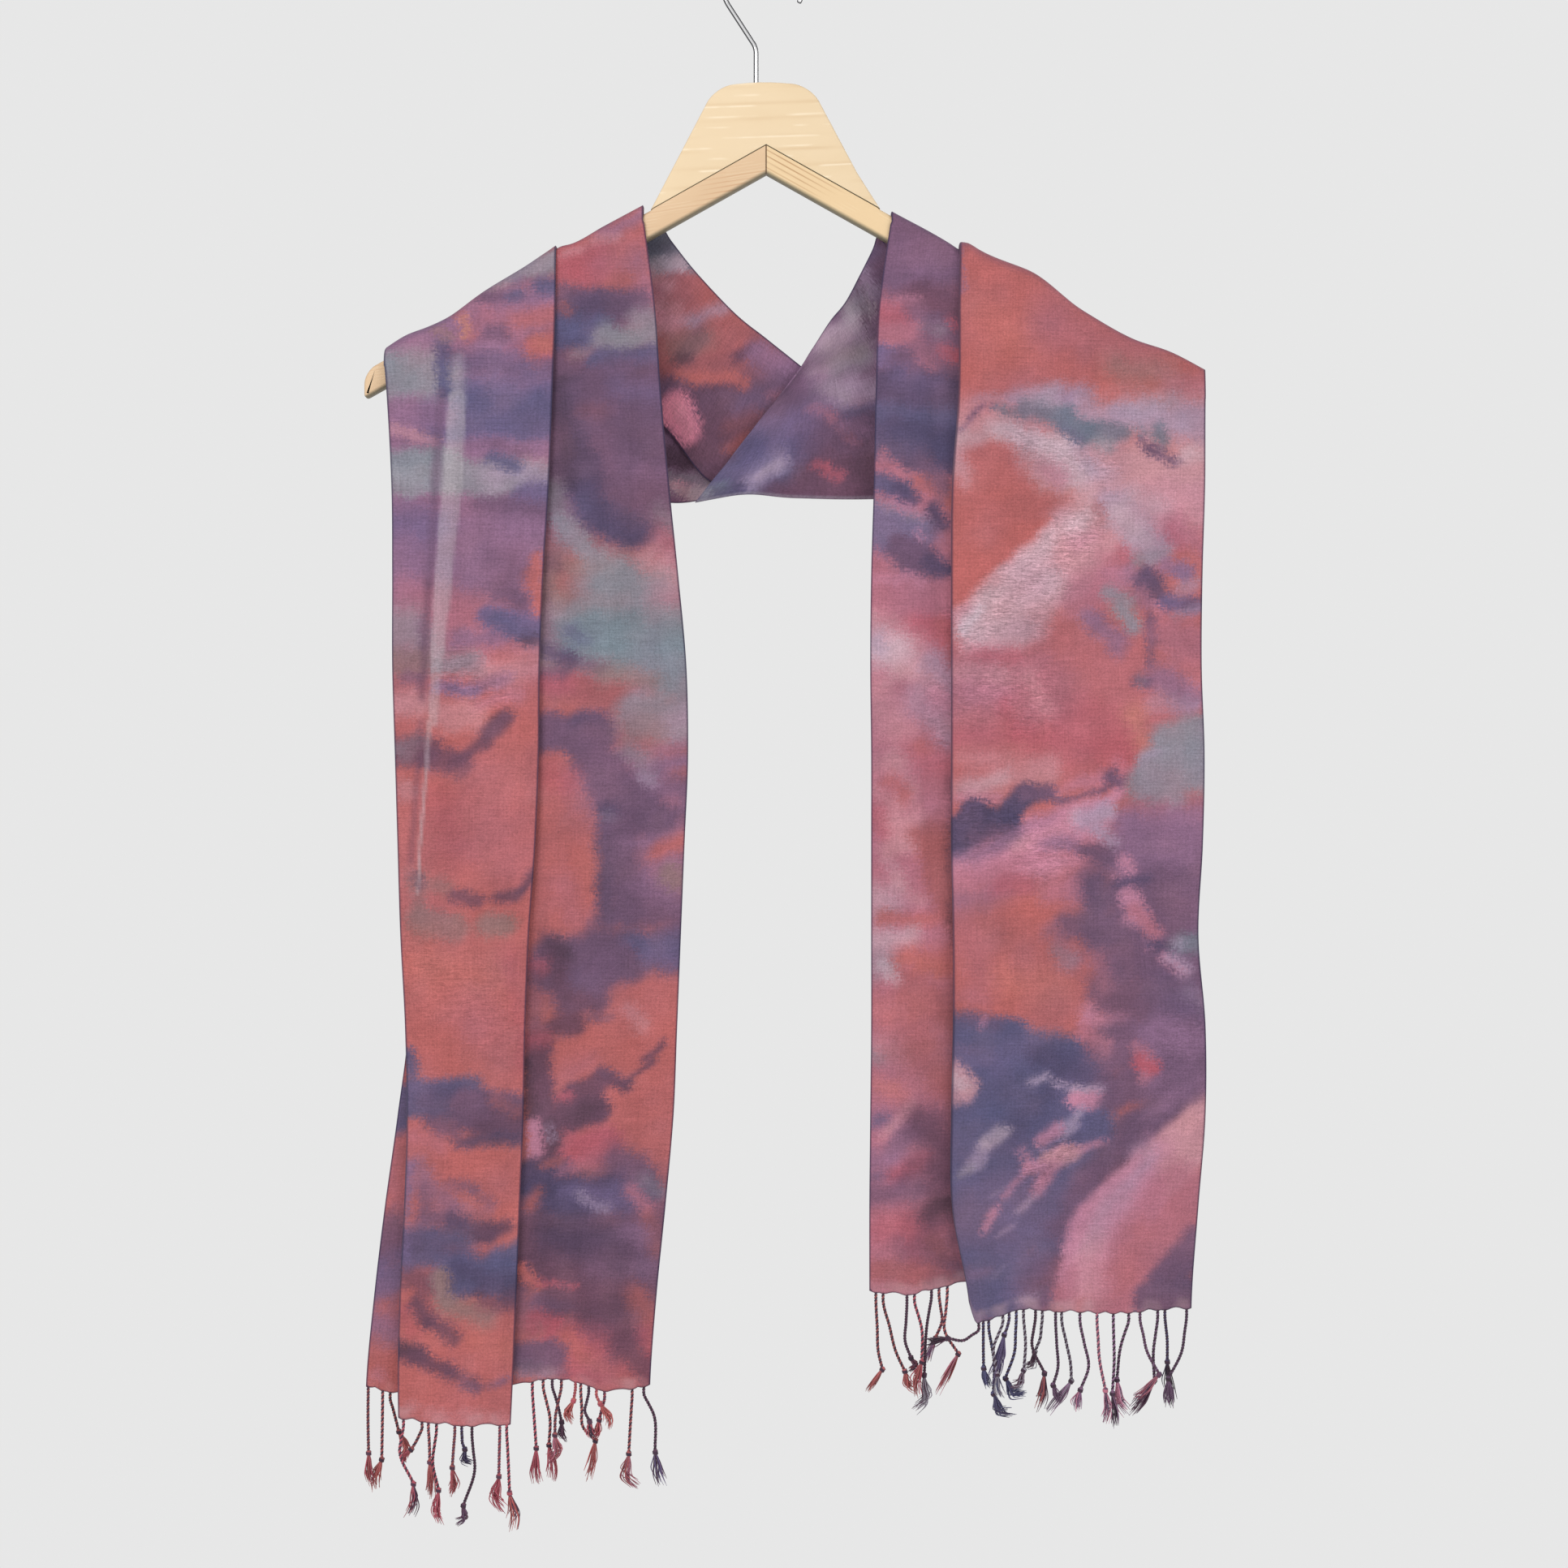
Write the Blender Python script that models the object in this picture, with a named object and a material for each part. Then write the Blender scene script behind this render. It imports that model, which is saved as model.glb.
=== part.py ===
"""A fringed tie-dye scarf hung over a wooden clothes hanger.

The origin is the inside of the hook's crown, where a rail carries the hanger. +Z is up and the
front, where both tails hang, faces -Y. The scarf goes over both arms from the back: its middle
hangs behind the neck as a loop, and its two pleated tails hang in front.
Tables and named sizes are in millimetres. Blender's units are metres.
"""

import math

import bmesh
import bpy
import numpy as np
from mathutils import Vector

MM = 0.001
SEAM_GAP = 0.3

# Hook
WIRE_RADIUS = 1.4
HOOK_RADIUS = 22.5
HOOK_CENTRE_Z = WIRE_RADIUS - HOOK_RADIUS
HOOK_START_DEGREES = 213.0
HOOK_END_DEGREES = -28.0
STEM_X = -3.8
STEM_BEND_Z = -56.0
STEM_DEPTH = 18.0

# Hanger body
WOOD_THICKNESS = 12.0
WOOD_EDGE_ROUNDING = 2.4
ARM_SLOPE = 0.562
SLOPE_LENGTH = math.hypot(1, ARM_SLOPE)
ARM_APEX_Z = -111.6
ARM_DROP = 15.6
ARM_TIP_LEFT = -221.4
ARM_TIP_RIGHT = 221.4
ARM_TIP_ROUNDING = 6.0
MITRE_X = 1.8
PLATE_TOP_Z = -77.0
PLATE_CORNER_RADIUS = 9.0
PLATE_TOP_CENTRES = (-21.5, 20.5)
PLATE_SHOULDER_Z = -120.0
PLATE_SHOULDERS = (-49.5, 49.0)
PLATE_FEET = (-62.5, 67.0)

# Cloth
WALL = 1.2
FIRST_LAYER = SEAM_GAP + WALL / 2
LAYER_STEP = WALL + 0.6
ARM_CORNER = 3.0
LAP_BEHIND_ARM = 13.0
HANG_FORWARD = 1.6
LOOSEN_OVER = 70.0
ROLL_AT_ARM = 1.1
ROLL_LOOSE = 1.7
LAYERS_PART = 1.7
FLAP_RETURN = 11.0
PLEAT_DEPTH = 36.0
FRONT_ROWS = 15
BACK_COLUMNS = 14
ROLL_TURN = (0, 45, 90, 135, 180)
FLAP_FACE_FIRST = 1 + len(ROLL_TURN)
FRONT_FACE_FIRST = len(ROLL_TURN)
INNER_FACE_COLUMNS = 8

# Fringe
STRIP_HEIGHT = 2.6
CORD_RADIUS = 0.7
KNOT_RADIUS = 1.5
TASSEL_RADIUS = 1.1
STRAND_DEPTHS = (-2.8, 0.0, 2.8)


def table(names, *rows):
    """A table with named columns, as one array for each name."""
    return {name: np.array(column, float) for name, column in zip(names, zip(*rows))}


# Left tail: x of the back panel's and the front flap's edges at each height
LEFT_TAIL = table(
    ("z", "back_left", "flap_left", "flap_right", "back_right"),
    (-150, -209.0, -212.0, -115.0, -66.5),
    (-200, -209.0, -212.0, -115.0, -60.0),
    (-250, -205.0, -208.0, -116.5, -56.5),
    (-300, -202.0, -205.0, -118.5, -52.0),
    (-350, -201.5, -204.5, -121.5, -47.0),
    (-400, -201.5, -204.5, -123.5, -42.5),
    (-450, -200.0, -203.0, -124.0, -41.5),
    (-500, -198.5, -201.5, -126.0, -43.5),
    (-550, -197.0, -200.0, -129.5, -45.5),
    (-600, -196.5, -197.5, -131.5, -47.5),
    (-650, -202.5, -196.5, -132.5, -49.5),
    (-700, -209.5, -198.0, -134.5, -54.0),
    (-750, -215.5, -200.5, -136.5, -59.0),
    (-800, -220.0, -201.5, -138.5, -62.5),
    (-830, -220.5, -201.0, -140.0, -63.0),
)

# Right tail: x of the inner panel's left edge, the pleat's fold and the right edge
RIGHT_TAIL = table(
    ("z", "inner_left", "fold", "right"),
    (-150, 71.5, 110.0, 248.0),
    (-200, 64.5, 109.0, 247.0),
    (-250, 62.5, 108.5, 245.5),
    (-300, 61.5, 105.0, 245.0),
    (-350, 60.0, 104.5, 243.5),
    (-400, 59.5, 104.5, 243.0),
    (-450, 60.0, 104.5, 244.5),
    (-500, 60.0, 104.5, 243.5),
    (-550, 60.0, 105.5, 241.0),
    (-600, 60.0, 105.5, 245.0),
    (-650, 59.5, 104.5, 245.0),
    (-700, 59.0, 105.0, 241.0),
    (-750, 59.0, 114.0, 237.5),
    (-770, 59.0, 116.0, 237.0),
)

# Hems: height of each lower edge across the panel
BACK_HEM = table(
    ("x", "z"),
    (-221, -799),
    (-205, -803),
    (-135, -799),
    (-124, -796),
    (-100, -798),
    (-88, -802),
    (-62, -799),
)
FLAP_HEM = table(("x", "z"), (-202, -816), (-180, -819), (-162, -821), (-140, -820))
INNER_HEM = table(("x", "z"), (59, -747), (83, -748), (95, -744), (101, -742), (145, -742))
FRONT_HEM = table(
    ("x", "z"),
    (112, -744),
    (116, -761),
    (122, -762),
    (141, -756),
    (164, -759),
    (203, -760),
    (217, -757),
    (237, -756),
)

# Loft of the cloth above the arms, beyond the layers that lie there
LEFT_LOFT = table(
    ("x", "rise"),
    (-212, 0.0),
    (-200, 1.2),
    (-187, 0.0),
    (-176, 0.2),
    (-156, 3.3),
    (-120, 4.3),
    (-108, 1.8),
    (-88, 1.4),
    (-65, 0.4),
)
RIGHT_LOFT = table(
    ("x", "rise"),
    (70, 1.3),
    (104, 1.8),
    (115, 4.5),
    (152, 10.0),
    (179, 4.0),
    (202, 4.0),
    (227, 9.0),
    (248, 10.0),
)

# Soft upright folds of the tails: a line down the cloth, its half width and its height
FOLD_COLUMNS = ("x_top", "z_top", "x_bottom", "z_bottom", "width", "height")
LEFT_FOLDS = table(
    FOLD_COLUMNS,
    (-96, -190, -90, -560, 16, 3.2),
    (-68, -230, -64, -660, 10, -2.2),
    (-54, -300, -52, -740, 9, 2.4),
    (-112, -560, -104, -800, 14, -2.6),
    (-84, -600, -92, -800, 12, 2.8),
    (-150, -520, -160, -800, 18, 2.4),
    (-186, -240, -190, -560, 15, 2.6),
)
FLAP_FOLDS = table(
    FOLD_COLUMNS,
    (-171, -230, -182, -560, 8, 1.8),
    (-150, -300, -152, -620, 13, 1.4),
    (-174, -640, -178, -815, 10, 2.2),
    (-146, -660, -150, -820, 8, 1.2),
)
RIGHT_FOLDS = table(
    FOLD_COLUMNS,
    (84, -190, 78, -720, 12, 2.8),
    (128, -230, 124, -520, 14, 2.6),
    (166, -250, 178, -600, 20, 3.6),
    (222, -260, 218, -560, 15, -2.6),
    (150, -520, 148, -750, 16, 3.0),
    (206, -560, 196, -755, 16, 2.8),
    (236, -420, 232, -740, 9, 2.2),
)

# Loop behind the neck: each stretch from the arm to the crossing, as its upper and lower edge
LOOP_COLUMNS = ("upper_x", "upper_z", "lower_x", "lower_z", "depth")
LOOP_RIGHT = table(
    LOOP_COLUMNS,
    (68, -165, 240, -262, 8.0),
    (61, -171, 206, -281, 8.6),
    (54, -183, 162, -296, 9.4),
    (47, -196, 112, -304, 9.8),
    (39, -208, 62, -307, 9.8),
    (30, -221, 14, -307, 9.4),
    (22, -233, -38, -308, 9.2),
)
LOOP_LEFT = table(
    LOOP_COLUMNS,
    (-66, -166, -152, -215, 7.6),
    (-56, -170, -122, -228, 9.6),
    (-38, -182, -88, -244, 12.2),
    (-16, -206, -56, -266, 13.8),
    (2, -218, -31, -296, 14.3),
    (22, -233, -4, -303, 14.5),
    (38, -246, 16, -301, 14.9),
)
LOOP_UNDER = table(
    LOOP_COLUMNS,
    (-142, -210, -210, -248, 10.4),
    (-112, -219, -176, -267, 13.8),
    (-84, -232, -134, -287, 17.0),
    (-56, -250, -92, -302, 18.6),
    (-32, -272, -51, -311, 19.2),
    (-2, -284, -20, -309, 19.4),
)

# Folds that run along the loop: share of its width, height and half width as a share
LOOP_FOLD_COLUMNS = ("share", "height", "width")
LOOP_RIGHT_FOLDS = table(
    LOOP_FOLD_COLUMNS,
    (0.06, 1.8, 0.07),
    (0.26, -2.2, 0.10),
    (0.48, 2.6, 0.11),
    (0.72, -2.2, 0.10),
    (0.93, 2.0, 0.08),
)
LOOP_LEFT_FOLDS = table(
    LOOP_FOLD_COLUMNS,
    (0.08, 1.6, 0.08),
    (0.34, -1.6, 0.12),
    (0.62, 1.8, 0.12),
    (0.95, -1.8, 0.10),
)
LOOP_UNDER_FOLDS = table(LOOP_FOLD_COLUMNS, (0.30, 1.6, 0.16), (0.72, -1.6, 0.16))

# Fringe: root, then the middle, knot and tail end of each strand, from its root
STRAND_COLUMNS = ("root_x", "mid_x", "mid_drop", "knot_x", "knot_drop", "end_x", "end_drop")
LEFT_BACK_STRANDS = table(
    STRAND_COLUMNS,
    (-218.8, 0.2, 16, 0.5, 32, 1.8, 50),
    (-210.8, -0.2, 17, -0.5, 34, -4.5, 51),
    (-206.6, 2.2, 9, 4.5, 18, 8.9, 32),
    (-127.8, 1.2, 16, 2.3, 32, 2.7, 51),
    (-121.8, 3.6, 16, 3.2, 32, 5.9, 51),
    (-116.8, 3.2, 12, 5.0, 20, 6.8, 31),
    (-111.8, -3.0, 15, -3.4, 26, -4.0, 41),
    (-104.6, -0.8, 3, -1.4, 7, -4.0, 17),
    (-101.0, 0.9, 20, 8.0, 28, 3.6, 49),
    (-96.6, -2.0, 9, 0.6, 15, 2.7, 24),
    (-87.8, -1.6, 6, -3.0, 12, -5.4, 23),
    (-72.5, -0.9, 15, -1.8, 31, 0.0, 50),
    (-66.0, 5.0, 10, 6.3, 32, 9.5, 50),
)
LEFT_FLAP_STRANDS = table(
    STRAND_COLUMNS,
    (-198.6, -1.8, 12, 5.8, 31, 4.0, 49),
    (-188.4, -2.8, 6, -5.8, 11, -10.4, 18),
    (-184.8, 0.3, 9, 0.5, 18, 1.8, 37),
    (-180.4, -1.8, 15, 1.4, 32, 0.9, 50),
    (-170.4, -0.8, 10, -1.4, 19, -0.9, 34),
    (-166.6, 0.0, 5, 1.4, 9, 3.6, 18),
    (-161.0, 1.8, 18, -4.5, 39, -6.3, 50),
    (-145.6, -0.3, 12, -0.5, 24, -0.5, 43),
    (-141.8, 0.7, 17, 1.4, 34, 5.3, 53),
)
RIGHT_INNER_STRANDS = table(
    STRAND_COLUMNS,
    (62.6, 1.4, 29, 3.6, 38, -4.0, 50),
    (66.6, 7.0, 28, 12.0, 39, 15.6, 50),
    (79.8, -0.9, 22, 2.3, 31, 3.6, 38),
    (84.0, 3.6, 13, 4.0, 33, 0.5, 51),
    (93.4, -2.3, 14, -4.0, 43, -7.0, 63),
    (97.6, 1.8, 14, -1.8, 24, -6.3, 37),
    (102.2, -1.8, 19, 6.0, 33, -5.0, 54),
)
RIGHT_FRONT_STRANDS = table(
    STRAND_COLUMNS,
    (119.2, -8.0, 5, -17.0, 4, -29.0, 6),
    (121.8, 0.0, 11, 0.2, 22, 2.6, 32),
    (124.8, 3.0, 18, 2.7, 37, 12.0, 50),
    (132.6, -5.0, 12, -3.4, 28, -0.9, 41),
    (136.0, 0.4, 6, -1.0, 13, -4.5, 23),
    (140.0, -0.6, 18, -5.9, 34, 4.0, 44),
    (144.0, 0.9, 13, 0.0, 29, -5.4, 39),
    (150.6, -2.0, 14, 5.0, 31, 2.4, 50),
    (154.4, -0.9, 11, -4.0, 19, -8.0, 28),
    (161.8, 1.0, 27, -1.6, 36, 2.6, 46),
    (165.2, 5.0, 25, 5.4, 34, -7.2, 52),
    (175.5, 5.0, 26, 0.5, 39, -2.3, 50),
    (185.0, 0.9, 19, 4.4, 38, 4.6, 56),
    (194.0, 0.5, 20, -0.5, 40, 1.4, 58),
    (202.5, -4.0, 14, -6.3, 33, -1.4, 52),
    (208.8, 3.2, 16, 10.4, 30, -1.4, 43),
    (218.6, -2.3, 18, -1.8, 35, -15.3, 54),
    (222.6, 1.4, 11, 1.6, 25, 3.6, 48),
    (234.6, -2.7, 18, -10.4, 34, -10.4, 49),
)


def make_material(name, colour, roughness, metallic=0.0):
    material = bpy.data.materials.new(name)
    material.use_nodes = True
    shader = material.node_tree.nodes["Principled BSDF"]
    shader.inputs["Base Color"].default_value = (*colour, 1.0)
    shader.inputs["Roughness"].default_value = roughness
    shader.inputs["Metallic"].default_value = metallic
    return material


def add_object(name, mesh, material, parent):
    """A new object in millimetre coordinates, brought to metres in its mesh."""
    mesh.transform(((MM, 0, 0, 0), (0, MM, 0, 0), (0, 0, MM, 0), (0, 0, 0, 1)))
    mesh.materials.append(material)
    shape = bpy.data.objects.new(name, mesh)
    bpy.context.scene.collection.objects.link(shape)
    shape.parent = parent
    return shape


def mesh_of(name, points, faces):
    mesh = bpy.data.meshes.new(name)
    mesh.from_pydata([tuple(point) for point in points], [], faces)
    mesh.validate()
    work = bmesh.new()
    work.from_mesh(mesh)
    bmesh.ops.recalc_face_normals(work, faces=work.faces)
    work.to_mesh(mesh)
    work.free()
    return mesh


def soft_step(value):
    """0 to 1 with level ends."""
    share = min(max(value, 0.0), 1.0)
    return share * share * (3 - 2 * share)


def smooth_at(columns, key, name, where):
    """The named column at a place along the key column, on a smooth curve through the rows."""
    keys = columns[key]
    values = columns[name]
    if keys[0] > keys[-1]:
        keys = keys[::-1]
        values = values[::-1]
    where = min(max(where, keys[0]), keys[-1])
    slopes = np.gradient(values, keys)
    row = min(int(np.searchsorted(keys, where, side="right")) - 1, len(keys) - 2)
    span = keys[row + 1] - keys[row]
    t = (where - keys[row]) / span
    start, end = values[row], values[row + 1]
    lead = slopes[row] * span * (t**3 - 2 * t**2 + t)
    trail = slopes[row + 1] * span * (t**3 - t**2)
    return start * (2 * t**3 - 3 * t**2 + 1) + end * (3 * t**2 - 2 * t**3) + lead + trail


def arm_top(x):
    return ARM_APEX_Z - ARM_SLOPE * abs(x - MITRE_X)


def lap_end(x):
    """Height at which the tails end behind the arm."""
    return arm_top(x) - LAP_BEHIND_ARM * SLOPE_LENGTH


def folds_at(folds, x, z):
    """Height of all the soft folds of a tail at one place."""
    total = 0.0
    for x0, z0, x1, z1, width, height in zip(*(folds[name] for name in FOLD_COLUMNS)):
        share = (z0 - z) / (z0 - z1)
        fade = soft_step((share + 0.12) / 0.3) * soft_step((1.12 - share) / 0.3)
        offset = (x - (x0 + (x1 - x0) * share)) / width
        total += height * fade * math.exp(-offset * offset)
    return total


def looseness(x, z):
    """0 on the arm, 1 where the layers hang free below it."""
    return soft_step((arm_top(x) - ARM_CORNER - z) / LOOSEN_OVER)


def roll_radius(x, z):
    return ROLL_AT_ARM + (ROLL_LOOSE - ROLL_AT_ARM) * looseness(x, z)


def rolled_edge(edge, inner, radius, way):
    """A half turn at a folded edge, from the inner layer to the outer one. Way is -1 at a left
    edge and +1 at a right edge."""
    turn = []
    for angle in ROLL_TURN:
        swing = math.radians(angle)
        turn.append((
            edge - way * radius * (1 - math.sin(swing)),
            inner + radius * (1 - math.cos(swing)),
        ))
    return turn


def left_layer(x, z):
    """Distance of the left tail's back panel in front of the wood."""
    return FIRST_LAYER + looseness(x, z) * (HANG_FORWARD + folds_at(LEFT_FOLDS, x, z))


def back_section(z):
    """Left tail's back panel at one height, as (x, distance in front of the wood)."""
    left = smooth_at(LEFT_TAIL, "z", "back_left", z)
    right = smooth_at(LEFT_TAIL, "z", "back_right", z)
    return [(left + (right - left) * share, left_layer(left + (right - left) * share, z))
            for share in np.linspace(0, 1, BACK_COLUMNS)]


def flap_section(z):
    """Left tail's front flap: a short return behind, the rolled fold, then the front."""
    left = smooth_at(LEFT_TAIL, "z", "flap_left", z)
    right = smooth_at(LEFT_TAIL, "z", "flap_right", z)
    radius = roll_radius(left, z)
    start = left + radius

    def behind(x):
        return left_layer(x, z) + LAYER_STEP + LAYERS_PART * looseness(x, z)

    section = [(start + FLAP_RETURN * share, behind(start + FLAP_RETURN * share))
               for share in (1.0, 0.5)]
    section += rolled_edge(left, behind(start), radius, -1)
    for share in np.linspace(0, 1, 9)[1:]:
        x = start + (right - start) * share
        over = 2 * radius * (1 - soft_step((x - start - FLAP_RETURN) / 30))
        own_folds = looseness(x, z) * max(folds_at(FLAP_FOLDS, x, z), 0.0)
        section.append((x, behind(x) + over + own_folds))
    return section


def hanging_front(x, z):
    return HANG_FORWARD + folds_at(RIGHT_FOLDS, x, z)


def inner_section(z):
    """Right tail's inner panel: from its free edge, behind the front panel to the pleat's turn
    and back to just short of the fold."""
    left = smooth_at(RIGHT_TAIL, "z", "inner_left", z)
    fold = smooth_at(RIGHT_TAIL, "z", "fold", z)
    turn = fold + PLEAT_DEPTH
    radius = ROLL_AT_ARM + 0.3 * looseness(turn, z)

    def layer(x, above):
        return FIRST_LAYER + above + looseness(x, z) * hanging_front(x, z)

    section = [(left + (turn - radius - left) * share, layer(left + (turn - left) * share, 0.0))
               for share in np.linspace(0, 1, INNER_FACE_COLUMNS + 1)[:-1]]
    section += rolled_edge(turn, layer(turn, 0.0), radius, 1)
    for share in (0.4, 0.8):
        x = turn - radius - (PLEAT_DEPTH - radius) * share
        section.append((x, layer(x, 2 * radius)))
    return section


def front_section(z):
    """Right tail's front panel: a short return, the rolled fold of the pleat, then the front."""
    fold = smooth_at(RIGHT_TAIL, "z", "fold", z)
    right = smooth_at(RIGHT_TAIL, "z", "right", z)
    radius = roll_radius(fold, z)
    start = fold + radius

    def layer(x, above):
        return FIRST_LAYER + above + looseness(x, z) * hanging_front(x, z)

    def stack(x):
        return LAYER_STEP + LAYERS_PART * looseness(x, z)

    section = [(start + 3.2, layer(start + 3.2, stack(start)))]
    section += rolled_edge(fold, layer(start, stack(start)), radius, -1)
    for share in np.linspace(0, 1, 13)[1:]:
        x = start + (right - start) * share
        past_pleat = soft_step((x - start - PLEAT_DEPTH) / 30)
        over = stack(x) + 2 * radius * (1 - past_pleat) - 0.4 * stack(x) * past_pleat
        section.append((x, layer(x, over)))
    return section


def hang_over_arm(section_at, hem, loft):
    """Points of a tail panel, column by column: from its end behind the arm, over the arm and
    down the front to the hem."""
    half = WOOD_THICKNESS / 2
    grid = []
    for column in range(len(section_at(-400.0))):
        top_z = -200.0
        for _ in range(12):
            top_z = arm_top(section_at(top_z)[column][0])
        x, gap = section_at(top_z)[column]
        rise = smooth_at(loft, "x", "rise", x)
        points = [Vector((x, half + gap, lap_end(x)))]
        for degrees in (0, 30, 60, 90):
            swing = math.radians(degrees)
            y = half - ARM_CORNER + (ARM_CORNER + gap) * math.cos(swing)
            up = (ARM_CORNER + gap) * math.sin(swing) - ARM_CORNER
            points.append(Vector((x, y, top_z + up * SLOPE_LENGTH + rise * math.sin(swing) ** 2)))
        over = [Vector((x, -point.y, point.z)) for point in reversed(points[1:])]
        points += over
        start_z = over[-1].z
        hem_z = start_z
        for _ in range(3):
            hem_z = smooth_at(hem, "x", "z", section_at(hem_z)[column][0])
        for row in range(1, FRONT_ROWS + 1):
            z = start_z + (hem_z - start_z) * row / FRONT_ROWS
            x, gap = section_at(z)[column]
            points.append(Vector((x, -half - gap, z)))
        grid.append(points)
    return grid


def loop_grid(edges, folds, across, along):
    """Points of one stretch of the loop, column by column from its upper to its lower edge."""
    last = len(edges["depth"]) - 1
    steps = dict(edges, step=np.arange(last + 1.0))
    grid = []
    for column in range(across):
        share = column / (across - 1)
        points = []
        for row in range(along):
            step = last * row / (along - 1)
            upper_x, upper_z, lower_x, lower_z, depth = (
                smooth_at(steps, "step", name, step) for name in LOOP_COLUMNS
            )
            gathered = soft_step(row / (along - 1) * 1.6)
            for centre, height, width in zip(*(folds[name] for name in LOOP_FOLD_COLUMNS)):
                depth -= height * gathered * math.exp(-(((share - centre) / width) ** 2))
            x = upper_x + (lower_x - upper_x) * share
            z = upper_z + (lower_z - upper_z) * share
            if row == 0:
                z = lap_end(x) - SEAM_GAP * SLOPE_LENGTH
            points.append(Vector((x, depth, z)))
        grid.append(points)
    return grid


def grid_normal(grid, column, row):
    before, after = max(column - 1, 0), min(column + 1, len(grid) - 1)
    above, below = max(row - 1, 0), min(row + 1, len(grid[0]) - 1)
    across = grid[after][row] - grid[before][row]
    down = grid[column][below] - grid[column][above]
    return across.cross(down).normalized()


def cloth_panel(name, grid, material, parent):
    """A closed wall of even thickness about a grid of points."""
    columns, rows = len(grid), len(grid[0])
    points = []
    for side in (1, -1):
        for column in range(columns):
            for row in range(rows):
                shift = grid_normal(grid, column, row) * (side * WALL / 2)
                points.append(grid[column][row] + shift)

    def index(side, column, row):
        return side * columns * rows + column * rows + row

    faces = []
    for column in range(columns - 1):
        for row in range(rows - 1):
            corners = ((column, row), (column, row + 1), (column + 1, row + 1), (column + 1, row))
            faces.append([index(0, *corner) for corner in corners])
            faces.append([index(1, *corner) for corner in reversed(corners)])
    rim = [(column, 0) for column in range(columns)]
    rim += [(columns - 1, row) for row in range(1, rows)]
    rim += [(column, rows - 1) for column in range(columns - 2, -1, -1)]
    rim += [(0, row) for row in range(rows - 2, 0, -1)]
    for here, there in zip(rim, rim[1:] + rim[:1]):
        faces.append([index(0, *here), index(0, *there), index(1, *there), index(1, *here)])
    panel = add_object(name, mesh_of(name, points, faces), material, parent)
    panel.data.shade_smooth()
    panel.data.set_sharp_from_angle(angle=math.radians(60))
    return panel


def point_on(line, x):
    """The point of a line at one x."""
    for start, end in zip(line, line[1:]):
        if start.x <= x <= end.x:
            return start.lerp(end, (x - start.x) / (end.x - start.x))
    return line[0].copy() if x < line[0].x else line[-1].copy()


def strand_rings(root, row, depth):
    """Centres and radii down one strand: twisted cord, knot and tassel."""
    root_x, mid_x, mid_drop, knot_x, knot_drop, end_x, end_drop = row
    through = [
        root,
        root + Vector((mid_x, depth, -mid_drop)),
        root + Vector((knot_x, depth, -knot_drop)),
        root + Vector((end_x, depth, -end_drop)),
    ]
    to_knot = (through[2] - through[1]).normalized()
    to_end = (through[3] - through[2]).normalized()
    return (
        (through[0].lerp(through[1], 0.5) + Vector((0, depth * 0.2, 0)), CORD_RADIUS),
        (through[1], CORD_RADIUS),
        (through[2] - to_knot * KNOT_RADIUS * 1.6, CORD_RADIUS),
        (through[2], KNOT_RADIUS),
        (through[2] + to_end * KNOT_RADIUS * 1.4, CORD_RADIUS * 1.2),
        (through[3], TASSEL_RADIUS),
    )


def fringe(name, hem_line, strands, material, parent):
    """A narrow strip just under a hem, with four-sided strands drawn down from its lower side."""
    first, last = hem_line[0].x, hem_line[-1].x
    stations = [point.x for point in hem_line]
    for x in strands["root_x"]:
        stations = [place for place in stations if abs(place - x) > 2 * CORD_RADIUS]
        stations += [x - CORD_RADIUS, x + CORD_RADIUS]
    stations = sorted(place for place in stations if first <= place <= last)
    work = bmesh.new()
    bars = []
    for x in stations:
        middle = point_on(hem_line, x)
        bar = []
        for y, z in ((-1, 0), (1, 0), (1, 1), (-1, 1)):
            drop = SEAM_GAP + WALL / 4 + z * STRIP_HEIGHT
            bar.append(work.verts.new(middle + Vector((0, y * WALL / 2, -drop))))
        bars.append(bar)
    work.faces.new(bars[0])
    work.faces.new(reversed(bars[-1]))
    roots = {}
    for here, there, x in zip(bars, bars[1:], stations):
        for side in range(4):
            corners = (here[side], there[side], there[(side + 1) % 4], here[(side + 1) % 4])
            if side == 2 and np.abs(strands["root_x"] - CORD_RADIUS - x).min() < 0.01:
                roots[x] = corners
            else:
                work.faces.new(corners)
    for number, row in enumerate(zip(*(strands[column] for column in STRAND_COLUMNS))):
        x = min(roots, key=lambda place: abs(place + CORD_RADIUS - row[0]))
        ring = roots.pop(x)
        root = sum((corner.co for corner in ring), Vector()) / 4
        depth = STRAND_DEPTHS[number % len(STRAND_DEPTHS)]
        corners = [(math.copysign(1, corner.co.x - root.x), math.copysign(1, corner.co.y - root.y))
                   for corner in ring]
        rings = strand_rings(root, row, depth)
        centres = [root] + [centre for centre, _ in rings]
        for step, (centre, radius) in enumerate(rings):
            heading = centres[min(step + 2, len(rings))] - centres[step]
            sideways = heading.cross(Vector((0, 1, 0))).normalized()
            below = [work.verts.new(centre + sideways * side_x * radius
                                    + Vector((0, side_y * radius, 0)))
                     for side_x, side_y in corners]
            for side in range(4):
                after = (side + 1) % 4
                work.faces.new((ring[side], ring[after], below[after], below[side]))
            ring = below
        work.faces.new(ring)
    bmesh.ops.recalc_face_normals(work, faces=work.faces)
    mesh = bpy.data.meshes.new(name)
    work.to_mesh(mesh)
    work.free()
    return add_object(name, mesh, material, parent)


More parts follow.
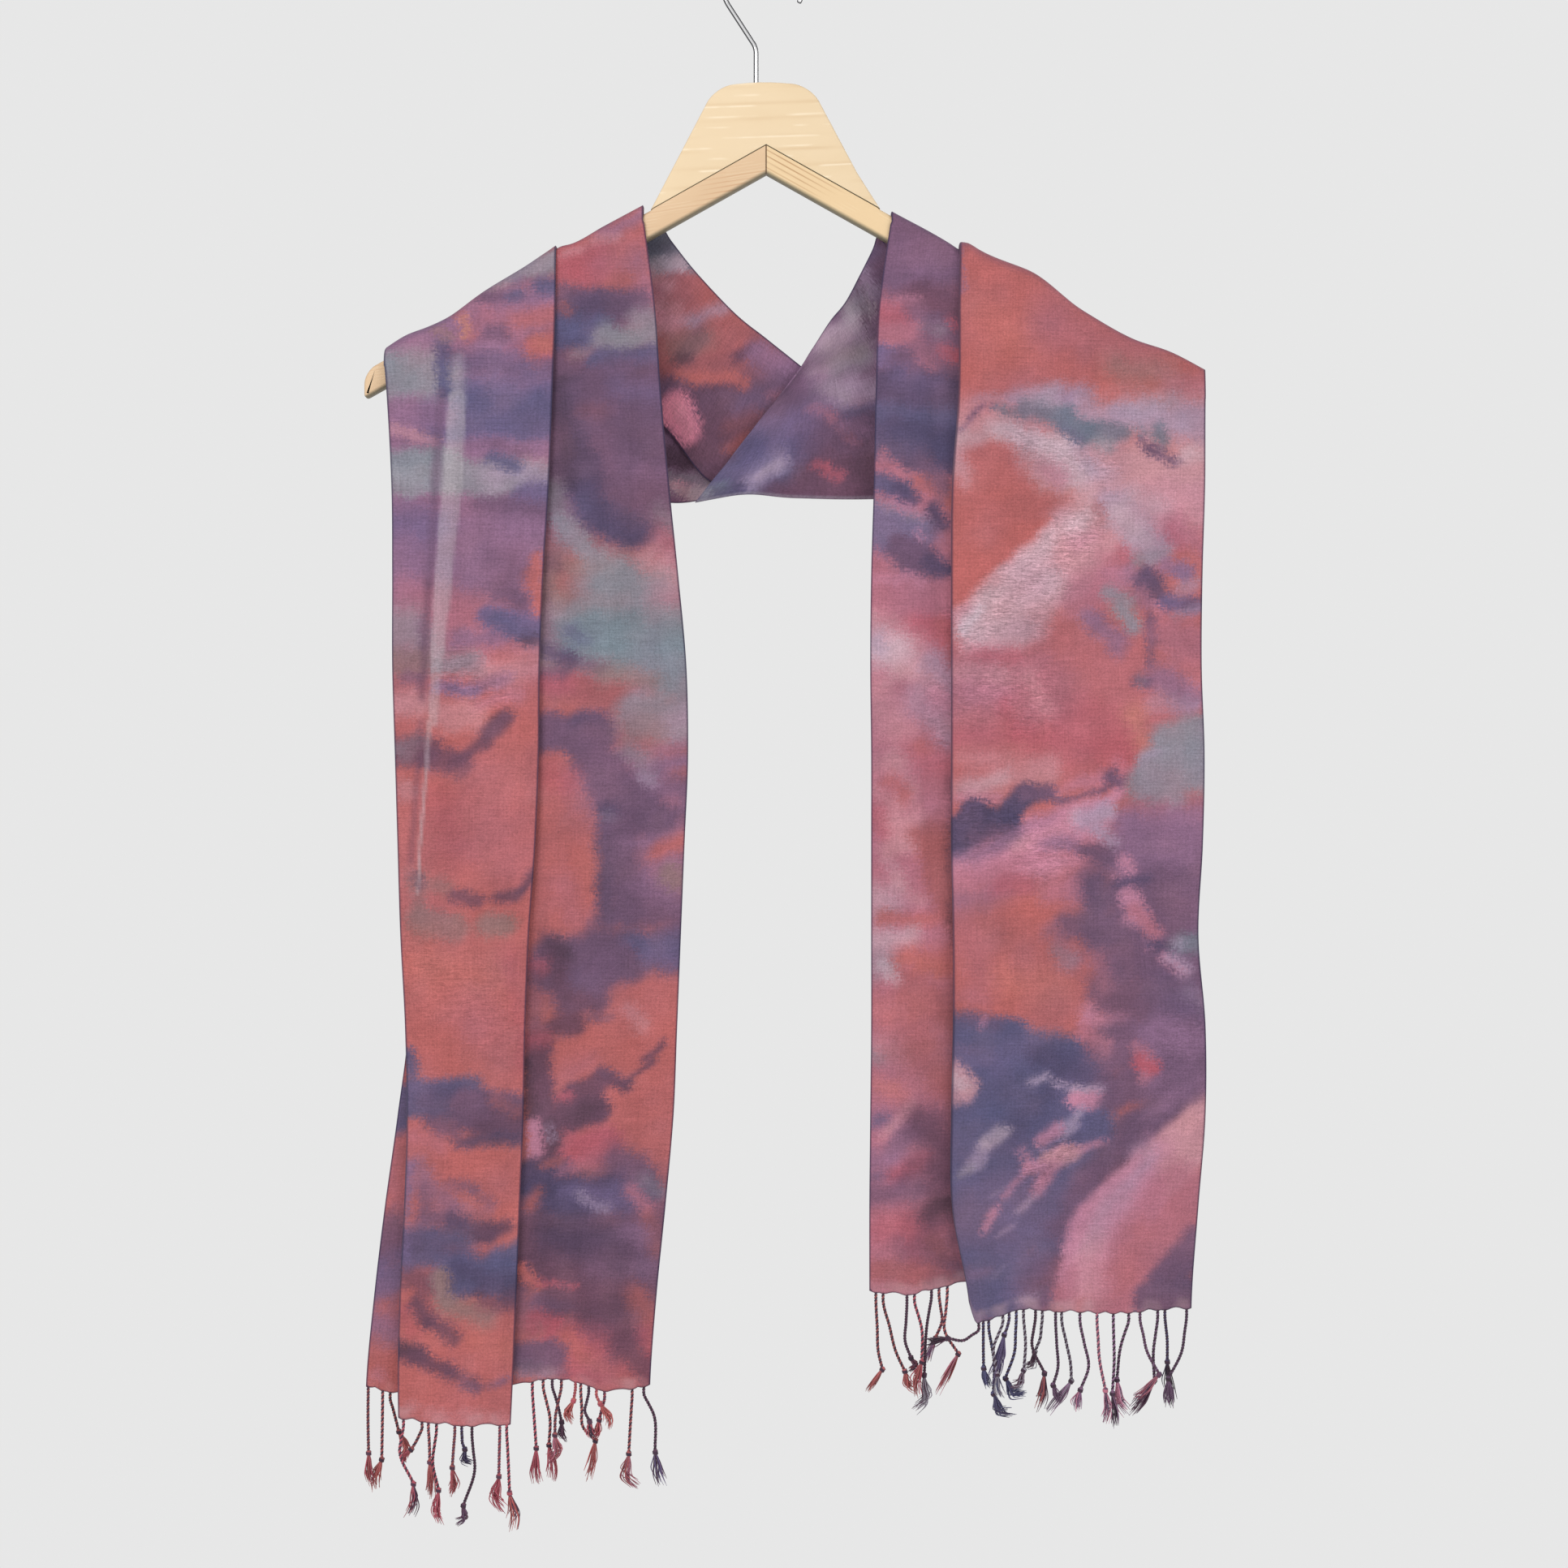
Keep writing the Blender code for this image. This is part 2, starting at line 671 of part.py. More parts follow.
def wooden_slab(name, outline, material, parent):
    """A flat wooden piece from its front outline, with softened edges."""
    half = WOOD_THICKNESS / 2
    count = len(outline)
    points = [(x, side * half, z) for side in (-1, 1) for x, z in outline]
    faces = [list(range(count)), list(range(2 * count - 1, count - 1, -1))]
    faces += [(i, (i + 1) % count, (i + 1) % count + count, i + count) for i in range(count)]
    slab = add_object(name, mesh_of(name, points, faces), material, parent)
    rounding = slab.modifiers.new("rounded_edges", "BEVEL")
    rounding.width = WOOD_EDGE_ROUNDING * MM
    rounding.segments = 3
    rounding.limit_method = "ANGLE"
    rounding.angle_limit = math.radians(50)
    slab.data.shade_smooth()
    slab.data.set_sharp_from_angle(angle=math.radians(35))
    return slab


def arm_outline(tip, side):
    """Front outline of one arm. Side is -1 for the left arm and +1 for the right one."""
    inner = MITRE_X + side * SEAM_GAP / 2
    corner = tip - side * ARM_TIP_ROUNDING
    outline = [(inner, arm_top(inner)), (corner, arm_top(corner))]
    fall = arm_top(tip) - ARM_TIP_ROUNDING - arm_top(corner)
    for degrees in (30, 60, 90):
        swing = math.radians(degrees)
        reach = side * ARM_TIP_ROUNDING * math.sin(swing)
        outline.append((corner + reach, arm_top(corner) + fall * (1 - math.cos(swing))))
    outline.append((tip, arm_top(tip) - ARM_DROP))
    outline.append((inner, arm_top(inner) - ARM_DROP))
    return outline


def plate_outline():
    """Front outline of the neck plate, which stands on both arms."""
    lift = SEAM_GAP * SLOPE_LENGTH
    left_foot, right_foot = PLATE_FEET
    outline = [(left_foot, arm_top(left_foot) + lift), (PLATE_SHOULDERS[0], PLATE_SHOULDER_Z)]
    for centre, start in zip(PLATE_TOP_CENTRES, (190, 90)):
        for degrees in range(start, start - 101, -20):
            swing = math.radians(degrees)
            outline.append((
                centre + PLATE_CORNER_RADIUS * math.cos(swing),
                PLATE_TOP_Z - PLATE_CORNER_RADIUS * (1 - math.sin(swing)),
            ))
    outline += [(PLATE_SHOULDERS[1], PLATE_SHOULDER_Z), (right_foot, arm_top(right_foot) + lift)]
    outline.append((MITRE_X, arm_top(MITRE_X) + lift))
    return outline


def drill_stem_hole(plate):
    """A blind hole in the plate's top for the end of the hook."""
    bpy.ops.mesh.primitive_cylinder_add(
        vertices=16,
        radius=(WIRE_RADIUS + SEAM_GAP) * MM,
        depth=2 * (STEM_DEPTH + 1) * MM,
        location=(STEM_X * MM, 0, PLATE_TOP_Z * MM),
    )
    drill = bpy.context.object
    drill.name = "stem_drill"
    drill.hide_render = True
    drill.display_type = "WIRE"
    hole = plate.modifiers.new("stem_hole", "BOOLEAN")
    hole.operation = "DIFFERENCE"
    hole.solver = "EXACT"
    hole.object = drill


def hook_route():
    """Centre line of the wire: the stem in its hole, the bend, then round over the crown."""
    route = [Vector((STEM_X, 0, PLATE_TOP_Z - STEM_DEPTH)), Vector((STEM_X, 0, PLATE_TOP_Z - 2))]
    route.append(Vector((STEM_X, 0, STEM_BEND_Z - 5)))
    start = math.radians(HOOK_START_DEGREES)
    tangent = Vector((HOOK_RADIUS * math.cos(start), 0,
                      HOOK_CENTRE_Z + HOOK_RADIUS * math.sin(start)))
    bend = Vector((STEM_X, 0, STEM_BEND_Z))
    for share in (0.25, 0.5, 0.75):
        low = route[2].lerp(bend, share)
        high = bend.lerp(bend.lerp(tangent, 0.2), share)
        route.append(low.lerp(high, share))
    route.append(bend.lerp(tangent, 0.2))
    for degrees in np.linspace(HOOK_START_DEGREES, HOOK_END_DEGREES, 26):
        swing = math.radians(degrees)
        route.append(Vector((HOOK_RADIUS * math.cos(swing), 0,
                             HOOK_CENTRE_Z + HOOK_RADIUS * math.sin(swing))))
    return route


def make_hook(material, parent):
    route = hook_route()
    curve = bpy.data.curves.new("hanger_hook", "CURVE")
    curve.dimensions = "3D"
    curve.bevel_depth = WIRE_RADIUS * MM
    curve.bevel_resolution = 2
    curve.use_fill_caps = True
    spline = curve.splines.new("POLY")
    spline.points.add(len(route) - 1)
    for point, place in zip(spline.points, route):
        point.co = (*(place * MM), 1.0)
    spline.points[-1].radius = 0.6
    hook = bpy.data.objects.new("hanger_hook", curve)
    bpy.context.scene.collection.objects.link(hook)
    hook.data.materials.append(material)
    hook.parent = parent


def make_hanger(parent):
    pale_wood = make_material("pale_wood", (0.62, 0.44, 0.30), 0.45)
    steel = make_material("plated_steel", (0.66, 0.66, 0.68), 0.25, 1.0)
    wooden_slab("hanger_arm_left", arm_outline(ARM_TIP_LEFT, -1), pale_wood, parent)
    wooden_slab("hanger_arm_right", arm_outline(ARM_TIP_RIGHT, 1), pale_wood, parent)
    plate = wooden_slab("hanger_neck_plate", plate_outline(), pale_wood, parent)
    drill_stem_hole(plate)
    make_hook(steel, parent)


def hem_of(columns):
    """Lower edge of a tail panel's face, from left to right."""
    return [column[-1] for column in columns]


def make_tails(coral, plum, thread, parent):
    back = hang_over_arm(back_section, BACK_HEM, LEFT_LOFT)
    flap = hang_over_arm(flap_section, FLAP_HEM, LEFT_LOFT)
    inner = hang_over_arm(inner_section, INNER_HEM, RIGHT_LOFT)
    front = hang_over_arm(front_section, FRONT_HEM, RIGHT_LOFT)
    cloth_panel("tail_left_back", back, plum, parent)
    cloth_panel("tail_left_flap", flap, coral, parent)
    cloth_panel("tail_right_inner", inner, plum, parent)
    cloth_panel("tail_right_front", front, coral, parent)
    fringe("fringe_left_back", hem_of(back), LEFT_BACK_STRANDS, thread, parent)
    fringe("fringe_left_flap", hem_of(flap[FLAP_FACE_FIRST:]), LEFT_FLAP_STRANDS, thread, parent)
    fringe("fringe_right_inner", hem_of(inner[:INNER_FACE_COLUMNS]), RIGHT_INNER_STRANDS, thread, parent)
    fringe("fringe_right_front", hem_of(front[FRONT_FACE_FIRST:]), RIGHT_FRONT_STRANDS, thread, parent)


def make_loop(plum, shadow, parent):
    cloth_panel("loop_right", loop_grid(LOOP_RIGHT, LOOP_RIGHT_FOLDS, 17, 14), plum, parent)
    cloth_panel("loop_left", loop_grid(LOOP_LEFT, LOOP_LEFT_FOLDS, 13, 14), plum, parent)
    cloth_panel("loop_under", loop_grid(LOOP_UNDER, LOOP_UNDER_FOLDS, 9, 12), shadow, parent)


def main():
    for old in list(bpy.data.objects):
        bpy.data.objects.remove(old, do_unlink=True)
    rail_point = bpy.data.objects.new("rail_point", None)
    bpy.context.scene.collection.objects.link(rail_point)
    coral = make_material("coral_dyed_cloth", (0.52, 0.15, 0.15), 0.85)
    plum = make_material("plum_dyed_cloth", (0.26, 0.11, 0.17), 0.85)
    shadow = make_material("slate_dyed_cloth", (0.20, 0.19, 0.26), 0.85)
    thread = make_material("fringe_thread", (0.36, 0.20, 0.25), 0.85)
    make_hanger(rail_point)
    make_loop(plum, shadow, rail_point)
    make_tails(coral, plum, thread, rail_point)


main()
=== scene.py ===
import math

import bmesh
import bpy
import numpy as np
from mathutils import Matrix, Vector


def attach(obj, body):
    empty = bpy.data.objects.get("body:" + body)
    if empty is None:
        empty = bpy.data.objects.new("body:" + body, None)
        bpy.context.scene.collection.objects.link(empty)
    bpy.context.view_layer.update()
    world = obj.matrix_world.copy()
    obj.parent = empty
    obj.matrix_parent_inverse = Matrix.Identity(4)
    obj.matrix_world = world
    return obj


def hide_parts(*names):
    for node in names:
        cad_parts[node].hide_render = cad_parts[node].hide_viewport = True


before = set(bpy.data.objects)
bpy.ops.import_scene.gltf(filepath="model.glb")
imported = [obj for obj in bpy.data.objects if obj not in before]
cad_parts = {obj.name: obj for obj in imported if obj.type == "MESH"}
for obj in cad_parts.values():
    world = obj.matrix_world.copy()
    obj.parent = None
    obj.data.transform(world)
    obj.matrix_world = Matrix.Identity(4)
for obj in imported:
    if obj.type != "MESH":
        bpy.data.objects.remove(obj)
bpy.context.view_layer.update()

# Sizes and tables are in millimetres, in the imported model's frame
MM = 0.001
PITCH = 1.6
CLOTH_THICKNESS = 0.9

# The scarf's shape, as in the solids
ARM_SLOPE = 0.562
SLOPE_LENGTH = math.hypot(1, ARM_SLOPE)
ARM_APEX_Z = -111.6
MITRE_X = 1.8
HALF_WOOD = 6.0
ARM_CORNER = 3.0
SEAM_GAP = 0.3
JOINT_HALF_WIDTH = 0.45
FIRST_LAYER = 0.9
LAYER_STEP = 1.8
LAP_BEHIND_ARM = 13.0
HANG_FORWARD = 1.6
LOOSEN_OVER = 70.0
ROLL_AT_ARM = 1.1
ROLL_LOOSE = 1.7
LAYERS_PART = 1.7
FLAP_RETURN = 11.0
PLEAT_DEPTH = 36.0
PLEAT_LOOSENS = 0.3
SETTLE_SHARE = 0.4
STRIP_DROP = 3.2
HEM_DROP = -0.6
SCALLOP = 1.7
SCALLOP_WIDTH = 3.6
ROLL_FLATTENS_OVER = 30.0
CREASES_START_OVER = 6.0
FOLD_OVERRUN = 0.12
FOLD_FADE = 0.3
PANEL_SHOWS_OVER = 10.0
LAYER_ENDS_OVER = 4.0
FLAP_BEHIND_LEFT = -211.0
FLAP_BEHIND_RIGHT = -113.0
PLEAT_BEHIND = 111.0
FIRST_STEP = 3.0
FRONT_LENGTH = 600.0
FEATHER = (1.3, 1.0)
CRINKLE_EVERYWHERE = 0.16

# The hook's wire, as in the solids
WIRE_RADIUS = 1.4
HOOK_RADIUS = 22.5
HOOK_CENTRE_Z = WIRE_RADIUS - HOOK_RADIUS
STEM_X = -3.8
STEM_LOW_Z = -94.5


def table(names, *rows):
    """A table with named columns, as one array for each name."""
    return {name: np.array(column, float) for name, column in zip(names, zip(*rows))}


# Left tail: x of the back panel's and the front flap's edges at each height
LEFT_TAIL = table(
    ("z", "back_left", "flap_left", "flap_right", "back_right"),
    (-150, -209, -212, -115, -66.5),
    (-200, -209, -212, -115, -60),
    (-250, -205, -208, -116.5, -56.5),
    (-300, -202, -205, -118.5, -52),
    (-350, -201.5, -204.5, -121.5, -47),
    (-400, -201.5, -204.5, -123.5, -42.5),
    (-450, -200, -203, -124, -41.5),
    (-500, -198.5, -201.5, -126, -43.5),
    (-550, -197, -200, -129.5, -45.5),
    (-600, -196.5, -197.5, -131.5, -47.5),
    (-650, -202.5, -196.5, -132.5, -49.5),
    (-700, -209.5, -198, -134.5, -54),
    (-750, -215.5, -200.5, -136.5, -59),
    (-800, -220, -201.5, -138.5, -62.5),
    (-830, -220.5, -201, -140, -63),
)

# Right tail: x of the inner panel's left edge, the pleat's fold and the right edge
RIGHT_TAIL = table(
    ("z", "inner_left", "fold", "right"),
    (-150, 71.5, 110, 248),
    (-200, 64.5, 109, 247),
    (-250, 62.5, 108.5, 245.5),
    (-300, 61.5, 105, 245),
    (-350, 60, 104.5, 243.5),
    (-400, 59.5, 104.5, 243),
    (-450, 60, 104.5, 244.5),
    (-500, 60, 104.5, 243.5),
    (-550, 60, 105.5, 241),
    (-600, 60, 105.5, 245),
    (-650, 59.5, 104.5, 245),
    (-700, 59, 105, 241),
    (-750, 59, 114, 237.5),
    (-770, 59, 116, 237),
)

# Hems: height of each lower edge across the panel
BACK_HEM = table(
    ("x", "z"),
    (-221, -799),
    (-205, -803),
    (-135, -799),
    (-124, -796),
    (-100, -798),
    (-88, -802),
    (-62, -799),
)
FLAP_HEM = table(("x", "z"), (-202, -816), (-180, -819), (-162, -821), (-140, -820))
INNER_HEM = table(("x", "z"), (59, -747), (83, -748.4), (95, -745.4), (101, -744), (145, -744))
FRONT_HEM = table(
    ("x", "z"),
    (112, -744),
    (116, -761),
    (122, -762),
    (141, -756),
    (164, -757.4),
    (203, -758.4),
    (217, -757),
    (237, -756),
)

# Loft of the cloth above the arms
LEFT_LOFT = table(
    ("x", "rise"),
    (-212, 0),
    (-200, 1.2),
    (-187, 0),
    (-176, 0.2),
    (-156, 3.6),
    (-130, 5),
    (-120, 6.1),
    (-112, 6.7),
    (-107, 5.1),
    (-88, 4.6),
    (-65, 4),
)
RIGHT_LOFT = table(
    ("x", "rise"),
    (70, 1.3),
    (104, 1.6),
    (109, 1.2),
    (114, 3),
    (120, 2.8),
    (154, 7),
    (180, 4.6),
    (205, 4.6),
    (227, 9.2),
    (248, 10),
)

# Soft upright folds: a line down the cloth, its half width and its height
FOLD_COLUMNS = ("x_top", "z_top", "x_bottom", "z_bottom", "width", "height")
LEFT_FOLDS = table(
    FOLD_COLUMNS,
    (-96, -190, -90, -560, 16, 3.2),
    (-68, -230, -64, -660, 10, -2.2),
    (-54, -300, -52, -740, 9, 2.4),
    (-112, -560, -104, -800, 14, -2.6),
    (-84, -600, -92, -800, 12, 2.8),
    (-150, -520, -160, -800, 18, 2.4),
    (-186, -240, -190, -560, 15, 2.6),
)
FLAP_FOLDS = table(
    FOLD_COLUMNS,
    (-171, -230, -182, -560, 8, 1.8),
    (-150, -300, -152, -620, 13, 1.4),
    (-174, -640, -178, -815, 10, 2.2),
    (-146, -660, -150, -820, 8, 1.2),
)
RIGHT_FOLDS = table(
    FOLD_COLUMNS,
    (84, -190, 78, -720, 12, 2.8),
    (128, -230, 124, -520, 14, 2.6),
    (166, -250, 178, -600, 20, 3.6),
    (222, -260, 218, -560, 15, -2.6),
    (150, -520, 148, -750, 16, 3),
    (206, -560, 196, -755, 16, 2.8),
    (236, -420, 232, -740, 9, 2.2),
)

# Finer creases, placed on what shows: the same columns
BACK_CREASES = table(
    FOLD_COLUMNS,
    (-103, -180, -112, -330, 4, 0.9),
    (-80, -175, -92, -400, 5, -0.9),
    (-72, -220, -78, -360, 3, 0.7),
    (-100, -330, -104, -520, 5, 0.8),
    (-62, -380, -58, -560, 4, -0.8),
    (-78, -430, -70, -700, 6, 0.9),
    (-108, -470, -116, -640, 4, -0.7),
    (-96, -590, -100, -760, 4, 0.8),
    (-66, -620, -74, -800, 4, -0.7),
    (-120, -640, -124, -800, 3, 0.8),
    (-110, -680, -84, -790, 5, 0.6),
)
FLAP_CREASES = table(
    FOLD_COLUMNS,
    (-176.5, -205, -181, -350, 1.6, -1.1),
    (-181, -350, -187, -480, 1.5, -1),
    (-187, -450, -193, -545, 1.3, 0.9),
    (-168, -215, -172, -340, 2.4, 0.8),
    (-190, -240, -196, -420, 4, 0.8),
    (-150, -200, -140, -380, 5, 0.9),
    (-132, -230, -128, -420, 4, -0.8),
    (-158, -430, -150, -620, 5, 0.7),
    (-175, -600, -176, -700, 2.6, 0.9),
    (-160, -640, -156, -800, 4, 0.7),
    (-190, -650, -188, -790, 4, -0.6),
    (-144, -700, -146, -815, 3, 0.6),
)
INNER_CREASES = table(
    FOLD_COLUMNS,
    (76, -175, 70, -330, 3.5, 0.8),
    (94, -190, 98, -420, 4, -0.9),
    (84, -360, 90, -560, 4, 0.8),
    (68, -420, 70, -640, 3, -0.6),
    (96, -540, 86, -735, 5, 0.8),
    (72, -640, 78, -745, 4, 0.7),
)
FRONT_CREASES = table(
    FOLD_COLUMNS,
    (118, -175, 120, -360, 4, 0.9),
    (142, -190, 136, -330, 6, -0.8),
    (190, -230, 200, -420, 7, 0.9),
    (232, -230, 238, -400, 4, 0.7),
    (136, -330, 150, -520, 6, 0.8),
    (212, -380, 204, -560, 6, -0.8),
    (176, -470, 184, -640, 5, 0.7),
    (118, -470, 116, -640, 4, 0.7),
    (226, -560, 222, -740, 4, 0.8),
    (134, -610, 140, -750, 4, -0.6),
    (166, -640, 160, -752, 5, 0.7),
    (186, -660, 190, -752, 4, -0.6),
)

# Loop behind the neck: each stretch from the arm to the crossing, as its upper and lower edge
LOOP_COLUMNS = ("upper_x", "upper_z", "lower_x", "lower_z", "depth")
LOOP_RIGHT = table(
    LOOP_COLUMNS,
    (68, -165, 240, -262, 8),
    (64, -160, 224, -271, 8.3),
    (61, -168, 206, -281, 8.6),
    (54, -182, 162, -296, 9.4),
    (46, -197, 112, -304, 9.8),
    (38, -207, 62, -307, 9.8),
    (30, -219.5, 18, -306.5, 9.5),
    (26, -226, -10, -304.5, 9.3),
    (22, -233, -38, -309, 9.2),
)
LOOP_LEFT = table(
    LOOP_COLUMNS,
    (-66, -166, -152, -215, 7.6),
    (-58.5, -153, -138, -222, 8.6),
    (-51, -163, -122, -228, 9.8),
    (-37, -180.5, -88, -244, 12.2),
    (-15.5, -203, -56, -266, 13.8),
    (2, -217, -31, -296, 14.3),
    (22, -233, -4, -303, 14.5),
    (38, -246, 16, -301, 14.9),
)
LOOP_UNDER = table(
    LOOP_COLUMNS,
    (-142, -210, -210, -248, 10.4),
    (-112, -219, -176, -267, 13.8),
    (-84, -232, -134, -287, 17),
    (-56, -250, -92, -301, 18.6),
    (-32, -272, -50, -308.5, 19.2),
    (-2, -284, -20, -303, 19.4),
)

# Folds that run along the loop: share of its width, height and half width as a share
LOOP_FOLD_COLUMNS = ("share", "height", "width")
LOOP_RIGHT_FOLDS = table(
    LOOP_FOLD_COLUMNS,
    (0.06, 1.8, 0.07),
    (0.26, -2.2, 0.10),
    (0.48, 2.6, 0.11),
    (0.72, -2.2, 0.10),
    (0.93, 2, 0.08),
)
LOOP_LEFT_FOLDS = table(
    LOOP_FOLD_COLUMNS,
    (0.08, 1.6, 0.08),
    (0.34, -1.6, 0.12),
    (0.62, 1.8, 0.12),
    (0.95, -1.8, 0.10),
)
LOOP_UNDER_FOLDS = table(LOOP_FOLD_COLUMNS, (0.30, 1.6, 0.16), (0.72, -1.6, 0.16))

# Fringe: root, then the middle, knot and tail end of each strand, from its root
STRAND_COLUMNS = ("root_x", "mid_x", "mid_drop", "knot_x", "knot_drop", "end_x", "end_drop")
LEFT_BACK_STRANDS = table(
    STRAND_COLUMNS,
    (-218.8, 0.2, 16, 0.5, 32, 1.8, 50),
    (-210.8, -0.2, 17, -0.5, 34, -4.5, 51),
    (-206.6, 2.2, 9, 4.5, 18, 8.9, 32),
    (-127.8, 1.2, 16, 2.3, 32, 2.7, 51),
    (-121.8, 3.6, 16, 3.2, 32, 5.9, 51),
    (-116.8, 3.2, 12, 5, 20, 6.8, 31),
    (-111.8, -3, 15, -3.4, 26, -4, 41),
    (-104, -0.5, 3, -1, 6, -4.6, 18),
    (-101, 0.9, 20, 8, 28, 3.6, 49),
    (-96.6, -2, 9, 0.6, 15, 2.7, 24),
    (-92.2, 1, 2, 2, 4, 8.6, 16),
    (-87.8, -1.6, 6, -3, 12, -5.4, 23),
    (-72.5, -0.9, 15, -1.8, 31, 0, 50),
    (-66, 5, 10, 6.3, 32, 9.5, 50),
)
LEFT_FLAP_STRANDS = table(
    STRAND_COLUMNS,
    (-198.6, -1.8, 12, 5.8, 31, 4, 49),
    (-188.4, -2.8, 6, -5.8, 11, -10.4, 18),
    (-184.8, 0.3, 9, 0.5, 18, 1.8, 37),
    (-180.4, -1.8, 15, 1.4, 32, 0.9, 50),
    (-170.4, -0.8, 10, -1.4, 19, -0.9, 34),
    (-166.6, 0, 5, 1.4, 9, 3.6, 18),
    (-161, 1.8, 18, -4.5, 39, -6.3, 50),
    (-145.6, -0.3, 12, -0.5, 24, -0.5, 43),
    (-141.8, 0.7, 17, 1.4, 34, 5.3, 53),
)
RIGHT_INNER_STRANDS = table(
    STRAND_COLUMNS,
    (62.6, 1.4, 29, 3.6, 38, -4, 50),
    (66.6, 7, 28, 12, 39, 15.6, 50),
    (79.8, -0.9, 22, 2.3, 31, 3.6, 38),
    (84, 3.6, 13, 4, 33, 0.5, 51),
    (93.4, -2.3, 14, -4, 43, -7, 63),
    (97.6, 1.8, 14, -1.8, 24, -6.3, 37),
    (102.2, -1.8, 19, 6, 33, -5, 54),
)
RIGHT_FRONT_STRANDS = table(
    STRAND_COLUMNS,
    (119.2, -8, 5, -17, 4, -29, 6),
    (121.8, 0, 11, 0.2, 22, 2.6, 32),
    (124.8, 3, 18, 2.7, 37, 12, 50),
    (132.6, -5, 12, -3.4, 28, -0.9, 41),
    (136, -1, 4, -2.6, 8, -9, 34),
    (140, -0.6, 18, -5.9, 34, 4, 44),
    (144, 0.9, 13, 0, 29, -5.4, 39),
    (150.6, -2, 14, 5, 31, 2.4, 50),
    (154.4, -0.9, 11, -4, 19, -8, 28),
    (161.8, 1, 27, -1.6, 36, 2.6, 46),
    (165.2, 5, 25, 5.4, 34, -7.2, 52),
    (175.5, 5, 26, 0.5, 39, -2.3, 50),
    (185, 0.9, 19, 4.4, 38, 4.6, 56),
    (194, 0.5, 20, -0.5, 40, 1.4, 58),
    (202.5, -4, 14, -6.3, 33, -1.4, 52),
    (208.8, 3.2, 16, 10.4, 30, -1.4, 43),
    (218.6, -2.3, 18, -1.8, 35, -15.3, 54),
    (222.6, 1.4, 11, 1.6, 25, 3.6, 48),
    (234.6, -2.7, 18, -10.4, 34, -10.4, 49),
)
STRAND_DEPTHS = (-2.8, 0.0, 2.8)

# Thread colours of each strand: its two plies, then its frayed end
LEFT_BACK_THREADS = (
    "wine rust red", "dark rust coral", "dark rust coral", "dark red red",
    "dark rust red", "dark wine plum", "wine rust rose", "red coral coral",
    "dark rust coral", "wine dark red", "red coral coral", "wine red coral",
    "dark rust rose", "dark wine violet",
)
LEFT_FLAP_THREADS = (
    "wine red wine", "dark rust red", "wine rust rust", "dark red red",
    "wine rust red", "dark navy navy", "dark wine plum", "wine red red",
    "red wine coral",
)
RIGHT_INNER_THREADS = (
    "dark rust coral", "dark rust coral", "dark wine rust", "dark red rust",
    "dark wine grey", "wine rust mauve", "dark rust rose",
)
RIGHT_FRONT_THREADS = (
    "dark wine dark", "dark slate slate", "dark slate navy", "dark grey slate",
    "dark violet violet", "dark slate slate", "dark grey wine", "dark wine rust",
    "dark grey wine", "dark plum plum", "dark grey mauve", "dark mauve pink",
    "rose plum pink", "dark mauve dark", "dark mauve pink", "wine plum rose",
    "dark plum wine", "dark navy dark", "dark plum plum",
)

# Dyes, as display colours from 0 to 255. Some patches lay them as painted shade and light.
DYE_COLOURS = {
    "coral": (178, 96, 94),
    "rust": (157, 86, 87),
    "red": (172, 84, 97),
    "orange": (189, 108, 98),
    "peach": (206, 138, 114),
    "pink": (190, 127, 150),
    "blush": (196, 141, 149),
    "rose": (172, 106, 122),
    "pale": (194, 173, 183),
    "lilac": (162, 143, 167),
    "mauve": (136, 101, 131),
    "plum": (102, 76, 101),
    "wine": (92, 62, 81),
    "dark": (66, 48, 63),
    "violet": (106, 92, 129),
    "navy": (72, 63, 92),
    "slate": (84, 82, 116),
    "teal": (118, 131, 141),
    "steel": (100, 108, 124),
    "grey": (138, 131, 142),
    "olive": (137, 109, 107),
    "candy": (226, 132, 156),
    "chalk": (186, 178, 182),
}

# Faint clouds over all the cloth: dye, size, seed and strength
CLOUDS = (
    ("mauve", 34, 41, 0.16),
    ("pink", 26, 43, 0.13),
    ("rust", 30, 45, 0.12),
    ("plum", 17, 47, 0.12),
    ("blush", 13, 49, 0.10),
)
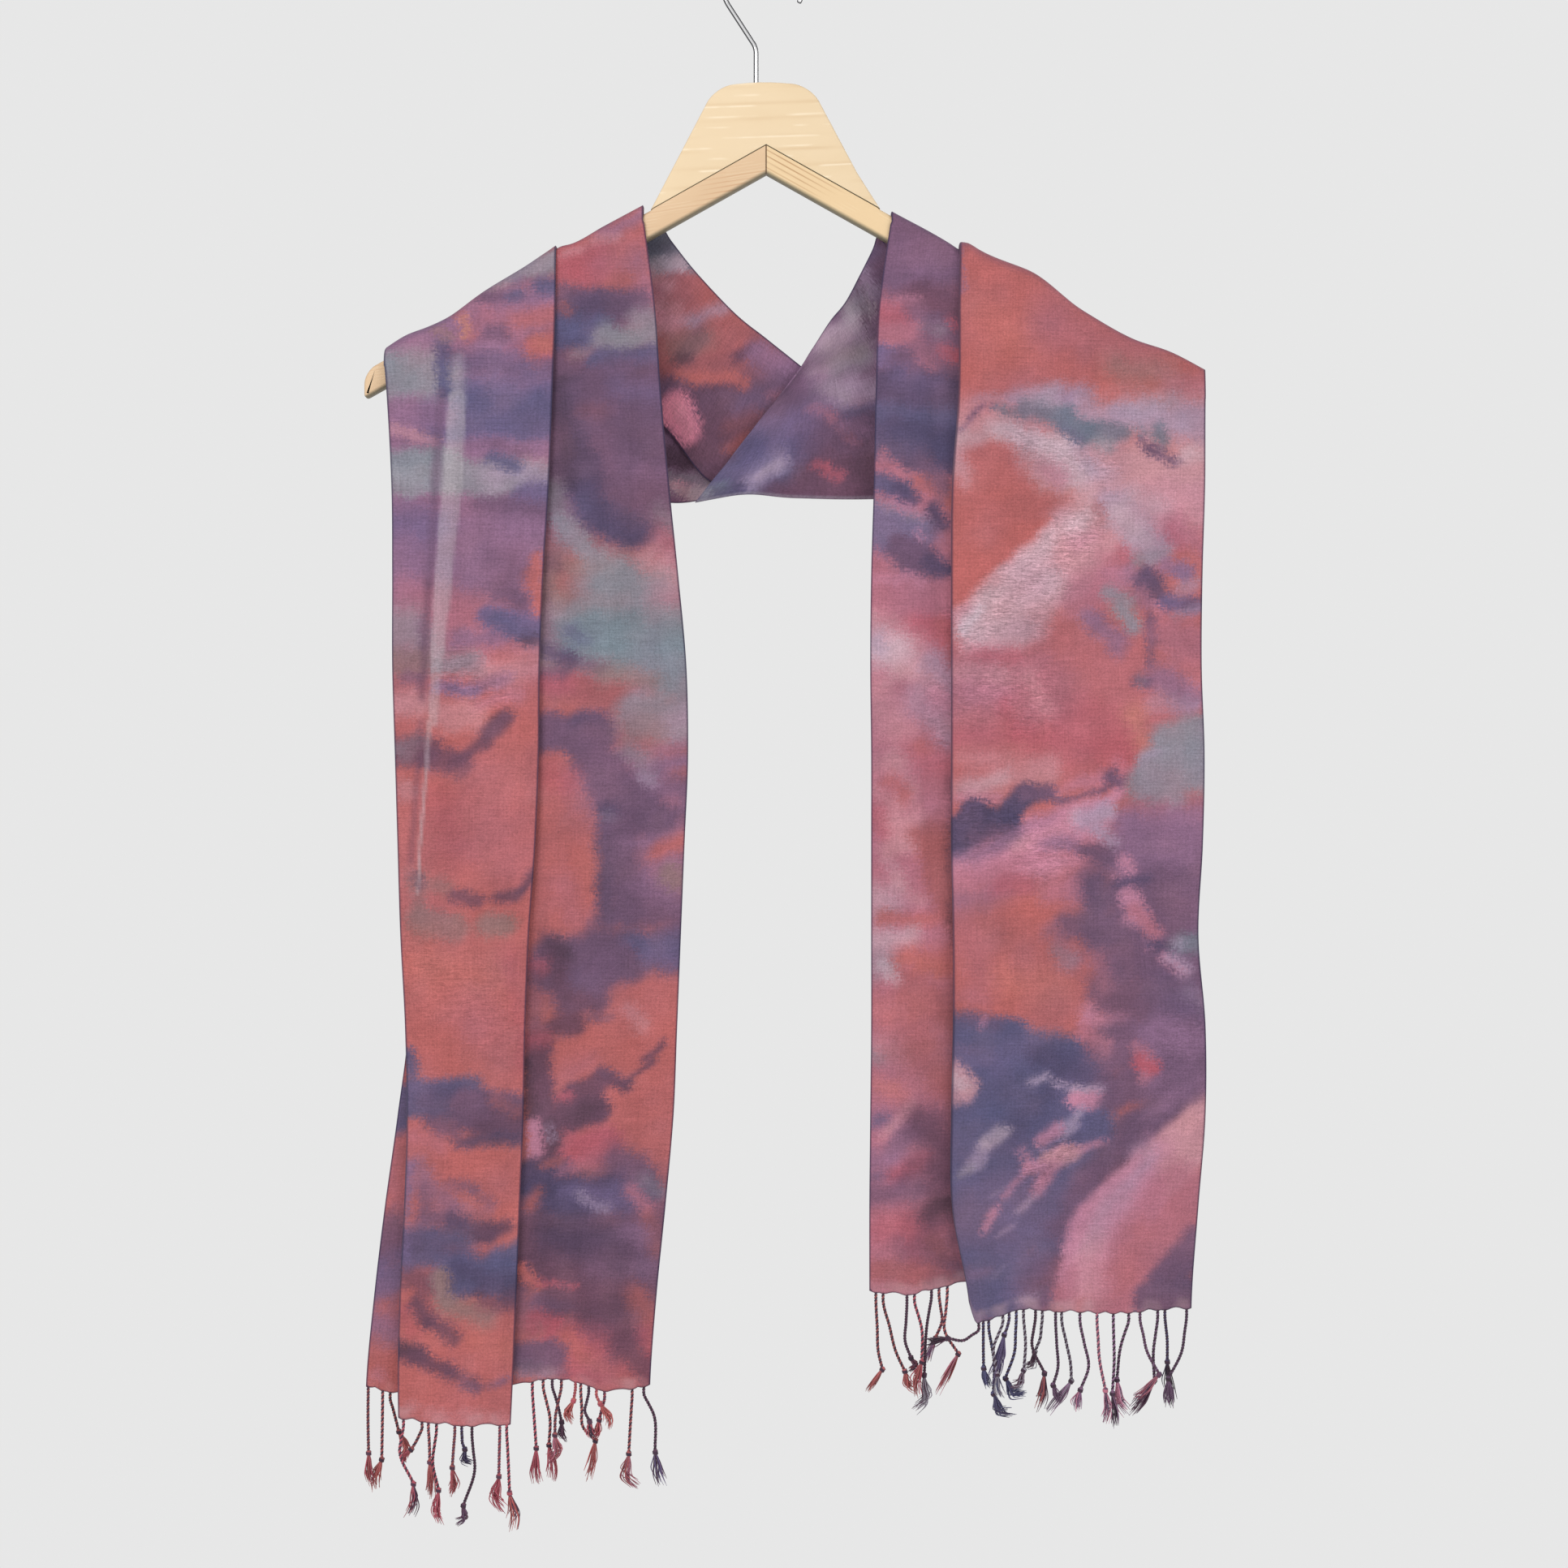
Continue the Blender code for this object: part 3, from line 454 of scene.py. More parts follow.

# Dye patches: dye, start and run of its middle line, half width, softness, percent
FLAP_DYES_AND_SHADE = (
    ("mauve", -225, -284, 117, 0, 94, 40, 90), ("rose", -225, -392, 117, 5, 22, 32, 70),
    ("mauve", -207, -334, 95, 2, 21, 12, 98), ("violet", -204, -320, 20, -5, 9, 13, 60),
    ("rose", -153, -464, 18, -40, 18, 27, 35), ("red", -180, -477, 9, -23, 9, 18, 35),
    ("olive", -192.5, -514, 3.5, -34, 3.5, 6.5, 55), ("olive", -191.2, -540, 22.9, -6.3, 6.8, 5.4, 80),
    ("olive", -152, -545.5, 9, 0, 6.3, 5.4, 85), ("orange", -189, -562, 36, -10, 14, 22, 45),
    ("rose", -162, -590, 18, -26, 12, 18, 35), ("red", -140, -562, 10, -64, 4, 11, 40),
    ("olive", -173, -755, 20, -6.5, 5.5, 7, 80), ("red", -198, -756, 4, -14, 3, 6, 50),
    ("wine", -191.7, -752.4, 9.9, -11.7, 4, 4.5, 80), ("wine", -181.8, -764.1, 13.5, -9, 3.6, 4.5, 75),
    ("orange", -158, -774, 18, -4, 7, 14, 40), ("wine", -201.6, -778.5, 10.4, -5.4, 5, 4.5, 90),
    ("dark", -201.5, -776.5, 5.5, -3, 3.5, 4.5, 50), ("wine", -191.2, -783.9, 18.4, -8.1, 4.5, 4.5, 80),
    ("wine", -172.8, -792.9, 13.5, -5.4, 3.1, 4, 75), ("plum", -165.6, -799.2, 5.4, -2.7, 2.7, 4, 70),
    ("plum", -151.2, -799.2, 8.1, 2.7, 2.7, 3.6, 60), ("mauve", -145, -795, 3, -1, 2.2, 3.6, 40),
    ("blush", -198, -810, 5.4, -1.8, 3.1, 2.7, 35), ("blush", -183.5, -813.5, 8, -3, 4, 2.7, 35),
    ("blush", -165.5, -815.5, 22.5, -2.5, 4.5, 2.7, 35), ("grey", -150.3, -184.5, 37.8, 9.9, 7.7, 6.3, 95),
    ("slate", -135, -188, 23, 2, 3, 5, 50), ("mauve", -198, -220, 86, 26, 8, 8, 95),
    ("rose", -166, -213, 54, 9, 8, 9, 60), ("coral", -135, -210, 23, 6, 5.5, 7, 65),
    ("mauve", -207, -217, 34, 7, 6, 7, 90), ("red", -137, -228, 25, 1, 4.5, 5.5, 70),
    ("coral", -128, -225, 15.5, 5.5, 6.8, 5.4, 95), ("orange", -124, -221, 9, -4, 3.5, 5.5, 60),
    ("coral", -168.5, -205, 6.5, -12, 3.5, 4.5, 60), ("peach", -166.5, -208.8, 1.8, -6.3, 2.7, 3.6, 90),
    ("rose", -155.5, -203.5, 5, -3.5, 4, 5.5, 70), ("plum", -151.2, -215.1, 9, -1.8, 4, 4.5, 85),
    ("rose", -139.1, -215.1, 2.8, -4.5, 2.2, 3.1, 80), ("plum", -154.8, -196.2, 19.8, 0.9, 3.1, 4.5, 75),
    ("slate", -139.5, -195.3, 6.3, 1.8, 2.7, 3.6, 80), ("slate", -123.3, -190.8, 11.7, 1.8, 3.6, 4.5, 95),
    ("mauve", -157.5, -224, 20, -3.5, 4, 6.5, 70), ("plum", -171, -230.5, 38, -4.5, 5.4, 6.3, 95),
    ("plum", -140, -241, 28, 1, 6, 6, 90), ("coral", -128, -235, 4, -2, 1.8, 4, 60),
    ("violet", -171, -259, 59, 0, 19, 8, 95), ("slate", -162, -260, 50, -3, 14, 11, 75),
    ("mauve", -135, -245, 23, 3, 4, 7, 40), ("grey", -211.5, -239.4, 28.8, 0, 15.3, 8.1, 97),
    ("teal", -208, -234, 10, -9, 7, 10, 60), ("slate", -178.2, -222.3, 2.7, -27, 3.6, 4, 95),
    ("navy", -178, -225, 7, -4.5, 3.5, 5.5, 60), ("olive", -181, -215, 6.5, -3, 3, 4.5, 70),
    ("mauve", -205, -258.5, 28.5, -3.5, 8.1, 7.2, 80), ("blush", -206.1, -268.2, 26.1, -8.1, 2.7, 4, 55),
    ("plum", -205.2, -274.5, 28.8, -8.1, 1.1, 2.7, 50), ("grey", -211.5, -293.4, 36.9, -0.9, 13.5, 4.5, 97),
    ("teal", -209, -291, 32, -3, 9, 10, 60), ("grey", -173, -296, 61, -2, 10, 6, 90),
    ("lilac", -148, -295, 36, -1, 6, 10, 60), ("mauve", -160, -280, 47.5, -1.5, 5, 5.5, 90),
    ("plum", -153, -278, 22.5, -6.5, 2.7, 5.4, 60), ("slate", -151.2, -287.1, 14.4, -4.5, 3.1, 4, 85),
    ("blush", -130.5, -287, 16, -1, 2, 5.5, 35), ("violet", -132.5, -307, 20, 2, 5.9, 6.3, 90),
    ("plum", -157.5, -311.5, 45, -2.5, 4, 6.5, 70), ("rose", -198, -357, 14, -3, 6, 11, 50),
    ("grey", -204, -382, 13, -1, 12.6, 10.8, 75), ("plum", -187.2, -373.5, -1.8, -40.5, 1.8, 4.5, 60),
    ("olive", -204.5, -399.5, 15.5, -1, 6.5, 6.5, 80), ("plum", -198, -408.6, 11.7, 0.9, 2.7, 4.5, 60),
    ("rose", -173, -374, 20, -3, 11.5, 11.5, 75), ("mauve", -158, -350, 24, -4, 9, 10, 90),
    ("plum", -147.5, -360, 12.5, -3.5, 6.8, 7.2, 85), ("coral", -126, -342, 2, -31, 3.6, 4.5, 98),
    ("coral", -130.5, -348.5, 2.5, -5, 3.1, 4.5, 80), ("violet", -151.2, -374.4, 25.2, -4.5, 6.3, 4.5, 97),
    ("slate", -146, -377, 27, -9, 5.4, 5.4, 80), ("dark", -130.5, -385.2, 11.7, -1.8, 3.1, 4.5, 60),
    ("mauve", -168.5, -387, 21, 2, 5, 6.3, 85), ("grey", -177.8, -400.5, 17.6, 1.8, 6.3, 7.2, 80),
    ("blush", -150, -403, 26, 6, 8.1, 9.9, 60), ("coral", -148, -394, 18, -3, 3.5, 7, 50),
    ("mauve", -177.8, -414, 17.6, 0, 4, 4.5, 90), ("violet", -171, -415, 11, 0, 2, 4, 50),
    ("mauve", -160, -412, 17, 5, 3.1, 5.4, 60), ("blush", -200, -422, 11, -2, 7.2, 7.2, 70),
    ("blush", -177.3, -429.3, 17.1, 0.9, 8.1, 8.1, 60), ("pink", -156, -421, 19, 4, 4, 7.2, 50),
    ("wine", -205.2, -446.4, 19.8, -1.8, 8.1, 5.4, 72), ("grey", -201.5, -446.5, 6, -3.5, 3.5, 6.5, 35),
    ("wine", -182.7, -452.7, 14.4, -1.8, 7.2, 5, 70), ("wine", -168.3, -452.7, 16.2, 9.9, 3.6, 4, 72),
    ("wine", -152.1, -438.3, 11.7, 9.9, 4, 3.6, 68), ("plum", -150.5, -436.5, 9, 7, 2.5, 3.5, 50),
    ("olive", -192.5, -519.5, 18, -3.5, 4, 6.5, 55), ("wine", -192.6, -514.8, 2.7, -8.1, 1.8, 3.6, 60),
    ("wine", -169.2, -526.5, 12.6, -4.5, 4, 3.6, 68), ("wine", -144.9, -529.2, 9.9, 3.6, 3.6, 3.1, 75),
    ("wine", -135, -524.7, 7.2, 9, 2.7, 2.7, 78), ("slate", -196.2, -614.7, 4.5, -15.3, 3.1, 4, 90),
    ("slate", -198, -640.8, 36, 1.8, 10.3, 4.5, 97), ("violet", -196, -634, 12, -5, 4, 9, 40),
    ("navy", -180, -644.5, 22.5, 0, 10, 8, 70), ("plum", -162, -646.2, 37.8, -6.3, 11.7, 4.5, 98),
    ("wine", -158, -654, 28, 2, 8, 9, 60), ("navy", -165.6, -663.3, 28.8, 0.9, 4.5, 4.5, 70),
    ("plum", -184.5, -654.3, 13.5, -5.4, 3.6, 5.4, 70), ("rust", -147.6, -640.8, 10.8, -6.3, 2.7, 4.5, 50),
    # The violet stroke after the rose one on the next line is painted shade along the flap's left fold.
    ("rose", -193, -662, 13, -5, 4.5, 7.2, 50), ("violet", -196.2, -677.7, 0, -28.8, 2.2, 3.6, 80),
    ("mauve", -191, -679.5, 18, -23.5, 6.5, 10, 65), ("plum", -189, -689.4, 2.7, -9.9, 2.7, 5.4, 50),
    ("plum", -172.8, -686.7, 12.6, -5.4, 2.7, 4, 65), ("plum", -161.1, -692.1, 10.8, -7.2, 2.2, 4, 55),
    ("mauve", -171, -702, 18, -3, 3.5, 6.5, 40), ("plum", -187.2, -706.5, 20.7, -2.7, 4, 4.5, 85),
    ("navy", -171, -710.1, 19.8, -5.4, 5, 5.4, 80), ("wine", -154.8, -714.6, 11.7, 1.8, 5, 4.5, 80),
    ("slate", -198, -721.8, 27, -0.9, 10.8, 6.3, 97), ("navy", -195.5, -720, 19, -4.5, 8, 9, 70),
    # The violet stroke that starts the next line is painted shade along the flap's left fold.
    ("violet", -197.1, -711, 0.9, -22.5, 1.8, 3.6, 70), ("plum", -170, -722, 17, -6, 3.5, 5.5, 70),
    ("slate", -172.8, -737.1, 40.5, -3.6, 11.2, 5.4, 97), ("slate", -148.5, -731.7, 16.2, 9, 5.4, 5.4, 95),
    ("navy", -171, -734, 31, -12, 6.3, 9, 70), ("wine", -195.8, -738.9, 15.8, -5.4, 6.8, 6.3, 65),
    ("olive", -180, -738, 5.5, -13.5, 4.5, 4.5, 90), ("wine", -153, -752.5, 20, 1, 5.4, 6.3, 60),
    ("violet", -165, -232, 35, -3, 6, 7, 55), ("plum", -149.5, -339.5, 11, -7, 5.5, 9, 50),
    ("blush", -200.7, -469.8, 8.1, -0.9, 4.5, 8.1, 60), ("grey", -200.7, -443.7, 9, 0.9, 3.6, 6.3, 40),
    ("chalk", -202, -296, 12, -1, 6, 9, 35), ("plum", -125, -327.5, 5.5, -8, 2.2, 5.4, 45),
)
BACK_DYES_AND_SHADE = (
    ("plum", -135, -266, 99, 0, 67.5, 40.5, 90), ("mauve", -81, -464, 45, -62, 22, 27, 80),
    ("grey", -126, -378, 90, -4, 32, 27, 80), ("plum", -135, -724, 85, 0, 40.5, 31.5, 80),
    ("mauve", -90, -160, 27, 12.5, 3.6, 5.4, 70), ("red", -108, -180, 14, 5, 11, 12, 70),
    ("rose", -86, -176, 23, 10, 8, 13, 50), ("mauve", -70, -176, 7, -11, 5, 10, 45),
    ("grey", -109.8, -324.9, 15.3, -17.1, 6.8, 8.1, 90), ("grey", -94.5, -342, 18, -4.5, 6.5, 10, 90),
    ("rose", -58, -328, 11, -14, 6, 11, 70), ("blush", -63, -342, 14, -10, 7.2, 11.7, 70),
    ("olive", -117, -356, 27, -2, 15, 14, 85), ("rust", -112, -354, 9, -5, 6, 11, 70),
    ("wine", -119, -342, 4, -4.5, 3.5, 7, 50), ("grey", -90, -358, 27, -4, 14.5, 15.5, 85),
    ("teal", -85, -352, 13, -4, 7, 11, 40), ("rose", -58, -361, 13, -3, 5, 12, 50),
    ("grey", -112, -377, 13, -1, 11, 11, 85), ("teal", -101, -383, 61, -3, 13.5, 11.5, 95),
    ("teal", -81, -397, 41, -3, 8, 12, 80), ("slate", -105.5, -380.5, 6.5, -6.5, 3.5, 7, 50),
    ("grey", -63, -374, 18, 0, 4, 9, 50), ("navy", -122.5, -391.5, 14.5, -5.5, 5, 7.2, 80),
    ("plum", -112.5, -398.5, 22.5, -3, 3, 6.5, 70), ("teal", -54, -410, 14, -4, 9, 12, 80),
    ("olive", -90, -404, 27, -5, 4.5, 9, 60), ("red", -122.5, -409.5, 23.5, -3.5, 7, 7, 85),
    ("rust", -99, -414, 25, -7, 6, 8, 90), ("rust", -126, -500, 4, -49, 4.5, 7, 60),
    ("rose", -128, -599, 6, -3, 4, 5, 70), ("navy", -122, -644, 4, -26, 4, 5, 85),
    ("pink", -128, -652.5, 1.5, -19, 3, 3.5, 85), ("slate", -225, -649.8, 27, 3.6, 13.5, 6.3, 95),
    ("rose", -212, -675, 14, -23, 7, 14, 50), ("plum", -220.5, -722, 27, 4, 15.5, 13.5, 90),
    ("violet", -220.5, -747, 27, 13.5, 10, 11, 80), ("mauve", -220.5, -765, 22.5, -4.5, 8, 11.5, 80),
    ("rose", -208, -761, 4, -4, 2.5, 5.5, 50), ("pink", -216, -792, 4.5, -2, 3.5, 4.5, 40),
    ("rose", -67, -189, 8, -7, 4.5, 6.5, 70), ("plum", -108, -201.6, 36, 0.9, 10.8, 5.4, 98),
    ("navy", -105, -203, 29, 2, 7.2, 9, 55), ("plum", -112.5, -189.9, 6.3, -1.8, 2.7, 3.6, 80),
    ("rust", -112.5, -198.9, 3.6, -5.4, 2.2, 3.6, 70), ("slate", -112.5, -215, 22.5, -2, 9, 6.5, 95),
    ("navy", -112.5, -220.5, 10, -2.5, 4.5, 8, 50), ("grey", -67.5, -208, 10, -2.5, 7.2, 7.2, 85),
    ("grey", -87.3, -219.6, 29.7, 1.8, 6.8, 5.4, 95), ("teal", -85, -216, 15, -4, 5.5, 7, 40),
    ("rust", -106, -227.5, 12.5, -1, 3.5, 5.5, 40), ("grey", -104.4, -227.7, 12.6, 0.9, 3.1, 5.4, 45),
    ("slate", -91.8, -232.2, 35.6, 2.7, 5.9, 5.4, 95), ("violet", -76, -233, 18, 1, 4, 7, 50),
    ("plum", -112, -255, 62, 3, 19, 11, 97), ("navy", -110, -248, 11, -36, 6, 11, 50),
    ("violet", -81, -245, 25, -4, 6, 11, 50), ("rust", -100, -258, 11, -2, 3, 9, 25),
    ("plum", -108, -288, 61, 2, 18, 12, 95), ("mauve", -72, -292, 21, -11, 7, 14, 50),
    ("navy", -105.5, -283.5, 16.5, -36, 10, 8, 75), ("plum", -81, -313, 25, 2.5, 13.5, 10, 90),
    ("slate", -98, -316, 22, -9, 9, 9, 60), ("navy", -90, -319.5, 19.8, -7.2, 9, 6.3, 80),
    ("grey", -114.3, -303.3, 2.7, -16.2, 5.4, 6.3, 85), ("grey", -111.5, -322, 10, -13.5, 5, 6.3, 90),
    ("teal", -113, -320, 2, -8, 2.5, 5.5, 50), ("grey", -57.5, -317, 8, -7, 4.5, 9, 60),
    ("red", -72, -417, 5, -1, 2.2, 4, 70), ("plum", -126, -438.3, 35.1, 1.8, 10.8, 5.9, 98),
    ("navy", -101, -432, 12, -4, 6, 6, 60), ("plum", -98, -444, 18, -31, 11.7, 5.9, 97),
    ("plum", -85.5, -463.5, 22.5, -18, 11.5, 8, 97), ("plum", -72, -475, 32, 0, 13.5, 11, 90),
    ("mauve", -58, -464, 18, -11, 6, 12, 50), ("violet", -54, -456.5, 13.5, 3, 4, 6.5, 60),
    ("rose", -52.2, -475.2, 4.5, -1.8, 3.1, 5.4, 50), ("lilac", -65.7, -462.6, 5.4, -0.9, 2.7, 4.5, 70),
    ("navy", -86.5, -481.5, 2, -58.5, 6.3, 6.3, 85), ("grey", -87.3, -483.3, 5.4, -2.7, 2.7, 4.5, 40),
    ("plum", -79, -495, 5, -40.5, 10.8, 9.9, 95), ("plum", -67.5, -490.5, 13.5, 4.5, 7, 8, 85),
    ("mauve", -77.5, -500.5, 14.5, 1, 3, 6.5, 60), ("coral", -59.5, -504, 19, 6.5, 5, 5.5, 85),
    ("plum", -65, -531, 25, -9, 12.5, 11, 90), ("mauve", -63, -520, 13, -8, 6.5, 11, 60),
    ("olive", -53, -517, 13, -5, 5, 6, 80), ("red", -117, -461, 9, -2, 7, 11, 50),
    ("rust", -125, -500, 3, -49, 4, 6, 60), ("rose", -112, -522, 11, -18, 7, 11, 45),
    ("plum", -90, -558, 50, -1, 13.5, 8, 97), ("slate", -72, -556, 27, -3, 8, 10, 75),
    ("violet", -63, -562, 18, -2, 5.5, 9, 50), ("plum", -114.3, -567, 29.7, -0.9, 16.2, 5.4, 98),
    ("wine", -117, -558, 9, -31.5, 7.2, 8.1, 80), ("dark", -115, -556, 7, -3, 4.5, 6.3, 50),
    ("plum", -108, -586, 14.5, 3, 9, 6.5, 90), ("wine", -106, -583, 14, -4, 6.5, 9, 50),
    ("violet", -103, -574, 8, -3, 5, 8, 40), ("coral", -78.3, -584.1, 37.8, -1.8, 6.3, 5.4, 85),
    ("blush", -73.8, -591.3, 6.3, -9.9, 2.7, 6.3, 55), ("plum", -100.8, -594.9, 18, -0.9, 1.6, 3.1, 70),
    ("wine", -115.2, -600.3, 11.7, 0.9, 5.4, 5, 90), ("wine", -125.1, -612, 4.5, -58.5, 7.7, 5, 95),
    # The dark stroke that starts the next line is painted shadow along the flap's right edge.
    ("dark", -130.5, -621, 1.8, -27, 3.6, 5.4, 60), ("rose", -108, -627, 10, 6, 5, 10, 40),
    ("wine", -108, -649.8, 15.3, 3.6, 9, 4.5, 97), ("dark", -108, -651, 13, 5, 4.5, 7, 40),
    ("wine", -104.4, -637.2, 13.5, 5.4, 5, 3.6, 88), ("wine", -88.2, -627.3, 12.6, -4.5, 4, 3.1, 92),
    ("plum", -87.5, -626.5, 6.5, -1, 2.2, 3.6, 50), ("wine", -75.6, -630.9, 15.3, 12.6, 1.5, 2.2, 80),
    ("wine", -64.8, -617.4, 9.9, 9, 2.2, 3.1, 80), ("red", -112.5, -639.9, 6.3, -0.9, 2.7, 3.1, 90),
    ("pink", -127.4, -654.3, 0.5, -16.2, 3.6, 2.7, 90), ("dark", -118.8, -657, 4.5, -16.2, 4.5, 4.5, 85),
    ("lilac", -119.7, -656.1, 0.9, -6.3, 1.4, 2.7, 70), ("red", -105.3, -668.7, 18.9, 2.7, 9.9, 5.9, 85),
    ("rose", -106, -678, 12, 3, 4.5, 7, 50), ("navy", -132.8, -686.7, 17.6, 3.6, 9.9, 5.4, 95),
    ("rust", -120.6, -677.7, 7.2, 1.8, 2.7, 4, 75), ("rust", -129.5, -702, 4.5, 10, 2.7, 3.6, 80),
    ("navy", -112.5, -695.5, 45, 6, 11.7, 6.3, 92), ("violet", -108, -694, 32, -1, 7.2, 9, 70),
    ("plum", -81, -673.2, 13.5, -6.3, 7.7, 8.1, 85), ("lilac", -99, -695.7, 10.8, -6.3, 2.7, 4, 70),
    ("rose", -72, -693, 7.2, -8.1, 4, 4.5, 80), ("grey", -64, -687.5, 6.5, -4.5, 5, 6.5, 50),
    ("wine", -128, -726.5, 49, -0.5, 19.8, 9, 97), ("navy", -108, -716, 36, -13, 15.5, 15.5, 50),
    ("plum", -90, -742, 16, -10, 11, 11, 70), ("wine", -112.5, -751.5, 31.5, -2.5, 11.5, 10, 90),
    ("rust", -65.5, -706.5, 8, -18, 3.5, 7, 60), ("mauve", -70, -733.5, 7, 0, 5.5, 10, 60),
    ("rust", -69.3, -748.8, 11.7, -20.7, 6.3, 9, 80), ("coral", -133.2, -736.2, 7.2, -7.2, 4, 3.1, 90),
    ("coral", -130.5, -749.7, 0.9, -4.5, 2.2, 3.1, 70), ("red", -124.2, -741.6, 18.9, -3.2, 1.6, 2.2, 90),
    ("plum", -128.2, -753.3, 20.2, -3.6, 4, 5.4, 70), ("red", -124.2, -758.7, 8.1, -5.4, 3.6, 3.6, 85),
    ("red", -116, -764, -5, -11, 3, 4, 80), ("red", -128.5, -760.5, 1.5, -9, 2.7, 3.6, 70),
    ("wine", -99, -765, 27, -9, 8, 8, 85), ("red", -105.5, -778.5, 38, -11, 13.5, 11, 60),
    ("coral", -108, -774, 20, -20, 5, 5, 80), ("wine", -76.5, -778.5, 16.2, -15.3, 8.1, 8.1, 75),
    ("red", -65, -769.5, 4.5, -9, 3.5, 6.5, 60), ("plum", -135, -783, 19.8, 0.9, 7.7, 4.5, 92),
    ("grey", -135, -790, 16, -2, 3, 5, 50), ("lilac", -135, -793.8, 10.8, 0, 2.2, 4, 50),
    ("coral", -99, -796, 23, -1, 3, 4, 50), ("grey", -69.5, -427.5, 22.5, -4.5, 12.5, 7, 92),
    ("olive", -76, -439, 18, 2, 8, 10, 40), ("teal", -74, -448, 11, -7, 5, 7, 55),
    ("lilac", -50, -432, 10, 4, 5.5, 10, 50), ("mauve", -54, -448, 14, 5, 4, 8, 60),
    ("mauve", -60, -456, 20, 2, 3.6, 5.4, 60), ("plum", -123.5, -404, 12, -2, 3.5, 5.5, 60),
    # The dark and navy strokes on the next line are painted shadow of the fold beside the flap.
    ("dark", -112.5, -243, 5.5, -54, 5.5, 8, 45), ("navy", -103, -274, 17, -46, 4, 8, 45),
    ("wine", -122.5, -346.5, 2, -36, 3.1, 7.2, 50), ("wine", -128, -572, 2, -36, 5.5, 8, 50),
    ("red", -108, -792, 19, -3, 4, 5, 60), ("plum", -135, -787.5, 22.5, -3.5, 5.5, 6.5, 55),
    ("lilac", -122.5, -793, 10, 1, 1.8, 3.5, 30), ("blush", -108, -171.9, 7.2, 1.8, 2.7, 4.5, 60),
    ("mauve", -74.7, -713.7, 7.2, -2.7, 5.4, 9, 70), ("red", -130.5, -567, 8, 1, 3.6, 6.3, 70),
    # The dark stroke after the plum one on the next line is painted shadow along the flap's right edge.
    ("plum", -121, -403, 9, -1, 2.5, 5.5, 40), ("dark", -115, -301.5, 3.5, -9, 2.7, 5.4, 35),
    ("blush", -94.5, -164.5, 11, 2.5, 3.1, 5.4, 50), ("wine", -121.5, -586, 5.5, -6, 2.7, 4.5, 40),
    ("red", -131.5, -609.5, 9, 2, 3.6, 6.3, 65), ("rose", -112.5, -682.2, 8.1, 1.8, 3.1, 5.4, 60),
)
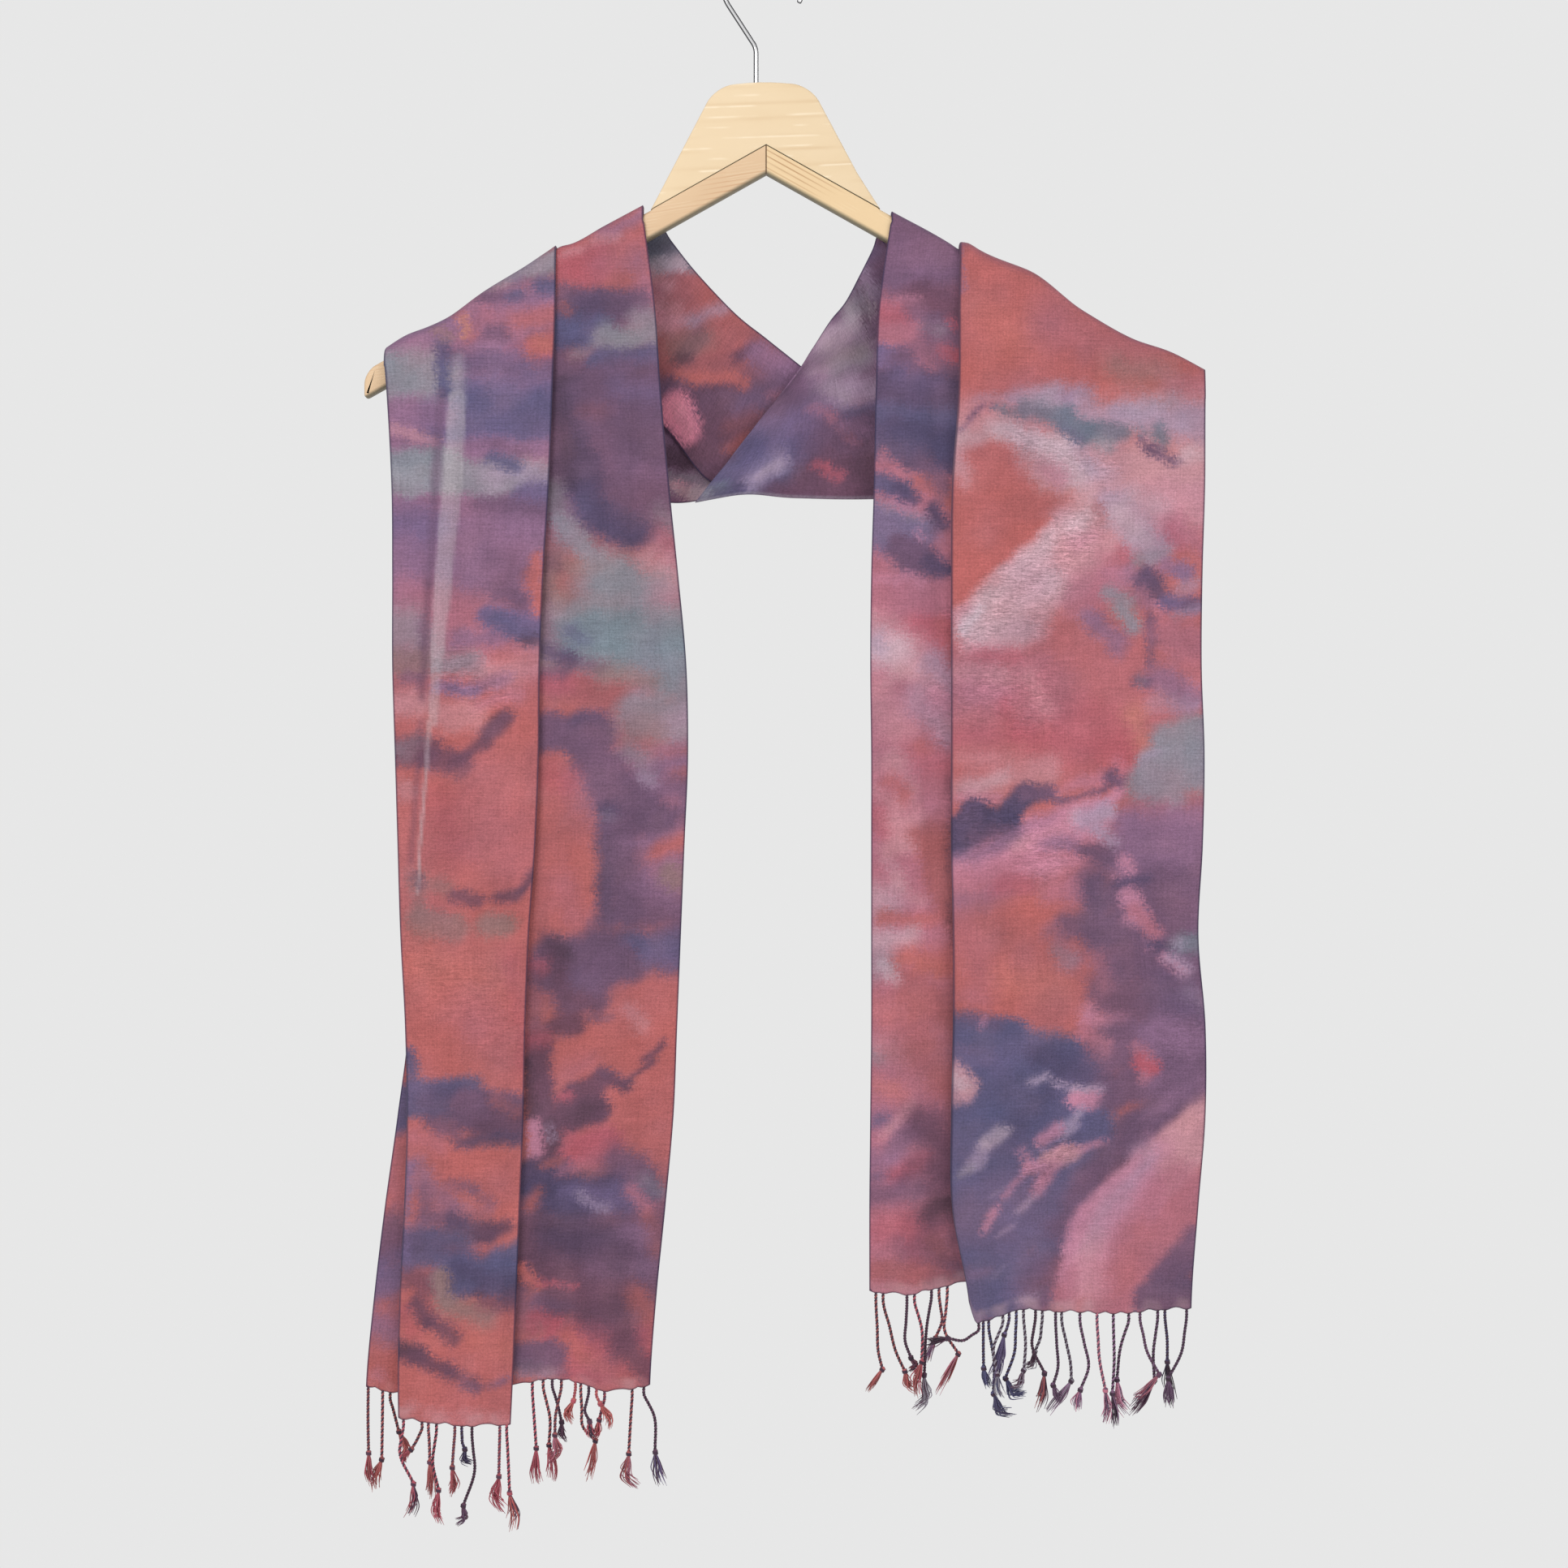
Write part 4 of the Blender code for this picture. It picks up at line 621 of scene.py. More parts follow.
INNER_DYES_AND_SHADE = (
    ("plum", 63, -166.5, 49.5, 0, 27, 13.5, 98), ("mauve", 72, -176, 36, 1, 11, 15, 50),
    ("red", 90, -374, 16, -11, 10, 11, 80), ("rust", 98, -378, 8, -14, 4, 8, 50),
    ("blush", 63, -378, 18, -14, 11, 15, 60), ("pale", 60.5, -391.5, 11.5, -3.5, 11, 12.5, 75),
    ("lilac", 62, -387, 3, -5, 3.5, 7, 50), ("blush", 76, -403, 12, -4, 6, 10, 60),
    ("lilac", 94.5, -397, 11.5, -17, 7, 9, 70), ("lilac", 88, -419.5, 15.5, -17, 9, 11.5, 60),
    ("blush", 94, -418, 12, -10, 7, 12, 40), ("blush", 62, -418, 14, -18, 11, 16, 55),
    ("red", 83, -448, 18, -9, 5, 11, 50), ("coral", 85.5, -444.5, 5.5, -2, 3, 6.5, 50),
    ("blush", 70, -450, 12, -19, 3, 5, 55), ("blush", 82, -469, 4, -18, 3.6, 5.4, 50),
    ("blush", 63, -469, 9, -8, 3.5, 6.5, 50), ("coral", 70, -463.5, 7.5, -9, 4, 5.5, 70),
    ("red", 60.5, -481.5, 8, -9, 5, 7, 60), ("blush", 74, -486, 9, -12, 6.8, 8.1, 75),
    ("pink", 91, -475, 7, -7, 3, 6, 50), ("rust", 91, -496, 17, -44, 9, 8.1, 95),
    # The long dark stroke after the rust one on the next line is painted shade on the inner panel beside
    # the pleat's fold.
    ("rust", 99, -486, 9, -76, 5.5, 10, 60), ("dark", 104.5, -463.5, 2.5, -261, 2.2, 5.4, 45),
    ("pale", 70, -507.5, 7.5, -12, 2.7, 5.4, 35), ("blush", 75.5, -518.5, 13.5, -12.5, 3, 5.5, 60),
    ("pale", 60, -528, 12, -3, 8, 11, 55), ("coral", 68.5, -539, 25, -3, 4, 5.5, 80),
    ("pale", 60.5, -553.5, 20.5, 2.5, 6.3, 9, 60), ("grey", 60, -567, 10, 2, 8, 10, 50),
    ("coral", 81, -561.5, 20, -5.5, 7.7, 9.9, 80), ("orange", 82, -563, 12, -6, 4, 9, 50),
    ("rust", 81, -580, 25, -18, 10.8, 13.5, 70), ("coral", 61, -590, 20, -7, 9, 14, 60),
    ("blush", 61, -612, 15, -3, 7, 12, 50), ("grey", 59.5, -614.5, 5.5, -4.5, 3.5, 6.5, 45),
    ("rust", 81, -612, 26, -22, 10, 14, 70), ("orange", 62, -633, 12, -3, 5, 9, 50),
    ("mauve", 63, -652, 18, -5, 6.3, 9, 60), ("blush", 82, -644.5, -14.5, -16, 2.7, 4.5, 60),
    ("slate", 61.2, -655.2, 5.4, 2.7, 2.2, 4, 60), ("plum", 72, -667, 13.5, 8, 5, 6.5, 75),
    ("wine", 90, -653.5, 18, -30.5, 10.8, 11.7, 85), ("mauve", 61, -674, 13, 2, 5.5, 8, 70),
    ("slate", 61.2, -683.1, 9, 1.8, 1.8, 4, 50), ("red", 74.7, -682.2, 13.5, 5.4, 4, 6.3, 80),
    ("plum", 60.5, -694, 25, 3, 6.8, 9, 70), ("wine", 94.5, -679.5, 13.5, -36, 5.5, 9, 60),
    ("dark", 95.4, -700.2, 12.6, -0.9, 5.4, 5.4, 80), ("wine", 90, -197.1, 20.2, -8.1, 9.9, 6.3, 85),
    ("plum", 90, -213, 17, -5, 8.1, 6.3, 90), ("pink", 76.5, -198, 9.9, 0.9, 2.2, 3.6, 60),
    ("rose", 65, -207, 17, -1, 8.5, 4, 97), ("red", 66, -204, 11, -4, 5.5, 7, 60),
    ("rose", 75.5, -217, 8, -3.5, 5.5, 4, 95), ("grey", 91, -212, 7, -3, 3.6, 5.4, 50),
    ("red", 103.5, -209.7, 2.7, -2.7, 2.2, 3.1, 85), ("violet", 62.1, -226.8, 15.3, -5.4, 6.3, 4, 95),
    ("plum", 77.4, -231.3, 30.6, -8.1, 6.3, 5.4, 95), ("red", 99.9, -226.8, 9, -1.8, 4.5, 4, 90),
    ("rose", 87.3, -228.6, 7.2, -7.2, 2.7, 3.6, 85), ("navy", 62.1, -249.3, 48.1, -7.2, 15.3, 5.4, 95),
    ("slate", 62, -270, 45, -4.5, 15.3, 5.4, 95), ("navy", 72, -274.5, 35.1, -7.2, 11.7, 7.2, 70),
    ("violet", 76.5, -239.5, 18, -6, 5.5, 10, 50), ("navy", 81, -288.9, 27, -1.8, 4.5, 3.6, 90),
    ("rose", 64.8, -281.7, 7.2, -8.1, 2.7, 3.6, 85), ("rose", 72, -290.5, 16, -6.5, 2.2, 3.6, 85),
    ("coral", 88, -301.5, 18, -4.5, 7.5, 5, 90), ("rose", 85, -306, 9, -7, 4.5, 5, 80),
    ("slate", 62.1, -297.9, 14.4, -4.5, 5.4, 4, 95), ("navy", 74.7, -301.5, 8.1, -7.2, 4, 3.6, 85),
    ("grey", 61, -319.5, 22, -9, 11.7, 5.4, 90), ("violet", 61, -322, 24.5, -11, 13.5, 8, 75),
    ("pink", 73.8, -307.8, 15.3, -11.7, 1.8, 3.1, 60), ("navy", 93.6, -315, 5.4, -8.1, 5, 4, 85),
    ("plum", 77.4, -336.6, 22.5, -9.9, 8.1, 4.5, 95), ("navy", 92.7, -342, 11.7, -7.2, 4, 4.5, 70),
    ("pink", 85.5, -326.7, 4.5, -5.4, 1.4, 2.7, 70), ("rose", 96.3, -334.8, 4.5, -3.6, 1.8, 2.7, 80),
    ("rose", 101.7, -328.5, 3.6, -13.5, 2.7, 3.6, 80), ("rose", 58.5, -360, 49.5, -2.7, 9.9, 5.4, 80),
    ("pink", 62, -352, 13.5, -1, 2.7, 4, 60), ("pink", 79.2, -349.2, 9, -5.4, 2.2, 3.6, 60),
    ("red", 68, -712, 26, 2, 9, 11, 60), ("wine", 74, -719, 5, -13, 3, 7, 40),
    ("red", 82, -720, 4, -14, 3, 5, 50), ("rust", 96, -720, 10, -12, 4.5, 5.5, 90),
    ("rust", 62, -737, 37, -2, 6.5, 8, 80), ("mauve", 106, -731.5, 6.5, -6.5, 2.5, 4, 70),
    ("wine", 90, -706, 18, -28, 6.3, 10.8, 50), ("dark", 91, -702, 16, -1, 4.5, 7, 60),
    ("rust", 86, -742, 20, 0, 3.5, 5.5, 70), ("wine", 94.5, -742.5, 13.5, 2, 3.5, 5.5, 40),
    ("pale", 64.8, -567, 7.2, -6.3, 4, 5.4, 60), ("plum", 89, -289, 10, -12.5, 5.9, 7.2, 80),
    ("plum", 89, -222.5, 9, -9, 5, 7.2, 55), ("wine", 83, -682, 16, -3, 4.5, 8, 50),
    ("wine", 85.5, -724.5, 20.5, -7, 6.5, 9, 45), ("pink", 94, -418, 12, -6, 5, 9, 60),
    ("plum", 84.6, -204.3, 8.1, -4.5, 4.5, 7.2, 80), ("wine", 83.5, -675, 9, -2.5, 2.5, 5.5, 40),
    ("blush", 69.5, -502, 8, 0.5, 4, 7, 70), ("blush", 64, -455.5, 10, 0, 5.5, 9, 60),
    ("pink", 98, -418, 8, -1, 4, 7, 50), ("wine", 94.5, -710, 11.5, 2.5, 3.5, 6.5, 50),
    ("rose", 58, -725, 12, -1, 4, 7, 60), ("wine", 87, -690, 8, -2, 3, 5, 40),
)
FRONT_DYES = (
    ("rose", 108, -418, 140, 0, 40, 40, 45), ("mauve", 220, -504, 28, -112, 32, 27, 80),
    ("rust", 162, -207, 86, -31, 16, 22, 70), ("rose", 158, -212, 49, -13, 12, 18, 40),
    ("olive", 196, -234, 29, -7, 7, 15, 55), ("orange", 117, -202, 23, -18, 12, 22, 35),
    ("rose", 225, -243, 23, -5, 5, 10, 50), ("mauve", 108, -166.5, 0.9, -27, 1.4, 2.7, 80),
    ("blush", 108, -266, 140, 4, 12, 11, 65), ("lilac", 118.8, -253.8, 16.2, 1.8, 3.1, 5.4, 50),
    ("lilac", 139.5, -253.8, 36, 3.6, 5.9, 8.1, 80), ("violet", 151, -254, 16, 2, 3, 8, 30),
    ("lilac", 198, -259, 47, -1, 6.8, 11.7, 70), ("grey", 207, -259, 18, 3, 4, 9, 40),
    ("pale", 108, -283.5, 135, -13.5, 15.5, 13.5, 55), ("lilac", 176, -263, 67, -3, 8.1, 9, 70),
    ("blush", 202, -297, 46, 0, 21, 18, 75), ("coral", 123.3, -281.7, 21.6, -37.8, 14.4, 8.1, 98),
    ("blush", 105.5, -274.5, 4.5, -27, 2.7, 5.4, 60), ("pale", 112.5, -275.5, 22.5, 6.5, 5.4, 7.2, 60),
    ("pale", 130.5, -271.8, 40.5, -8.1, 5.4, 6.3, 75), ("pale", 166.5, -286, 27, -22.5, 10, 10, 70),
    ("lilac", 178, -282, 11, -15, 5, 9, 50), ("steel", 144.9, -259.2, 22.5, -2.7, 5.9, 3.6, 90),
    ("steel", 164.7, -263.7, 13.5, -8.1, 6.3, 3.6, 92), ("steel", 182.7, -269.1, 15.3, -3.6, 5.4, 4, 80),
    ("teal", 185.4, -277.2, 6.3, -2.7, 2.7, 3.6, 60), ("slate", 164.5, -266.5, 11, -8, 2.2, 4, 40),
    ("plum", 108, -272.7, 8.1, 9, 0.8, 1.8, 70), ("plum", 116.1, -263.7, 6.3, 4.5, 1.1, 1.8, 75),
    ("plum", 122.4, -258.8, 8.1, 0.5, 1.3, 2.2, 70), ("steel", 129.6, -259.2, 15.3, -3.6, 2.2, 3.1, 80),
    ("pink", 170, -342, 28, 10, 12, 12, 60), ("pale", 176, -328, 16, 17, 7, 6, 85),
    ("rose", 176, -360, 18, 4, 10, 11, 70), ("grey", 198, -369.9, 7.2, -9, 4, 5.4, 70),
    ("red", 166, -432, 32, -16, 15, 22, 65), ("rose", 171, -467, 36, 4, 4, 8, 60),
    ("plum", 207, -504, 41, -4, 19, 8, 75), ("mauve", 202, -500, 46, 5, 18, 11, 70),
    ("plum", 220, -536, 28, -4, 27, 14, 80), ("plum", 183, -508, 3, -41, 8, 6.5, 90),
    ("plum", 175.5, -522, 31.5, -9, 8, 7, 85), ("navy", 180, -525, 9, -19, 5, 12, 40),
    ("plum", 171, -544.5, 36, -3.5, 8, 7, 85), ("navy", 197.1, -520.2, 14.4, 0.9, 2.7, 3.6, 60),
    ("rose", 162, -522, 9, -4.5, 7, 8, 60), ("plum", 194, -558, 54, -14, 14, 11, 85),
    ("plum", 193.5, -580.5, 54, -13.5, 15.5, 11, 85), ("violet", 225, -585, 18, -13, 10, 18, 40),
    ("mauve", 238.5, -526.5, 9, -27, 5.5, 11, 50), ("pink", 199.8, -506.7, 4.5, -6.3, 3.1, 3.1, 90),
    ("pink", 195.3, -515.7, 2.7, -1.8, 1.6, 2.7, 80), ("pink", 203.4, -528.3, 5.4, -10.8, 5, 3.6, 95),
    ("rose", 207, -537.3, 9, -9.9, 4.5, 3.6, 90), ("pink", 211.5, -551.7, 1.8, -6.3, 1.4, 2.7, 60),
    ("navy", 215, -553.5, 8, -4.5, 3.6, 4, 60), ("pink", 222.3, -562.5, 9.9, -7.2, 3.6, 4, 80),
    ("lilac", 230.4, -571.5, 4.5, -1.8, 1.8, 3.6, 50), ("teal", 229.5, -553.5, 16.2, -1.8, 5.4, 5.4, 70),
    ("lilac", 226.8, -551.7, 2.7, -3.6, 2.2, 4, 50), ("rose", 106, -540, 16, -32, 10, 15, 50),
    ("orange", 135, -572, 27, -8, 10, 15, 60), ("rust", 130, -544, 14, -14, 7, 16, 50),
    ("mauve", 162, -549, 9, -13, 6.5, 11, 45), ("grey", 164, -559, 7, -4, 3.6, 7.2, 40),
    ("rose", 184.5, -562.5, 5.5, -18, 4, 7, 50), ("pink", 180, -594, 14.5, -5.5, 6.3, 7.2, 80),
    ("rose", 108, -585, 14, -2, 4, 8, 50), ("slate", 106.2, -603, 33.3, -2.7, 9.9, 5.4, 97),
    ("slate", 139.5, -610.2, 31.5, -6.3, 10.8, 5.4, 97), ("slate", 112.5, -751.5, 22.5, 4.5, 18, 11, 95),
    ("slate", 106, -728, 42, -3, 8, 7, 90), ("violet", 135, -747, 23, -5, 5, 11, 60),
    ("plum", 108, -596, 22, -3, 3.5, 6.5, 50), ("pink", 122.4, -601.2, 0.5, 3.6, 1.6, 2.7, 70),
    ("pink", 123.3, -596.7, 2.7, 2.7, 1, 2.2, 50), ("rose", 180, -602, 10, -6, 5, 5.5, 85),
    ("plum", 229.5, -639, -22.5, -22.5, 11.5, 8, 90), ("plum", 162, -706.5, -9, -45, 10, 11, 80),
    ("lilac", 126, -740.7, 9.9, 9, 0.8, 1.8, 35), ("lilac", 117, -731.7, 11.7, 9, 0.7, 1.8, 35),
    ("mauve", 113.5, -737, 10.5, 2.5, 2.2, 5.4, 50), ("lilac", 142.2, -750.6, 8.1, 0.9, 2.7, 3.6, 55),
    ("rose", 171, -734, -4, -22, 5, 8, 80), ("blush", 115, -387, 30, 6.5, 6, 4.5, 85),
    ("blush", 118.4, -378.9, 53.5, 52.2, 14.8, 4, 93), ("pale", 120.5, -377, 49.5, 49.5, 12, 6.5, 60),
    ("blush", 165.5, -319.5, 20, 11.5, 8, 7, 65), ("pale", 172, -324, 13, 15, 6, 8, 50),
    ("blush", 137, -379, 34, 31, 13.5, 8, 75), ("pale", 135, -380, 22.5, 23.5, 11, 10, 50),
    ("pale", 109.8, -380.7, 7.2, 9, 3.6, 3.6, 80), ("blush", 171, -338, 21, 10, 10, 8, 85),
    ("rose", 172, -354, 13, 8, 4, 7, 50), ("pink", 173, -332, 11, 4, 4, 7, 40),
    ("blush", 198, -310, 27, -10, 15, 11, 70), ("pink", 216, -310, 32, -5, 11, 12, 60),
    ("lilac", 195.3, -312.3, 22.5, -21.6, 9.9, 7.2, 80), ("pale", 197, -316, 16.5, -14.5, 7, 9, 70),
    ("blush", 220, -309, 26, -9, 12, 11, 55), ("rose", 157.5, -292.5, 7, -4.5, 4.5, 7.2, 60),
    ("rust", 184.5, -311.5, 3.5, -8, 2.2, 4.5, 50), ("grey", 205, -342, 17.5, 4.5, 4, 5.5, 80),
    ("rose", 227.5, -324, 19, -13.5, 6.3, 7.2, 85), ("red", 224, -324, 6.5, -11, 2.5, 5.5, 60),
    ("rose", 187, -340, 11, -4, 4, 6, 70), ("red", 198, -335.7, 3.6, -5.4, 2.2, 4, 70),
    ("rose", 175.5, -364.5, 18, 7, 10, 10, 70), ("mauve", 202.5, -348.5, 5.5, -5, 4, 5.5, 60),
    ("grey", 191.7, -361.8, 11.7, -4.5, 4, 4.5, 85), ("grey", 197.1, -369.9, 7.2, -9, 4, 4.5, 85),
    ("mauve", 205, -354, 9, -14, 5, 6.5, 60), ("plum", 208.8, -353.7, 6.3, 4.5, 3.6, 3.6, 95),
    ("plum", 214.2, -351.9, 5.4, -10.8, 5, 3.6, 95), ("plum", 220, -364, 5, -4, 3, 3.5, 90),
    ("navy", 213.3, -347.4, 3.6, -6.3, 4, 5.4, 50), ("mauve", 224.1, -345.6, 9.9, -3.6, 5, 4.5, 90),
    ("violet", 230.5, -349, 3.5, -2, 2.7, 4, 70), ("violet", 223.2, -365.4, 13.5, -1.8, 4.5, 4, 90),
    ("plum", 234.9, -367.2, 10.8, 0.9, 4, 3.6, 85), ("pink", 216, -367.2, 7.2, -5.4, 1.6, 2.7, 70),
    ("mauve", 182.5, -378, 13, -10, 5.9, 6.3, 75), ("mauve", 179, -374, 5, -3, 3, 5.5, 50),
    ("violet", 191, -391.5, 5, -3.5, 2.2, 5.4, 40), ("plum", 216, -376.2, 0.5, -10.8, 3.8, 3.1, 90),
    ("plum", 216, -391.5, -2.7, -11.7, 2, 3.1, 80), ("plum", 207.9, -408.6, 5.4, -1.8, 3.6, 3.6, 85),
    ("grey", 208, -407, 2.5, -4.5, 2.2, 3.6, 40), ("rose", 225, -382.5, 22.5, -9, 11, 11, 75),
    ("mauve", 220.5, -407.5, 18, -12, 7.5, 9, 75), ("lilac", 220.5, -421, 18, -3, 4.5, 9, 50),
    ("peach", 206, -428, 6, -22, 5.5, 10, 45), ("rose", 112, -410, 46, -4, 16.2, 15.3, 75),
    ("blush", 106, -403, 24.5, -2, 6.3, 8.1, 60), ("pink", 112, -414, 18, -5, 5, 12, 50),
    ("blush", 146, -407.5, 11.5, -16.5, 4.5, 8, 50), ("red", 118.8, -393.3, 20.7, -0.9, 3.1, 6.3, 50),
    ("red", 133, -422, 7, -14, 4, 7, 55), ("red", 108, -440, 50, 0, 4, 8, 50),
    ("blush", 108, -452.5, 49.5, -2, 3.5, 8, 45), ("grey", 225, -442, 22.5, 3, 10, 5.5, 97),
    ("grey", 217.8, -459, 29.7, 0, 12.6, 5.9, 97), ("teal", 225, -450, 23, -4, 10, 11, 35),
    ("grey", 208.8, -467.1, 20.7, -4.5, 7.2, 7.2, 85), ("lilac", 209.5, -452, 8.5, 2, 3, 5.5, 50),
    ("blush", 106, -469, 51.5, 9, 6.3, 7.2, 60), ("pale", 110.5, -468, 22.5, 3.5, 4, 6.5, 40),
    ("pink", 107.1, -474.3, 21.6, 0, 3.6, 5.4, 60), ("rose", 104, -518, 72, 23, 18, 11.5, 80),
    ("pink", 108, -508, 68, 21, 12.5, 10, 70), ("navy", 104.4, -495, 12.6, 10.8, 9.9, 3.1, 97),
    ("navy", 117.9, -487.8, 18.9, 1.8, 7.2, 3.1, 97), ("navy", 106.2, -504, 4.5, 3.6, 3.6, 3.6, 90),
    ("plum", 115, -495, 20, 2.5, 4, 4, 80), ("navy", 136.8, -481.5, 10.8, 9.9, 6.8, 3.1, 97),
    ("plum", 146.7, -470.7, 9, 0.9, 5.4, 3.1, 92), ("plum", 155.7, -470.7, 7.2, -3.6, 2, 2.2, 88),
    ("plum", 162.9, -474.8, 9.9, -0.4, 1.2, 1.8, 88), ("plum", 172.8, -475.2, 17.1, 9, 1.2, 1.8, 88),
    ("plum", 190.8, -461.7, 8.1, -3.2, 3.1, 2.7, 88), ("plum", 192.5, -458, 2, -3.5, 1.4, 2.2, 70),
    ("mauve", 106.2, -506.7, 33.3, 9, 4, 5.4, 60), ("pink", 106, -513, 56, 3, 6, 7, 60),
    ("mauve", 128.5, -501.5, 29, 14.5, 4.5, 6.5, 60), ("blush", 139.5, -502, 27, 11.5, 4, 6.5, 50),
    ("pink", 155.5, -493, 29, 11.5, 9, 7, 70), ("mauve", 158.5, -501.5, 13.5, 4, 3.6, 5.4, 60),
    ("pale", 175.5, -484, 14.5, 4.5, 4, 6.5, 50), ("pink", 180, -481.5, 18, 11.7, 4, 4, 85),
    ("lilac", 180, -486.9, 11.7, 7.2, 5.4, 6.3, 70), ("lilac", 186.3, -491.4, 8.1, -7.2, 3.1, 4, 80),
    ("slate", 103.5, -630, 72, -4.5, 20, 8, 97), ("slate", 103.5, -670.5, 67.5, 9, 27, 10, 97),
    ("slate", 108, -706.5, 45, 9, 27, 11, 97), ("navy", 153, -616, 31, -14, 8, 10, 60),
    ("navy", 140, -657, 18, 18, 7, 13, 40), ("violet", 112, -616, 18, -5, 6, 13, 50),
    ("blush", 104.4, -625.5, 8.1, -6.3, 7.2, 3.6, 85), ("pale", 106, -628, 5.5, -6.5, 4, 5.5, 60),
    ("blush", 104.4, -639.9, 8.1, 0.9, 4.5, 3.6, 75), ("lilac", 147.6, -630, 8.1, 2.2, 1.8, 2.2, 80),
    ("lilac", 155.7, -627.8, 8.1, -4.4, 1.3, 2.2, 75), ("lilac", 163.8, -632.2, 8.1, -4.1, 1.5, 2.2, 80),
    ("pale", 171.9, -637.2, 16.2, 2.7, 2.2, 2.2, 75), ("pink", 171.9, -640.8, 9.9, -1.8, 4.5, 3.1, 85),
    ("lilac", 166.5, -660.6, 6.3, 6.3, 1.4, 2.2, 70), ("lilac", 114.3, -677.7, 9, 9.9, 3.6, 3.6, 65),
    ("pale", 123.3, -666, 10.8, 9, 3.6, 3.6, 55), ("grey", 108.9, -681.3, 4.5, 2.7, 2.2, 3.1, 50),
    ("pink", 153, -662.4, 10.8, 5.4, 3.1, 3.1, 75), ("pink", 162.9, -666.9, 25.2, 0.9, 2.2, 2.7, 80),
    ("blush", 157.5, -672.3, 14.4, 2.7, 4.5, 3.6, 75), ("pink", 146.7, -678.6, 15.3, 1.8, 4.5, 3.6, 75),
    ("rose", 153.9, -685.8, 6.3, 2.7, 3.6, 3.6, 60), ("pink", 150.3, -691.2, 5.4, 4.5, 3.6, 3.6, 70),
    ("pink", 142.2, -668.7, 3.6, -7.2, 2.2, 3.1, 60), ("pink", 135, -693, 9.9, 12.6, 1.6, 2.7, 60),
    ("lilac", 142.2, -702.9, 6.3, 8.1, 2.2, 3.1, 70), ("pink", 123.3, -711.9, 6.3, 10.8, 2.2, 2.7, 75),
    ("lilac", 131.4, -715.5, 8.1, 5.4, 0.8, 1.8, 50), ("lilac", 125.1, -694.8, 9.9, 7.2, 0.7, 1.8, 35),
    ("plum", 248, -612, -52, 0, 15.3, 8.1, 95), ("plum", 247.5, -625.5, -51.5, -9, 12.5, 8, 92),
    ("mauve", 248, -630, -28, -4, 9, 13, 60), ("rose", 206.1, -612, 6.3, -4.5, 3.6, 3.1, 90),
    ("red", 208.8, -620.1, 7.2, -2.7, 5, 3.6, 90), ("rose", 209.7, -627.3, 2.7, -1.8, 3.1, 3.6, 70),
    ("plum", 229.5, -639, -22.5, -22.5, 11, 7, 90), ("plum", 207, -662, -23, -22, 9.9, 8.1, 90),
    ("plum", 184, -684, -19, -27, 9, 9, 85), ("blush", 245.2, -654.3, -38.2, -38.7, 14.4, 5.4, 97),
    ("pink", 207, -693, -27, -40.5, 17.1, 5.4, 97), ("rose", 230, -693, -36, -59, 19, 11, 80),
    ("pink", 218, -670, -40, -50, 7, 11.5, 75), ("lilac", 212, -672, -36, -48, 5.5, 11, 45),
    ("blush", 180, -724, -2, -28, 9, 13, 50), ("coral", 207, -716, -11, -18, 6, 14, 40),
    ("rose", 171, -738, -4, -18, 4.5, 7, 70), ("plum", 240.3, -720.9, -17.1, -17.1, 9, 5, 92),
    ("plum", 243, -747, -29.5, -4.5, 10, 5, 95), ("navy", 225, -747, 13, 5, 8, 14, 35),
    ("steel", 207, -268.2, 1.8, -4.5, 1.8, 2.7, 70), ("steel", 219.6, -268.2, 1.8, -7.2, 4, 3.6, 75),
    ("plum", 207.9, -276.3, 6.3, -4.5, 2.2, 3.1, 80), ("plum", 213.3, -281.7, 14.4, -4.5, 3.1, 3.6, 85),
    ("lilac", 232, -271, 15, -3, 5.5, 8, 60), ("plum", 179.1, -502.2, 11.7, -3.6, 5.4, 4.5, 85),
    ("mauve", 164, -499.5, 9.5, -2.5, 2.2, 3.6, 70), ("mauve", 106, -530, 29, 2, 4.5, 9, 40),
    ("pink", 157.5, -511, 13.5, 1.5, 4, 5.5, 50), ("rose", 157, -526, 10, 1, 6.5, 7, 60),
    ("mauve", 216, -604, 32, -5, 9, 10.8, 80), ("rose", 176.5, -602, 11.5, -10, 4, 5.5, 70),
    ("pink", 173.7, -640.4, 10.8, 3.2, 4, 4, 75), ("lilac", 173.7, -635.4, 13.5, 2.3, 2.2, 3.1, 70),
    ("lilac", 168.3, -654.3, 6.3, 7.2, 2.2, 3.6, 70), ("blush", 160.2, -673.2, 9, 3.6, 5.4, 4.5, 50),
    ("pink", 176.4, -705.6, -6.3, -14.4, 5, 5.4, 80), ("pink", 208.8, -672.3, -38.7, -37.8, 2.7, 4, 65),
    ("lilac", 225, -562.5, 9.9, -5.4, 3.6, 4.5, 65), ("lilac", 174.5, -646, -3.5, -10, 1.8, 2.7, 50),
    ("rose", 108, -518, 27, 2, 4, 7, 60), ("pink", 162, -469.8, 22.5, 7.2, 3.1, 5.4, 50),
    ("mauve", 225, -643.5, 9, 6.5, 5.4, 8.1, 80), ("mauve", 216, -649, 9, 4, 3.5, 6.5, 60),
    ("lilac", 235, -581.5, 8, -4.5, 3.6, 7.2, 45), ("pink", 201.6, -541.8, 5.4, -2.7, 3.1, 4.5, 60),
    ("lilac", 229.5, -371.7, 13.5, 3.6, 2.2, 4.5, 50), ("pink", 193.5, -454.5, 4.5, -4.5, 2.7, 5.4, 50),
    ("pale", 148.5, -253, 10, 1, 4.5, 8, 50), ("pale", 207, -307, 11, -5, 5.5, 9, 40),
